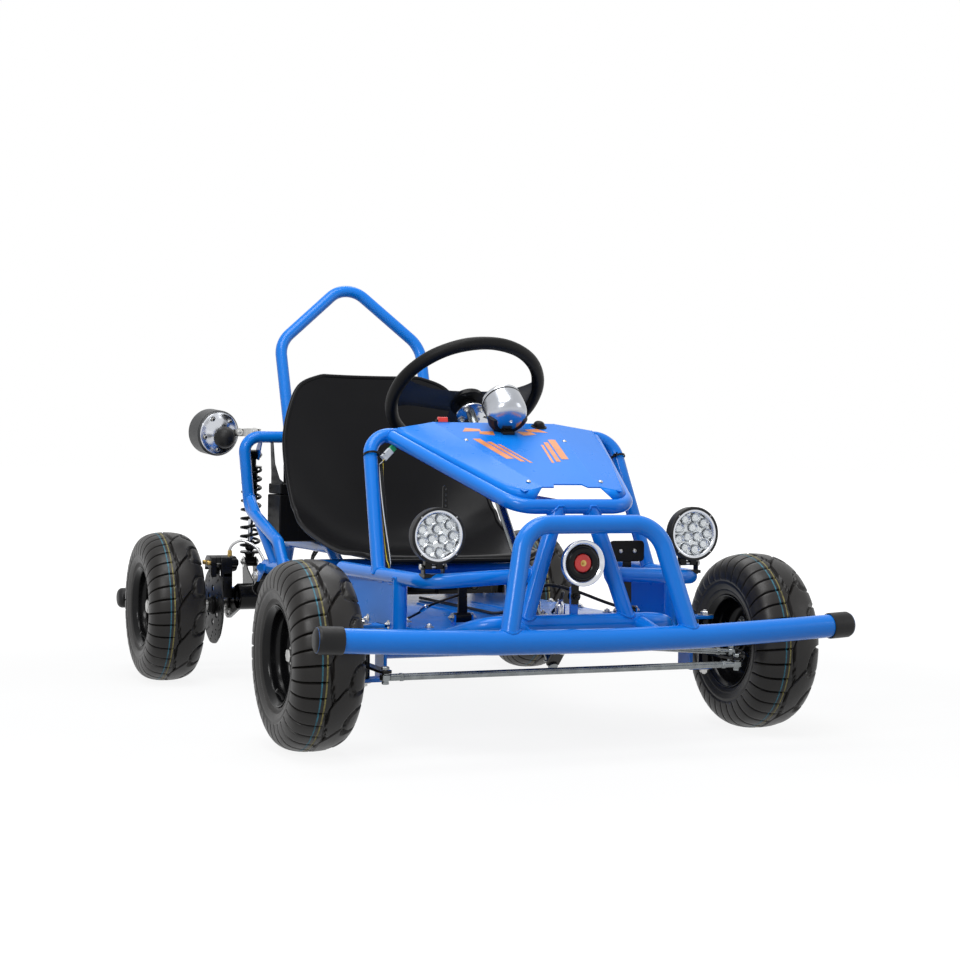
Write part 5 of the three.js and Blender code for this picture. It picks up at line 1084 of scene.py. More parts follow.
def block_edge(turn, run, middle, half_run, half_turn, period):
    """How far a place is from the outline of the nearest rounded block, in mm."""
    offset = turn / period
    across_block = (offset - round(offset)) * period
    size = abs((run - middle) / half_run) ** 3 + abs(across_block / half_turn) ** 3
    return (size ** (1 / 3) - 1) * min(half_run * 150, half_turn * 150)


def tread_sweep(reach):
    """How far round the tyre the grooves have swept at this reach. The mesh is swept with them."""
    run = min(abs(reach - GROOVE_START), 0.78)
    if reach > GROOVE_START:
        return 0.16 * run * run
    return -0.7 * run - 0.1 * math.sin(6 * run)


def tread_depth(turn, reach):
    """How deep the tread is cut, in mm. reach runs over the tyre from +1, the grooved wall, to -1."""
    cell = 2 * math.pi / TYRE_CELLS
    ridge = 1.6 * groove(abs(abs(reach) - 0.72) * 130, 0.6, 1.4)
    on_tread = step_up(0.7 - abs(reach), 0.0, 0.03)
    if on_tread == 0:
        return ridge
    if reach > GROOVE_START:
        rib_end = step_up(reach - GROOVE_START, 0.0, 0.02)
        return max(ridge, 4.6 * groove(wrapped(turn, cell) * 163, 0.6, 2.1) * rib_end * on_tread)
    run = GROOVE_START - reach
    period = 3 * cell
    saw = (-turn / period) % 1
    edge = abs(run - 0.025 - 0.06 * saw * saw) * 130
    depth = 4.6 * groove(edge, 0.9, 2.2)
    slant = wrapped(turn, period) * 160
    reached = step_up(run, 0.02, 0.04) * step_up(0.33 - run, 0.0, 0.04)
    depth = max(depth, 5.2 * groove(slant, 0.8 + 3.4 * run, 2.2) * reached)
    hook = block_edge(turn, run, 0.5, 0.19, 0.15, period)
    depth = max(depth, 5.6 * groove(abs(hook - 1), 1.9, 2.2))
    return max(ridge, depth * on_tread)


def tyre_mesh():
    outer_half = smooth_profile(TYRE_PROFILE, 5)
    section = outer_half + [(-x, radius) for x, radius in reversed(outer_half[:-1])]
    lengths = [0.0]
    for (xa, ra), (xb, rb) in zip(section, section[1:]):
        lengths.append(lengths[-1] + math.hypot(xb - xa, rb - ra))
    middle = lengths[-1] / 2
    reaches = [1 - length / middle for length in lengths]
    around = TYRE_CELLS * CELL_STEPS
    verts = []
    rows = len(section)
    normals = []
    for j in range(rows):
        xa, ra = section[max(0, j - 1)]
        xb, rb = section[min(rows - 1, j + 1)]
        run = math.hypot(xb - xa, rb - ra)
        normals.append(((ra - rb) / run * -1, (xb - xa) / run * -1))
    for i in range(around):
        turn = 2 * math.pi * i / around
        for j in range(rows):
            x, radius = section[j]
            depth = tread_depth(turn, reaches[j])
            angle = turn - tread_sweep(reaches[j])
            nx, nr = normals[j]
            x -= nx * depth
            radius -= nr * depth
            verts.append(Vector((x * MM, radius * math.cos(angle) * MM, radius * math.sin(angle) * MM)))
    tones = [0] * (rows - 1)
    for tone, place in ((1, CYAN_AT), (2, YELLOW_AT)):
        row = min(range(rows), key=lambda j: abs(section[j][0] - place) + (section[j][1] < 150) * 99)
        tones[row] = tone
    faces = []
    for i in range(around):
        k = (i + 1) % around
        for j in range(rows - 1):
            faces.append((i * rows + j, i * rows + j + 1, k * rows + j + 1, k * rows + j))
    return verts, faces, tones * around


def wheel_matrix(side, y, half_track):
    """The outer wall, +X in the wheel's own frame, points away from the kart."""
    turn = Matrix.Rotation(0 if side > 0 else math.pi, 4, "Z")
    return Matrix.Translation(at(side * half_track, y, AXLE_HEIGHT)) @ turn


def place_copy(name, data, matrix, body, hides=()):
    obj = linked(name, data)
    obj.matrix_world = matrix
    settle(obj, body, hides)


ORIGIN = Vector((0, 0, 0))


def bead_ribs():
    """The fine knurled ring beside the rim, one on each wall."""
    shapes = []
    count = 150
    for end in (1, -1):
        verts = []
        faces = []
        for i in range(2 * count):
            angle = math.pi * i / count
            lift = 0.9 if i % 2 else 0.1
            for x, radius in ((53.0, 88.5), (55.2 + lift, 92.2), (57.2 + lift, 96.5), (57.4, 99.5)):
                verts.append(Vector((end * x * MM, radius * math.cos(angle) * MM,
                                     radius * math.sin(angle) * MM)))
        for i in range(2 * count):
            k = (i + 1) % (2 * count)
            for j in range(3):
                face = (i * 4 + j, i * 4 + j + 1, k * 4 + j + 1, k * 4 + j)
                faces.append(face if end > 0 else tuple(reversed(face)))
        shapes.append((verts, faces))
    return joined(*shapes)


def wheels():
    verts, faces, tones = tyre_mesh()
    tyre_data = mesh_of("tyre_tread", (verts, faces), [tyre_rubber, line_cyan, line_yellow], 50, tones)
    rib_data = mesh_of("tyre_bead_ribs", bead_ribs(), [tyre_rubber], 80)
    barrel = [(2, 21), (2, 30), (3.2, 34), (3.2, 60), (6, 68), (12, 72.6), (18, 73.6), (26, 73.8),
              (30, 75.6), (36, 77), (44, 77.6), (48, 79.6), (51.4, 82.6), (54, 85), (55, 86.6),
              (54.4, 87.4), (52.6, 86.6), (49, 82.6), (44, 79.2), (20, 77.6)]
    ring = barrel + [(-x, radius) for x, radius in reversed(barrel)]
    profile = smooth_profile(ring, 2) + [ring[0]]
    rim_data = mesh_of("rim_shell", lathe(profile, ORIGIN, X_AXIS, 72), [paint_black], 30)
    hub = sleeve(ORIGIN, X_AXIS, 27, 12.4, 21, (1, 1.4), 40)
    hub_data = mesh_of("wheel_hub", hub, [paint_satin], 30)
    bolts = []
    for centre in circle(ORIGIN, Y_AXIS, Z_AXIS, 44, 4, math.pi / 4):
        bolts.append(bolt(centre + X_AXIS * 2.2 * MM, X_AXIS, 13, 7))
        bolts.append(bolt(centre - X_AXIS * 2.2 * MM, -X_AXIS, 13, 6))
    bolt_data = mesh_of("wheel_bolts", bolts, [zinc], 30)
    stem, cap = [[Vector((x, 0, z)) * MM for x, z in run]
                 for run in (((40, -74), (44, -66), (52, -60)), ((50, -61.4), (54, -58.6)))]
    valve_data = mesh_of("tyre_valve",
                         joined(tube(stem, lambda i: (4.2, 3.6, 3.0)[i], 16), rod(*cap, 3.7, 12)),
                         [rubber_cap], 30)
    for word, side in SIDES:
        for end, y, track, body in (("front", 0, 441, f"wheel_front_{word}"),
                                    ("rear", WHEELBASE, 443, "rear_axle")):
            matrix = wheel_matrix(side, y, track)
            label = f"{end}_{word}"
            same_way = wheel_matrix(-1, y, side * -track)
            place_copy(f"tyre_casing_{label}", tyre_data, same_way, body, [f"tyre_{label}"])
            place_copy(f"tyre_ribs_{label}", rib_data, matrix, body)
            place_copy(f"rim_shell_{label}", rim_data, matrix, body, [f"rim_{label}"])
            for piece, data in (("wheel_hub", hub_data), ("wheel_bolts", bolt_data),
                                ("tyre_valve", valve_data)):
                place_copy(f"{piece}_{label}", data, matrix, body)


wheels()


# Steering

def steering_wheel():
    first = X_AXIS
    second = COLUMN_UP.cross(first).normalized()
    ring = circle(WHEEL_CENTRE, first, second, 150, 96)
    grip = tube(ring, lambda i: 12.9 - 0.35 * (0.5 + 0.5 * math.cos(i * math.pi / 4)), 28, closed=True)
    add("steering_grip", grip, "steering", rubber_grip, hides=["steering_wheel"], slot="rubber")
    spokes = []
    stations = curve(((14, 30, -17, 0), (40, 29, -16.4, 0), (70, 27.5, -13, 0), (96, 28.5, -8, 0),
                                (116, 32, -4, 0), (130, 38, -1.6, 0), (141, 47, 0, 0)), 3)
    columns = 9
    for share in (0.5, -0.015, 1.01):
        turn = share * math.pi
        side = first * -math.sin(turn) + second * math.cos(turn)
        along = first * math.cos(turn) + second * math.sin(turn)
        verts = []
        for reach, half, lift, _ in stations:
            for top in (-1, 1):
                for k in range(columns):
                    place = 2 * k / (columns - 1) - 1
                    crown = 3.2 * (1 - place ** 4)
                    verts.append(on_column(lift + top * crown) + (along * reach + side * half * place) * MM)
        faces = []
        for i in range(len(stations) - 1):
            for k in range(columns - 1):
                low = i * 2 * columns + k
                high = low + columns
                faces.append((low, low + 1, low + 1 + 2 * columns, low + 2 * columns))
                faces.append((high, high + 2 * columns, high + 1 + 2 * columns, high + 1))
        spokes.append((verts, faces))
    add("steering_spokes", spokes, "steering", grey_plastic, sharp=60, outward=True)
    hub = [(-23, 16), (-23, 33), (-21, 35), (-14, 35), (-12, 33.6), (-11, 30), (-11, 25), (-8, 22),
           (-6, 16), (-5.4, 0)]
    add("steering_hub", lathe(smooth_profile(hub, 2), WHEEL_CENTRE, COLUMN_UP, 48), "steering",
        plastic_black)
    bolts = [dome(spot, COLUMN_UP, 2.8, 2.2)
             for spot in circle(on_column(-11.4), first, second, 28.5, 6, math.pi / 6)]
    add("steering_hub_bolts", bolts, "steering", zinc)
    flange = [(-50, 9.2), (-50, 29), (-49.4, 30), (-47.6, 30), (-47, 29), (-47, 14), (-34, 13), (-34, 9.2)]
    add("steering_flange", lathe(flange, WHEEL_CENTRE, COLUMN_UP, 48), "steering", chrome)
    pins = [bolt(spot, -COLUMN_UP, 8, 4)
            for spot in circle(on_column(-50), first, second, 22, 4, math.pi / 4)]
    add("steering_flange_bolts", pins, "steering", zinc)
    boss = [(-34, 9.4), (-34, 15), (-32, 17), (-22, 17), (-22, 9.4)]
    add("steering_boss", lathe(boss, WHEEL_CENTRE, COLUMN_UP, 40), "steering", paint_black,
        hides=["steering_column"], slot="black_paint")
    add("steering_shaft", rod(on_column(-654), on_column(-8), 9, 32), "steering", rod_steel)
    foot = on_column(-648)
    tip = foot + PITMAN_OUT * 50 * MM
    side = X_AXIS * 12 * MM
    outline = [foot - side, foot + side, tip + side * 0.9]
    for k in range(1, 12):
        angle = math.pi * k / 12
        outline.append(tip + (X_AXIS * 10.8 * math.cos(angle) + PITMAN_OUT * 11.4 * math.sin(angle)) * MM)
    outline.append(tip - side * 0.9)
    add("drop_arm", plate([point - COLUMN_UP * 3 * MM for point in outline], COLUMN_UP * 6 * MM),
        "steering", paint_black, bevel=0.8)
    add("drop_arm_nut", bolt(tip - COLUMN_UP * 3 * MM, -COLUMN_UP, 13, 6), "steering", zinc)
    cotter = rod(on_column(-640) - X_AXIS * 14 * MM, on_column(-640) + X_AXIS * 14 * MM, 1.6, 8)
    add("column_cotter", cotter, "steering", zinc)


def eye(centre, axis, radius, half, hole=4.2):
    return sleeve(centre, axis, half, hole, radius, (1, 1), 28)


def rod_end(centre, axis, heading):
    """A spherical rod end: its eye, ball, shank and lock nut."""
    return joined(
        eye(centre, axis, 10, 5.2, 6.4),
        lathe([(-7.5, 4.1), (-7.5, 5.6), (-4, 6.3), (0, 6.4), (4, 6.3), (7.5, 5.6), (7.5, 4.1),
               (-7.5, 4.1)],
              centre, axis, 24),
        rod(centre + heading * 8 * MM, centre + heading * 34 * MM, 6.2, 20),
        hex_head(centre + heading * 26 * MM, heading, 13, 6),
    )


def links():
    ends = [at(side * KINGPIN_X, -118, 136) for _, side in SIDES]
    heading = (ends[1] - ends[0]).normalized()
    shapes = [rod(ends[0] + heading * 30 * MM, ends[1] - heading * 30 * MM, 6, 24),
              rod_end(ends[0], Z_AXIS, heading), rod_end(ends[1], Z_AXIS, -heading)]
    for end in ends:
        shapes.append(rod(end - Z_AXIS * 9.6 * MM, end + Z_AXIS * 18.6 * MM, 4, 16))
        shapes.append(hex_head(end + Z_AXIS * 13.6 * MM, Z_AXIS, 12, 5))
        shapes.append(hex_head(end - Z_AXIS * 7.7 * MM, -Z_AXIS, 11, 4))
    add("tie_rod_bar", shapes, "tie_rod", rod_steel, hides=["tie_rod"], slot="steel")
    outer = at(340, -98, 156.3)
    ball = on_column(-648) + PITMAN_OUT * 50 * MM
    inner = ball + COLUMN_UP * 11.5 * MM
    heading = (inner - outer).normalized()
    shapes = [rod(outer + heading * 30 * MM, inner - heading * 30 * MM, 6, 24),
              rod_end(outer, Z_AXIS, heading), rod_end(inner, COLUMN_UP, -heading),
              rod(outer - Z_AXIS * 18.4 * MM, outer + Z_AXIS * 9.4 * MM, 4, 16),
              hex_head(outer + Z_AXIS * 7.6 * MM, Z_AXIS, 11, 4),
              hex_head(outer - Z_AXIS * 13.4 * MM, -Z_AXIS, 12, 5),
              hex_head(inner + COLUMN_UP * 7.6 * MM, COLUMN_UP, 12, 5)]
    add("drag_link_bar", shapes, "drag_link", rod_steel, hides=["drag_link"], slot="steel")


def knuckles():
    for word, side in SIDES:
        body = f"knuckle_{word}"
        out = X_AXIS * side
        king = at(side * KINGPIN_X, 0, AXLE_HEIGHT)
        shapes = [sleeve(king, Z_AXIS, 43.7, 6.2, 13, (1.7, 0.8)),
                  rod(king + out * 8 * MM, king + out * 68 * MM, 11.5, 28),
                  lathe([(67, 8), (67, 17), (73, 17), (73.6, 16), (73.6, 8)], king, out, 32)]
        outline = [(-11, 8), (11, 8), (11, -30), (9.5, -70), (11, -118)]
        round_end = np.linspace(0.25, math.pi - 0.25, 8)
        outline += [(11 * math.cos(angle), -118 - 11 * math.sin(angle)) for angle in round_end]
        outline += [(-11, -118), (-9.5, -70), (-11, -30)]
        arm = plate([at(side * KINGPIN_X + x, y, 143.5) for x, y in outline], Z_AXIS * 5 * MM)
        add(f"knuckle_casting_{word}", joined(*shapes, arm), body, paint_black,
            hides=[f"knuckle_{word}"], slot="black_paint", bevel=0.6, outward=True)
        beads = [collar(king + out * 13 * MM, out, 11.8, 2.2),
                 collar(king + out * 66.6 * MM, out, 11.8, 2.0)]
        add(f"knuckle_welds_{word}", beads, body, paint_satin)
        fasteners = [rod(king + out * 73 * MM, king + out * 136 * MM, 8.5, 28),
                     hex_head(king + out * 128.4 * MM, out, 22, 8),
                     lathe([(127.6, 8.6), (127.6, 16), (129, 16), (129, 8.6)], king, out, 32),
                     bolt(king + Z_AXIS * 50.4 * MM, Z_AXIS, 16, 6),
                     bolt(king - Z_AXIS * 50.4 * MM, -Z_AXIS, 16, 6)]
        add(f"knuckle_bolts_{word}", fasteners, body, zinc)


steering_wheel()
links()
knuckles()


# Rear suspension, axle, brakes and drive

CHAIN_PITCH = 12.7
AXLE_TEETH = 28
PINION_TEETH = 9


def swing_arm():
    body = "swing_arm"
    shapes = [rod(at(-176, 965, 190), at(176, 965, 190), 17, 36)]
    plates = []
    beads = []
    for _, side in SIDES:
        out = X_AXIS * side
        pivot = at(side * RAIL_X, 895, 242)
        carrier = at(side * RAIL_X, 965, 190)
        shapes.append(sleeve(pivot, out, 14.5, 6.4, 15, (0.9, 0.8)))
        shapes.append(rod(pivot + (carrier - pivot).normalized() * 8 * MM, carrier, 13, 28))
        barrel = [(-65, 17), (-65, 27), (-63, 29), (63, 29), (65, 27), (65, 12)]
        shapes.append(lathe(barrel, at(side * 235, 965, 190), out, 40))
        beads.append(weld(pivot, carrier - pivot, 13, carrier, X_AXIS, 29, 2.6))
        beads.append(weld(carrier, pivot - carrier, 13, pivot, X_AXIS, 15, 2.2))
        beads.append(collar(at(side * 170, 965, 190), out, 17.6, 2.4))
        outline = [(965, 161), (1040, 136), (1052, 135), (1068, 140), (1078, 152), (1079, 165), (1078, 178),
                   (1068, 190), (1052, 195), (1040, 196), (965, 219), (950, 212), (942, 196), (944, 176),
                   (952, 166)]
        face_x = side * 296 - 4
        hole = circle(on_rear_axle(face_x), Y_AXIS, Z_AXIS, 15, 28)
        plates.append(cut_plate([at(face_x, y, z) for y, z in outline], [hole], X_AXIS * 8 * MM))
        clevis = [(968, 200), (985, 214), (1049, 194), (1058, 200), (1063, 251), (1063, 266), (1056, 272.5),
                  (1047, 272.5), (1041, 266), (1020, 246), (972, 222)]
        plates += [upright(clevis, side * SHOCK_X + face * 12.1, 3) for face in (-1, 1)]
    outline = [(965, 173), (1120, 170), (1160, 174), (1180, 194), (1185, 215), (1180, 236), (1160, 256),
               (1120, 259), (965, 207)]
    hole = circle(on_motor_shaft(59), Y_AXIS, Z_AXIS, 10.5, 28)
    motor_plate = cut_plate([at(59, y, z) for y, z in outline], [hole], X_AXIS * 6 * MM)
    add("swing_arm_tubes", shapes, body, paint_black, hides=["swing_arm"], slot="black_paint", outward=True)
    add("swing_arm_plates", plates, body, paint_black, bevel=0.8, outward=True)
    add("motor_plate", motor_plate, body, paint_black, bevel=0.6, outward=True)
    add("swing_arm_welds", beads, body, paint_satin)
    hardware = []
    for _, side in SIDES:
        out = X_AXIS * side
        hub = on_rear_axle(side * 300)
        hardware.append(lathe([(0, 12.6), (0, 23), (2.5, 24), (4.5, 20), (5, 14), (5, 12.6)], hub, out, 36))
        for spot in circle(hub, Y_AXIS, Z_AXIS, 23.5, 3, math.pi / 2):
            hardware.append(bolt(spot + out * 0.2 * MM, out, 9, 4, stub=2))
        for face in (-1, 1):
            hardware.append(bolt(at(side * SHOCK_X + face * 13.6, 1052, 262), X_AXIS * face, 13, 4.5,
                                 stub=2))
    add("swing_arm_hardware", hardware, body, zinc)


def axle_and_brake():
    body = "rear_axle"
    shapes = [rod(on_rear_axle(-484), on_rear_axle(484), 12, 36)]
    for _, side in SIDES:
        out = X_AXIS * side
        shapes.append(lathe([(470.6, 12), (470.6, 22), (472.4, 22), (472.4, 12)], on_rear_axle(0), out, 32))
        shapes.append(hex_head(on_rear_axle(side * 472.4), out, 30, 10.5))
    add("axle_shaft", shapes, body, zinc, hides=["rear_axle"], slot="steel")
    hubs = []
    for x, out in ((-334.4, -X_AXIS), (82.9, X_AXIS)):
        centre = on_rear_axle(x)
        hubs.append(lathe([(0, 12.2), (0, 21), (3.4, 21), (4, 18), (11.4, 17.4), (12, 16.6), (12, 12.2)],
                          centre, out, 36))
        for spot in circle(centre + out * 3.4 * MM, Y_AXIS, Z_AXIS, 16, 4, math.pi / 4):
            hubs.append(hex_head(spot, out, 6, 3))
    add("axle_hubs", hubs, body, paint_satin)
    face = on_rear_axle(-333.9)
    outline = []
    for angle in np.linspace(0, 2 * math.pi, 96, endpoint=False):
        reach = 87 - 1.1 * (0.5 + 0.5 * math.cos(12 * angle))
        outline.append(face + (Y_AXIS * math.cos(angle) + Z_AXIS * math.sin(angle)) * reach * MM)

    def disc_holes(reach, count, start, radius, sides):
        return [circle(spot, Y_AXIS, Z_AXIS, radius, sides)
                for spot in circle(face, Y_AXIS, Z_AXIS, reach, count, start)]

    holes = disc_holes(0, 1, 0, 12.6, 36) + disc_holes(38, 6, math.pi / 6, 8.5, 20)
    for step, reach in enumerate((61, 70, 79)):
        holes += disc_holes(reach, 12, 0.09 * step, 2.9, 12)
    add("brake_disc_plate", cut_plate(outline, holes, X_AXIS * 3.8 * MM), body, paint_satin,
        hides=["brake_disc"], slot="black_paint", outward=True)
    caliper_body = []
    profile = [(1001, 230), (1001, 262), (1006, 274), (1016, 278), (1046, 278), (1058, 270), (1060, 258),
               (1060, 244), (1052, 250), (1034, 252), (1014, 247), (1006, 236)]
    for low, high in ((-350, -337), (-327, -301)):
        caliper_body.append(upright(profile, (low + high) / 2, high - low))
    piston = [(0, 18), (11, 18), (15, 15.6), (16.4, 12), (16.4, 0)]
    caliper_body.append(lathe(piston, at(-301, 1030, 259), X_AXIS, 40))
    for y in (1014, 1046):
        caliper_body.append(lathe([(0, 0), (0, 9), (30, 9), (33, 7), (33, 0)], at(-318, y, 262), X_AXIS,
                                  24))
    bridge = [(1006, 262), (1010, 274), (1018, 278), (1044, 278), (1056, 270), (1058, 260)]
    caliper_body.append(upright(bridge, -332, 16))
    foot = [(1001, 184), (1028, 182), (1030, 196), (1028, 244), (1001, 240)]
    caliper_body.append(upright(foot, -311.5, 21))
    add("caliper_body", caliper_body, "swing_arm", paint_black, bevel=2.6, hides=["brake_caliper"],
        slot="black_paint", outward=True)
    pads = [block(at(x, 1010, 236), at(x + 2.2, 1050, 258)) for x in (-336.8, -329.4)]
    add("brake_pads", pads, "swing_arm", plastic_black, bevel=0.4)
    fittings = []
    for y in (1012, 1048):
        fittings.append(lathe([(0, 0), (0, 5), (7, 5), (7.6, 3.6), (7.6, 0)], at(-350, y, 262), -X_AXIS,
                              20))
    banjo = [(0, 0), (0, 5.5), (5, 5.5), (5, 4), (13, 4), (13, 0)]
    fittings.append(lathe(banjo, at(-300, 1030, 276), Z_AXIS, 6))
    add("caliper_brass_pins", fittings, "swing_arm", brass)
    pipe = [at(-300, 1030, 279), at(-300, 1030, 291), at(-292, 1026, 304), at(-274, 1015, 311),
            at(-250, 998, 298), at(-238, 972, 270), at(-238, 965, 245), at(-238, 965, 219)]
    add("brake_pipe_line", tube(curve_through(pipe, 8), 3.1, 16), "swing_arm", bright_steel,
        hides=["brake_pipe"], slot="steel")
    nuts = [hex_head(at(-300, 1030, 288.6), -Z_AXIS, 9, 9),
            hex_head(at(-238, 965, 219.4), Z_AXIS, 9, 9)]
    add("brake_pipe_nuts", nuts, "swing_arm", brass)


def pitch_radius(teeth):
    return CHAIN_PITCH / (2 * math.sin(math.pi / teeth))


def sprocket(teeth, centre, bore, holes_at=None):
    tip = pitch_radius(teeth) - 2.8
    root = tip - 5
    outline = []
    for tooth in range(teeth):
        for share, radius in ((-0.32, root), (-0.18, root + 2.4), (-0.1, tip), (0.1, tip),
                              (0.18, root + 2.4), (0.32, root)):
            angle = 2 * math.pi * (tooth + 0.5 + share) / teeth
            outline.append(centre + (Y_AXIS * math.cos(angle) + Z_AXIS * math.sin(angle)) * radius * MM)
    holes = [circle(centre, Y_AXIS, Z_AXIS, bore, 28)]
    if holes_at:
        holes += [circle(spot, Y_AXIS, Z_AXIS, 7, 18)
                  for spot in circle(centre, Y_AXIS, Z_AXIS, holes_at, 6)]
    return cut_plate(outline, holes, X_AXIS * 4.4 * MM)


def drive():
    axle = on_rear_axle(80)
    motor = on_motor_shaft(80)
    add("axle_sprocket_teeth", sprocket(AXLE_TEETH, on_rear_axle(77.8), 12.6, 34), "rear_axle", zinc,
        hides=["axle_sprocket"], slot="steel", outward=True)
    add("pinion_teeth", sprocket(PINION_TEETH, on_motor_shaft(77.8), 5), "motor_pinion", zinc,
        hides=["motor_pinion"], slot="steel", outward=True)
    add("pinion_shaft", joined(rod(on_motor_shaft(53.5), on_motor_shaft(84.6), 5.9, 24),
                               lathe([(0, 5), (0, 9), (5, 9), (5, 5), (0, 5)], on_motor_shaft(72.6),
                                     X_AXIS, 24)),
        "motor_pinion", bright_steel)
    big_radius = pitch_radius(AXLE_TEETH) + 0.6
    small_radius = pitch_radius(PINION_TEETH) + 0.6
    delta = motor - axle
    span = delta.length / MM
    heading = math.atan2(delta.z, delta.y)
    spread = math.acos((big_radius - small_radius) / span)
    path = []

    def arc(centre, radius, start, end):
        steps = max(2, round(abs(end - start) * radius / 3))
        for step in range(steps + 1):
            angle = start + (end - start) * step / steps
            path.append((centre.y / MM + radius * math.cos(angle),
                         centre.z / MM + radius * math.sin(angle)))

    arc(motor, small_radius, heading - spread, heading + spread)
    arc(axle, big_radius, heading + spread, heading + 2 * math.pi - spread)
    path.append(path[0])
    lengths = [0.0]
    for (ya, za), (yb, zb) in zip(path, path[1:]):
        lengths.append(lengths[-1] + math.hypot(yb - ya, zb - za))
    total = lengths[-1]
    links = 2 * round(total / (2 * CHAIN_PITCH))
    pins = []
    for k in range(links):
        place = total * k / links
        i = max(index for index, length in enumerate(lengths[:-1]) if length <= place)
        share = (place - lengths[i]) / max(1e-9, lengths[i + 1] - lengths[i])
        pins.append(Vector((80 * MM, (path[i][0] + (path[i + 1][0] - path[i][0]) * share) * MM,
                            (path[i][1] + (path[i + 1][1] - path[i][1]) * share) * MM)))
    shapes = []
    for k in range(links):
        here = pins[k]
        after = pins[(k + 1) % links]
        along = (after - here).normalized()
        up = X_AXIS.cross(along)
        offset = 3.3 if k % 2 else 2.2
        for face in (-1, 1):
            outline = [(-3.0, 1.6), (-1.6, 2.9), (1, 3.0), (6.3, 2.0), (11.6, 3.0), (14.2, 2.9),
                       (15.6, 1.6)]
            outline += [(t, -half) for t, half in reversed(outline)]
            x = face * (offset + 0.5) - 0.5
            points = [here + along * t * MM + up * half * MM + X_AXIS * x * MM for t, half in outline]
            shapes.append(plate(points, X_AXIS * MM))
        shapes.append(rod(here - X_AXIS * 4.4 * MM, here + X_AXIS * 4.4 * MM, 1.7, 10))
        shapes.append(rod(here - X_AXIS * 1.7 * MM, here + X_AXIS * 1.7 * MM, 2.5, 12))
    add("chain_links", shapes, "swing_arm", chain_steel, hides=["drive_chain"], slot="steel", outward=True)
    can = [(0, 12), (0, 43.6), (-2, 44.4), (-12, 44.4), (-13, 43.4), (-96, 43.4), (-97, 44.4), (-108, 44.4),
           (-112, 42), (-115, 38.5), (-116, 30), (-116, 0)]
    face = on_motor_shaft(58.7)
    add("motor_can", lathe(can, face, X_AXIS, 64), "swing_arm", paint_satin, hides=["motor"],
        slot="black_paint")
    fins = []
    for k in range(40):
        angle = 2 * math.pi * k / 40
        out = Vector((0, math.cos(angle), math.sin(angle)))
        side = Vector((0, -math.sin(angle), math.cos(angle)))
        base = face + out * 43 * MM
        outline = [base - side * 0.8 * MM, base + side * 0.8 * MM, base + (out * 1.5 + side * 0.6) * MM,
                   base + (out * 1.5 - side * 0.6) * MM]
        fins.append(plate([point - X_AXIS * 94 * MM for point in outline], X_AXIS * 80 * MM))
    add("motor_fins", fins, "swing_arm", paint_satin, outward=True)
    leads = []
    for z, shift in ((238, 0), (228, 6)):
        leads.append(tube(curve_through([at(-50, 1150, z - 4), at(-66, 1150 + shift, z + 4),
                                         at(-74, 1130, z + 30), at(-70, 1096, z + 56),
                                         at(-60, 1080, z + 82)], 6), 2.8, 12))
    piece = add("motor_leads", leads, None, plastic_black)
    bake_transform(piece)


def shocks():
    for word, side in SIDES:
        top = at(side * SHOCK_X, 1034, 505)
        foot = at(side * SHOCK_X, 1052, 262)
        down = (foot - top).normalized()
        length = (foot - top).length / MM
        out = X_AXIS

        def along(distance):
            return top + down * distance * MM

        barrel = [(8, 8), (14, 9), (24, 9), (26, 13), (26, 22), (30, 22), (30, 13), (33, 13.2),
                  (118, 13.2), (120, 12.2), (120, 6.4)]
        upper = [eye(top, out, 11, 10, 6.4), lathe(barrel, top, down, 32)]
        add(f"shock_tube_{word}", upper, f"shock_body_{word}", paint_black,
            hides=[f"shock_body_{word}"], slot="black_paint")
        seat_ring = [(length - back, radius) for back, radius in
                     ((24, 6), (24, 21), (23, 22), (20, 22), (20, 13), (9, 9), (6, 8))]
        lower = [eye(foot, out, 11, 10, 6.4), lathe(seat_ring, top, down, 32)]
        add(f"shock_foot_{word}", lower, f"shock_rod_{word}", paint_black,
            hides=[f"shock_rod_{word}"], slot="black_paint")
        add(f"shock_piston_{word}", rod(along(92), along(length - 20), 6, 28), f"shock_rod_{word}", chrome)
        stop = [(196, 6.2), (196, 10), (200, 11.5), (205, 10), (210, 11.5), (215, 10), (219, 6.2)]
        add(f"shock_stop_{word}", lathe(stop, top, down, 28), f"shock_rod_{word}", rubber_cap)
        points = []
        steps = SPRING_TURNS * 28
        first = 30.3 + 3.4
        last = length - 24.3 - 3.4
        forward = down.cross(out)
        for step in range(steps + 1):
            share = step / steps
            turn = 2 * math.pi * SPRING_TURNS * share
            closing = min(1.0, share / 0.09, (1 - share) / 0.09)
            distance = first + (last - first) * share
            radius = 20.6 - 0.7 * (1 - closing)
            points.append(along(distance) + (out * math.cos(turn) + forward * math.sin(turn)) * radius * MM)
        spring = add(f"shock_coil_{word}", tube(points, 3.4, 14), f"shock_body_{word}", paint_black,
                     hides=[f"shock_spring_{word}"], slot="black_paint")
        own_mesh(spring)
        bush = lathe([(-10, 5), (-10, 8.4), (10, 8.4), (10, 5)], top, out, 24)
        add(f"shock_bush_{word}", bush, f"shock_body_{word}", rubber_cap)


chain_steel = surface("oiled_chain_steel", (0.3, 0.29, 0.27), 0.36, metallic=1.0, patch=120.0, spread=0.3,
                      grain=700.0, bump=0.3, wear=(0.3, (0.12, 0.1, 0.07)))
SPRING_TURNS = 9
swing_arm()
axle_and_brake()
drive()
shocks()


# Power

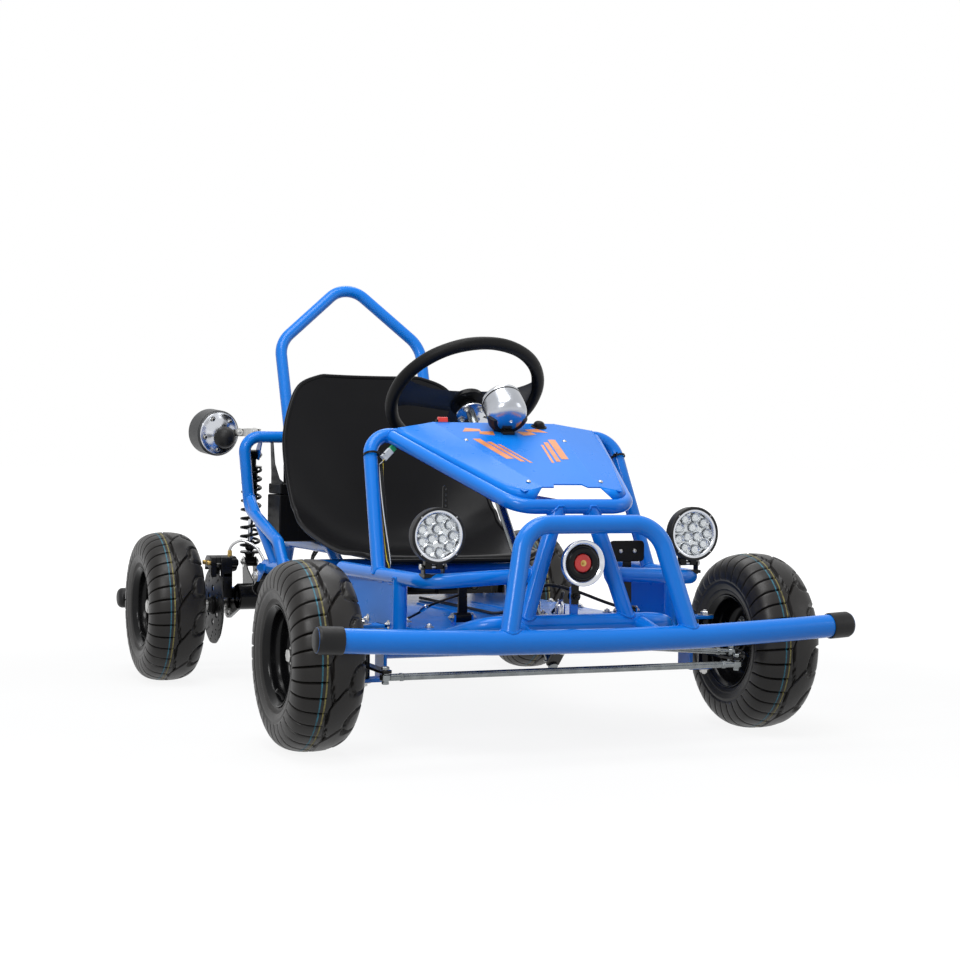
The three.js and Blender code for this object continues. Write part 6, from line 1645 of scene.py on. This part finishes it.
def power():
    low = at(-222, 905, 313.4)
    high = at(222, 1000, 441.2)
    case = [block(low, high - Z_AXIS * 24 * MM),
            block(at(-220.5, 906.5, 418.4), at(220.5, 998.5, 441.2))]
    add("battery_case", case, CHASSIS, plastic_black, bevel=3.0, hides=["battery_box"],
        slot="black_plastic")
    ribs = []
    for k in range(15):
        x = -203 + 29 * k
        for y0, y1 in ((904.4, 906.2), (998.8, 1000.2)):
            ribs.append(block(at(x - 4, y0 + 0.4, 326), at(x + 4, y1 - 0.4, 408)))
    add("battery_ribs", ribs, CHASSIS, plastic_black, bevel=0.5)
    straps = []
    for x in (-130, 130):
        strap = [at(x, 903.4, 316), at(x, 903.6, 438), at(x, 906.5, 442.6), at(x, 998.5, 442.6),
                 at(x, 1001.4, 438), at(x, 1001.6, 316)]
        edges = [point + X_AXIS * dx * MM for point in strap for dx in (-11, 11)]
        straps.append((edges, [(2 * i, 2 * i + 1, 2 * i + 3, 2 * i + 2) for i in range(len(strap) - 1)]))
    strap_piece = add("battery_straps", straps, CHASSIS, rubber_cap)
    thicken(strap_piece, "strap_thickness", 1.4)
    hangers = []
    for _, side in SIDES:
        outline = [(1004, 534), (986, 534), (972, 486), (934, 452), (908, 446), (908, 441), (996, 441),
                   (996, 470)]
        hangers.append(upright(outline, side * 214, 2.5))
        fold = [at(side * 213, 906, 441.4), at(side * 213, 906, 484), at(side * 186, 906, 498),
                at(side * 150, 906, 498), at(side * 150, 906, 441.4)]
        hangers.append(plate(fold, Y_AXIS * 2.5 * MM))
    add("battery_hangers", hangers, CHASSIS, paint_satin, bevel=0.6, outward=True)
    controller = [block(at(-126, 1018, 313.4), at(126, 1084, 341))]
    for k in range(11):
        y = 1021 + 6 * k
        controller.append(block(at(-122, y, 340), at(122, min(1083.6, y + 2.4), 347.2)))
    add("controller_case", controller, CHASSIS, cast_alloy, bevel=0.6, hides=["motor_controller"],
        slot="aluminium")
    leads = []
    for k, x in enumerate((-90, -72, -40, 20, 48, 96)):
        leads.append(tube(curve_through([at(x, 1019, 326), at(x, 1010, 326 + 2 * (k % 3)),
                                         at(x + 6, 1004, 340), at(x + 10, 1003, 380),
                                         at(x + 4, 1003.4, 404)], 5), 2.4, 10))
    add("controller_leads", leads, CHASSIS, plastic_black)


power()


# Lamps and horn

def headlight(word, side):
    body = f"headlight_{word}"
    face = at(side * LAMP_X, -123, 374)
    shell = [(3, 43.4), (0.6, 43.6), (0, 45), (0, 47), (1.2, 48.3), (3, 48.5), (18, 48.2), (24, 45),
             (31, 36), (36, 27), (38, 22), (38, 0)]
    add(f"headlight_shell_{word}", lathe(smooth_profile(shell, 3), face, Y_AXIS, 72), body, rubber_cap,
        hides=[f"headlight_housing_{word}"], slot="rubber")
    ring = [(1.0, 43.6), (0.9, 41.6), (2.0, 39.6), (5.5, 37.6), (6.5, 37.4)]
    verts, faces = lathe(smooth_profile(ring, 3), face, Y_AXIS, 120)
    for vert in verts:
        flat = vert - face
        angle = math.atan2(flat.z, flat.x)
        inner = math.hypot(flat.x, flat.z) < 42 * MM
        squeeze = 1 - 0.012 * (0.5 + 0.5 * math.cos(60 * angle)) * inner
        vert.x = face.x + flat.x * squeeze
        vert.z = face.z + flat.z * squeeze
    add(f"headlight_ring_{word}", (verts, faces), body, chrome)
    backing = [(9, 0), (9, 38.6), (5.4, 38.8)]
    add(f"headlight_backing_{word}", lathe(backing, face, Y_AXIS, 48), body, reflector)
    cups = []
    chips = []
    floor_centre = face + Y_AXIS * 12 * MM
    spots = circle(floor_centre, X_AXIS, Z_AXIS, 11.2, 3, math.pi / 2)
    spots += circle(floor_centre, X_AXIS, Z_AXIS, 29.2, 9)
    for spot in spots:
        cups.append(lathe([(0, 2.6), (-1.6, 4.4), (-3.6, 6.4), (-5.4, 8.2), (-6.6, 9.4)], spot, Y_AXIS, 14))
        chips.append(dome(spot - Y_AXIS * 0.6 * MM, -Y_AXIS, 2.4, 1.2))
    add(f"headlight_cups_{word}", cups, body, reflector, sharp=12)
    add(f"headlight_chips_{word}", chips, body, led_yellow)
    lens = [(1.6, 0), (1.8, 16), (2.4, 30), (3.4, 42.8), (4.0, 42.8), (3.2, 30), (2.6, 16), (2.5, 0)]
    add(f"headlight_glass_{word}", lathe(lens, face, Y_AXIS, 56), body, clear_lens,
        hides=[f"headlight_lens_{word}"], slot="lamp_lens")
    screws = [dome(spot, -Y_AXIS, 1.7, 0.9, 12)
              for spot in circle(face + Y_AXIS * 0.6 * MM, X_AXIS, Z_AXIS, 45.4, 4, math.pi / 4)]
    add(f"headlight_screws_{word}", screws, body, zinc)
    outline = [(-101, 316), (-101, 326), (-106, 352), (-84, 352), (-89, 326), (-89, 316)]
    fork = [upright(outline, side * LAMP_X + edge * 10, 12.5) for edge in (-1, 1)]
    add(f"headlight_lug_{word}", fork, body, paint_black, bevel=0.9, outward=True)
    pin = [rod(at(side * LAMP_X - 24, -95, 320), at(side * LAMP_X + 24, -95, 320), 4, 20)]
    for edge in (-1, 1):
        pin.append(hex_head(at(side * LAMP_X + edge * 19.6, -95, 320), X_AXIS * edge, 10, 4.6))
    add(f"headlight_bolt_{word}", pin, body, zinc)


def horn():
    face = at(-4, -186, 328)
    trumpet = [(11, 27), (5, 30.4), (1.2, 34.6), (0, 38), (0.8, 39.8), (3, 40), (11, 39.6), (17, 34),
               (24, 27), (30, 21), (31, 18)]
    add("horn_trumpet", lathe(smooth_profile(trumpet, 3), face, Y_AXIS, 64), CHASSIS, chrome,
        hides=["horn"], slot="chrome")
    dish = [(10, 30.4), (5.6, 29.8), (2, 27.4), (0.8, 24), (1.2, 20), (3.6, 17), (6, 15.8)]
    add("horn_diaphragm_ring", lathe(smooth_profile(dish, 3), face, Y_AXIS, 64), CHASSIS, paint_black)
    add("horn_red_centre", lathe(smooth_profile([(6.4, 16.2), (4.4, 15.4), (3.4, 12), (3, 0)], 3), face,
                                 Y_AXIS, 48),
        CHASSIS, red_plastic)
    add("horn_bolt", bolt(face + Y_AXIS * 3.4 * MM, -Y_AXIS, 5.6, 3, stub=1.2), CHASSIS, brass)
    wide_ends = circle(face + Y_AXIS * 17.6 * MM, X_AXIS, Z_AXIS, 33, 12)
    narrow_ends = circle(face + Y_AXIS * 30 * MM, X_AXIS, Z_AXIS, 21, 12)
    ribs = [rod(wide, narrow, 1.1, 8) for wide, narrow in zip(wide_ends, narrow_ends)]
    can = lathe([(29, 20), (31, 20), (34, 18), (34, 0)], face, Y_AXIS, 40)
    add("horn_body", joined(can, *ribs), CHASSIS, paint_black)
    tail = rod(face + Y_AXIS * 33 * MM, at(-2, -141.6, 328), 8, 24)
    strap = [(-7, 254), (7, 254), (7, 322), (9, 328), (7, 334), (-7, 334), (-9, 328), (-7, 322)]
    plate_shape = plate([at(x, -144.2, z) for x, z in strap], Y_AXIS * 3 * MM)
    add("horn_bracket", joined(tail, plate_shape), CHASSIS, paint_black, bevel=0.5, outward=True)
    add("horn_bracket_bolt",
        joined(bolt(at(0, -144.3, 268), -Y_AXIS, 10, 5), bolt(at(0, -133.6, 268), Y_AXIS, 10, 5)), CHASSIS,
        paint_black)


def tail_lamps():
    for word, side in SIDES:
        front = at(side * 318, 1062, 552)
        back = direction(side * 0.22, 0.96, 0.1)
        barrel = [(0.6, 46.5), (2.6, 49), (6, 51.4), (9, 51.6), (46, 51.6), (50, 51), (53, 49),
                  (53.6, 47.6), (52, 47), (52, 0)]
        add(f"tail_lamp_barrel_{word}", lathe(smooth_profile(barrel, 3), front, back, 72), CHASSIS,
            grey_plastic, hides=[f"tail_lamp_{word}"], slot="chrome")
        disc = [(3, 47.6), (1, 47.2), (0, 45.6), (-2.6, 36), (-6.6, 26), (-9.6, 18), (-11.6, 8), (-12, 0)]
        add(f"tail_lamp_plate_{word}", lathe(smooth_profile(disc, 3), front, back, 72), CHASSIS, chrome)
        add(f"tail_lamp_lens_{word}",
            lathe([(52.4, 47), (54.6, 46), (55.8, 42), (56.2, 0)], front, back, 64), CHASSIS, red_plastic)
        right, lifted = across(back)
        screws = []
        nubs = []
        for spot in circle(front - back * 1.6 * MM, right, lifted, 37, 5, 0.4):
            screws.append(bolt(spot, -back, 7, 3.4, stub=0))
            nubs.append(dome(spot - back * 4.2 * MM, -back, 2.6, 1.6))
        add(f"tail_lamp_screws_{word}", screws, CHASSIS, zinc)
        add(f"tail_lamp_nubs_{word}", nubs, CHASSIS, plastic_black)
        ball_centre = front + Vector((side * -9 * MM, -12.5 * MM, -9 * MM))
        boot = [(-24.6, 0)] + [(25 * math.sin(a), 25 * math.cos(a)) for a in np.linspace(-1.4, 0.7, 14)]
        boot.append((20, 20))
        add(f"tail_lamp_boot_{word}", lathe(smooth_profile(boot, 2), ball_centre, back, 48), CHASSIS,
            rubber_cap)
        strap = [at(side * 286, 1058, 546), at(side * 286, 1058, 562), at(side * 262, 1020, 564),
                 at(side * 238, 1001, 563), at(side * 238, 1001, 549), at(side * 262, 1020, 546)]
        normal = direction(side * 0.6, -0.8, 0)
        add(f"tail_lamp_strap_{word}", plate(strap, normal * 3 * MM), CHASSIS, zinc, bevel=0.5,
            outward=True)
        heads = [bolt(at(side * x, y, z) + normal * 3.2 * MM, normal, 9, 4)
                 for x, y, z in ((250, 1008, 557), (276, 1040, 556))]
        add(f"tail_lamp_strap_bolts_{word}", heads, CHASSIS, zinc)


def lamp_strap():
    """The perforated strap that stands over the right headlight."""
    outline = [at(-232.5, -101, 408), at(-223.5, -101, 408)]
    for angle in np.linspace(0, math.pi, 9):
        outline.append(at(-228 + 4.5 * math.cos(angle), -101, 455 + 4.5 * math.sin(angle)))
    holes = [circle(at(-228, -101, z), X_AXIS, Z_AXIS, 2, 14) for z in (425, 434.5, 444, 453.5)]
    add("headlight_strap_right", cut_plate(outline, holes, Y_AXIS * 1.8 * MM), "headlight_right",
        paint_black, outward=True)


for side_word, side_sign in SIDES:
    headlight(side_word, side_sign)
lamp_strap()
horn()
tail_lamps()


# Pedals, brake hydraulics and wiring

def pedals():
    for node, x, y, z, pad_z, width, height in (("throttle_pedal", -150, 8, 222, 291, 58, 16),
                                                ("brake_pedal", 150, -46, 232, 340, 68, 38)):
        tube_shape = sleeve(at(x, y, z), X_AXIS, 15, 5.3, 9, (0.8, 0.6))
        stem = [(x - 9, z), (x + 9, z), (x + 7.6, pad_z - height / 2), (x - 7.6, pad_z - height / 2)]
        stem_shape = plate([at(px, y - 3, pz) for px, pz in stem], Y_AXIS * 6 * MM)
        add(f"{node}_stem", joined(tube_shape, stem_shape), node, paint_black, bevel=0.7, hides=[node],
            slot="black_paint", outward=True)
        pad = []
        corner = min(height / 2, 7)
        dx = width / 2 - corner
        dz = height / 2 - corner
        for cx, cz, start in ((dx, dz, 0), (-dx, dz, 90), (-dx, -dz, 180), (dx, -dz, 270)):
            for step in range(5):
                a = math.radians(start + 22.5 * step)
                pad.append(at(x + cx + corner * math.cos(a), y - 3, pad_z + cz + corner * math.sin(a)))
        add(f"{node}_pad", plate(pad, Y_AXIS * 7 * MM), node, plastic_black, bevel=1.4, outward=True)
        ribs = []
        count = 3 if height > 20 else 1
        for k in range(count):
            rz = pad_z + (k - (count - 1) / 2) * 8
            ribs.append(tube([at(x - width / 2 + 7, y + 3.8, rz), at(x + width / 2 - 7, y + 3.8, rz)], 2.0,
                             10))
        add(f"{node}_grip", ribs, node, rubber_cap)
        rivets = [dome(at(x + shift, y - 3, pad_z), -Y_AXIS, 4, 2.2) for shift in (-14, 14)]
        add(f"{node}_rivets", rivets, node, zinc)


def hydraulics():
    base = at(40, 120, 208.6)
    pot = [(5, 13), (6, 13), (27, 13), (29, 12.6), (33, 10.4), (37, 7.4), (38, 6.5), (42, 6.5), (42, 0)]
    add("cylinder_pot", joined(lathe(pot, base, Z_AXIS, 40), block(at(14, 107, 208.6), at(66, 133, 213.6))),
        CHASSIS, bright_steel, bevel=0.6, hides=["master_cylinder"], slot="steel", outward=True)
    rings = [lathe([(low, 12.8), (low, 13.7), (low + 2, 13.7), (low + 2, 12.8)], base, Z_AXIS, 40)
             for low in (9, 15, 21)]
    cap = lathe([(37.6, 6.4), (37.6, 7.8), (41.4, 7.8), (42, 7), (42, 0)], base, Z_AXIS, 8)
    add("cylinder_cap", joined(cap, *rings), CHASSIS, zinc)
    bolts = [bolt(at(x, 120, 213.6), Z_AXIS, 8, 4) for x in (20, 60)]
    add("cylinder_bolts", bolts, CHASSIS, zinc)
    canister = lathe([(0, 9), (0, 9.6), (22, 9.6), (26, 8), (30, 5), (34, 5), (34, 0)], at(84, 96, 208.6),
                     Z_AXIS, 32)
    add("brake_junction", canister, CHASSIS, chrome)
    hoses = [
        [at(40, 120, 248), at(44, 112, 262), at(62, 92, 270), at(92, 52, 262), at(124, 0, 246),
         at(141, -32, 238)],
        [at(84, 96, 240), at(92, 104, 254), at(104, 128, 250), at(110, 160, 226), at(112, 190, 210.6)],
        [at(27, 120, 226), at(10, 126, 226), at(-8, 150, 216), at(-14, 186, 211.6), at(-16, 230, 211.6),
         at(-16, 470, 211.6), at(-20, 560, 212)],
    ]
    add("brake_hoses", joined(*[tube(curve_through(points, 8), 3.0, 14) for points in hoses]), CHASSIS,
        rubber_cap)
    cable = [at(-159, 4, 262), at(-182, 2, 256), at(-206, 20, 244), at(-216, 60, 226), at(-219, 120, 212.4),
             at(-219, 240, 211.8)]
    add("throttle_cable", tube(curve_through(cable, 8), 2.2, 12), CHASSIS, plastic_black)
    barrel = lathe([(0, 0), (0, 4.2), (18, 4.2), (19, 3), (24, 3), (24, 0)], at(-214, 44, 233),
                   direction(0.2, -0.8, 0.42), 20)
    add("throttle_cable_barrel", barrel, CHASSIS, bright_steel)


def zip_tie(name, centre, axis, tail):
    radius = 13.2
    axis = axis.normalized()
    band = lathe([(-2, radius), (-2, radius + 1.1), (2, radius + 1.1), (2, radius), (-2, radius)], centre,
                 axis, 32)
    out = (tail - axis * tail.dot(axis)).normalized()
    side = axis.cross(out)
    head_centre = centre + out * (radius + 1.6) * MM
    head = box_along(head_centre, axis * 3 * MM, side * 3 * MM, out * 2 * MM)
    end = tube([head_centre + (out * a + side * b) * MM for a, b in ((0, 0), (5, 3), (9, 9))], 1.1, 8)
    add(name, joined(band, head, end), CHASSIS, plastic_black, outward=True)


def wiring():
    lead = [at(-239, 196, 492), at(-244, 170, 440), at(-249, 143, 380), at(-252.5, 116, 322),
            at(-254, 108, 300), at(-254, 104, 209)]
    path = curve_through(lead, 10)
    add("wiring_loom", tube(path, 3.1, 16), CHASSIS, plastic_black, hides=["wiring_lead"], slot="rubber")
    colours = ((wire_yellow, 0.0), (wire_white, 2.1), (plastic_black, 4.2))
    for number, (material, phase) in enumerate(colours):
        points = []
        for i, point in enumerate(path[:44]):
            turn = phase + i * 0.12
            points.append(point + Vector((math.cos(turn) * 3.6 * MM, math.sin(turn) * 3.4 * MM, 0)))
        start = path[0] + Vector(((6 + 2 * number) * MM, 4 * MM, 9 * MM))
        add(f"loom_wire_{number}", tube([start] + points, 1.0, 8), CHASSIS, material)
    top = at(-236, 202, 500)
    heading = direction(0.66, 0.2, 0.6)
    side = heading.cross(Y_AXIS).normalized()
    depth = heading.cross(side).normalized()

    def brick(along, length, width, thickness):
        return box_along(top + heading * along * MM, heading * length / 2 * MM, side * width / 2 * MM,
                         depth * thickness / 2 * MM)

    add("loom_connector", brick(16, 24, 13, 9), CHASSIS, wire_white, bevel=1.0, outward=True)
    add("loom_connector_end", brick(33, 10, 12, 8), CHASSIS, wire_green, bevel=0.8, outward=True)
    onward = [top + heading * 38 * MM, top + heading * 52 * MM, at(-186, 214, 536), at(-150, 222, 548),
              at(-112, 224, 552)]
    add("loom_onward", joined(tube(curve_through(onward, 6), 1.3, 8),
                              tube(curve_through([p + Z_AXIS * 2.6 * MM for p in onward], 6), 1.3, 8)),
        CHASSIS, plastic_black)
    for word, side in SIDES:
        zip_tie(f"zip_tie_pillar_{word}", at(side * 256, 204, 510),
                at(side * 253, 226, 547) - at(side * 274, 104, 295), Vector((side * -0.7, -0.7, 0)))
    zip_tie("zip_tie_side_rail", at(-266.4, 60, 295), Y_AXIS, Vector((0.4, 0, -0.9)))


pedals()
hydraulics()
wiring()


# Camera, floor and light

# The photo's camera as it was fitted: degrees, metres and the focal length in pixels
CAMERA_YAW = 22.694
CAMERA_PITCH = 0.913
CAMERA_ROLL = 0.6075
CAMERA_PLACE = Vector((-1.4175, -3.60605, 0.5208))
FOCAL_PIXELS = 1883.93
PHOTO_PIXELS = 960


def camera():
    yaw, pitch, roll = [math.radians(angle) for angle in (CAMERA_YAW, CAMERA_PITCH, CAMERA_ROLL)]
    forward = Vector((math.sin(yaw) * math.cos(pitch), math.cos(yaw) * math.cos(pitch), -math.sin(pitch)))
    right = Vector((math.cos(yaw), -math.sin(yaw), 0))
    up = right.cross(forward)
    turned_right = right * math.cos(roll) + up * math.sin(roll)
    turned_up = up * math.cos(roll) - right * math.sin(roll)
    data = bpy.data.cameras.new("photo_camera")
    data.sensor_width = 36
    data.lens = data.sensor_width * FOCAL_PIXELS / PHOTO_PIXELS
    data.clip_end = 50
    obj = linked("photo_camera", data)
    turn = Matrix((turned_right, turned_up, -forward)).transposed().to_4x4()
    obj.matrix_world = Matrix.Translation(CAMERA_PLACE) @ turn
    bpy.context.scene.camera = obj


def combined(tree, operation, first, second):
    node = tree.nodes.new("ShaderNodeMath")
    node.operation = operation
    link(tree, first, node.inputs[0])
    link(tree, second, node.inputs[1])
    return node.outputs[0]


def camera_ray_mask(tree):
    """1 for what the camera sees straight, in a reflection or through glass."""
    path = tree.nodes.new("ShaderNodeLightPath")
    mask = path.outputs["Is Camera Ray"]
    for ray in ("Is Glossy Ray", "Is Transmission Ray"):
        mask = combined(tree, "MAXIMUM", mask, path.outputs[ray])
    return mask


FLOOR_REACH = 40
FLOOR_GAP = 0.0005
FADE_NEAR = 1.0
FADE_FAR = 3.2
WHITE_NEAR = 0.74
WHITE_FAR = 1.0


def floor():
    """A pale floor that keeps the kart's shadow and turns white away from it."""
    mesh = bpy.data.meshes.new("floor")
    corners = [(x, y, -FLOOR_GAP) for x, y in ((-1, -1), (1, -1), (1, 1), (-1, 1))]
    mesh.from_pydata([(x * FLOOR_REACH, y * FLOOR_REACH, z) for x, y, z in corners], [], [(0, 1, 2, 3)])
    obj = linked("floor", mesh)
    material = bpy.data.materials.new("pale_floor")
    material.use_nodes = True
    tree = material.node_tree
    shader = tree.nodes["Principled BSDF"]
    coordinates = tree.nodes.new("ShaderNodeTexCoord").outputs["Object"]
    link(tree, ramp(tree, noise(tree, coordinates, 2.0),
                    [(0.3, (0.36, 0.36, 0.36)), (0.7, (0.4, 0.4, 0.4))]),
         shader.inputs["Base Color"])
    shader.inputs["Roughness"].default_value = 0.8
    shader.inputs["Specular IOR Level"].default_value = 0.0
    white = tree.nodes.new("ShaderNodeEmission")
    white.inputs["Strength"].default_value = 1.2
    distance = tree.nodes.new("ShaderNodeVectorMath")
    distance.operation = "LENGTH"
    link(tree, coordinates, distance.inputs[0])
    fade = tree.nodes.new("ShaderNodeMapRange")
    fade.interpolation_type = "SMOOTHSTEP"
    fade.inputs["From Min"].default_value = FADE_NEAR
    fade.inputs["From Max"].default_value = FADE_FAR
    fade.inputs["To Min"].default_value = WHITE_NEAR
    fade.inputs["To Max"].default_value = WHITE_FAR
    link(tree, distance.outputs["Value"], fade.inputs["Value"])
    share = combined(tree, "MULTIPLY", camera_ray_mask(tree), fade.outputs["Result"])
    mix = tree.nodes.new("ShaderNodeMixShader")
    link(tree, share, mix.inputs["Fac"])
    link(tree, shader.outputs["BSDF"], mix.inputs[1])
    link(tree, white.outputs["Emission"], mix.inputs[2])
    link(tree, mix.outputs["Shader"], tree.nodes["Material Output"].inputs["Surface"])
    mesh.materials.append(material)


LIT_COLOUR = (0.9, 0.94, 1.0, 1)


def world():
    """A cool, dim sky lights the kart; the camera sees white."""
    scene_world = bpy.data.worlds.new("studio")
    bpy.context.scene.world = scene_world
    scene_world.use_nodes = True
    tree = scene_world.node_tree
    tree.nodes.clear()
    output = tree.nodes.new("ShaderNodeOutputWorld")
    mix = tree.nodes.new("ShaderNodeMixShader")
    link(tree, camera_ray_mask(tree), mix.inputs["Fac"])
    for number, colour, strength in ((1, LIT_COLOUR, 0.42), (2, (1, 1, 1, 1), 1.0)):
        background = tree.nodes.new("ShaderNodeBackground")
        background.inputs["Color"].default_value = colour
        background.inputs["Strength"].default_value = strength
        link(tree, background.outputs["Background"], mix.inputs[number])
    link(tree, mix.outputs["Shader"], output.inputs["Surface"])


# Each lamp's name, place, size in metres and watts
SOFTBOXES = (("overhead_softbox", (-0.6, -0.6, 3.2), (1.8, 1.8), 58),
             ("left_softbox", (-2.6, -2.6, 2.4), (1.0, 1.2), 56),
             ("right_softbox", (2.9, -2.4, 1.6), (1.2, 1.6), 12),
             ("rear_softbox", (0.9, 1.9, 3.4), (1.4, 1.0), 18))
LIT_MIDDLE = Vector((0, 0, 0.4))


def soft_lamp(name, place, size, power):
    data = bpy.data.lights.new(name, "AREA")
    data.shape = "RECTANGLE"
    data.size, data.size_y = size
    data.energy = power
    obj = linked(name, data)
    obj.location = place
    obj.rotation_euler = (LIT_MIDDLE - Vector(place)).to_track_quat("-Z", "Y").to_euler()


bpy.context.scene.view_settings.view_transform = "Standard"
camera()
floor()
world()
for softbox in SOFTBOXES:
    soft_lamp(*softbox)
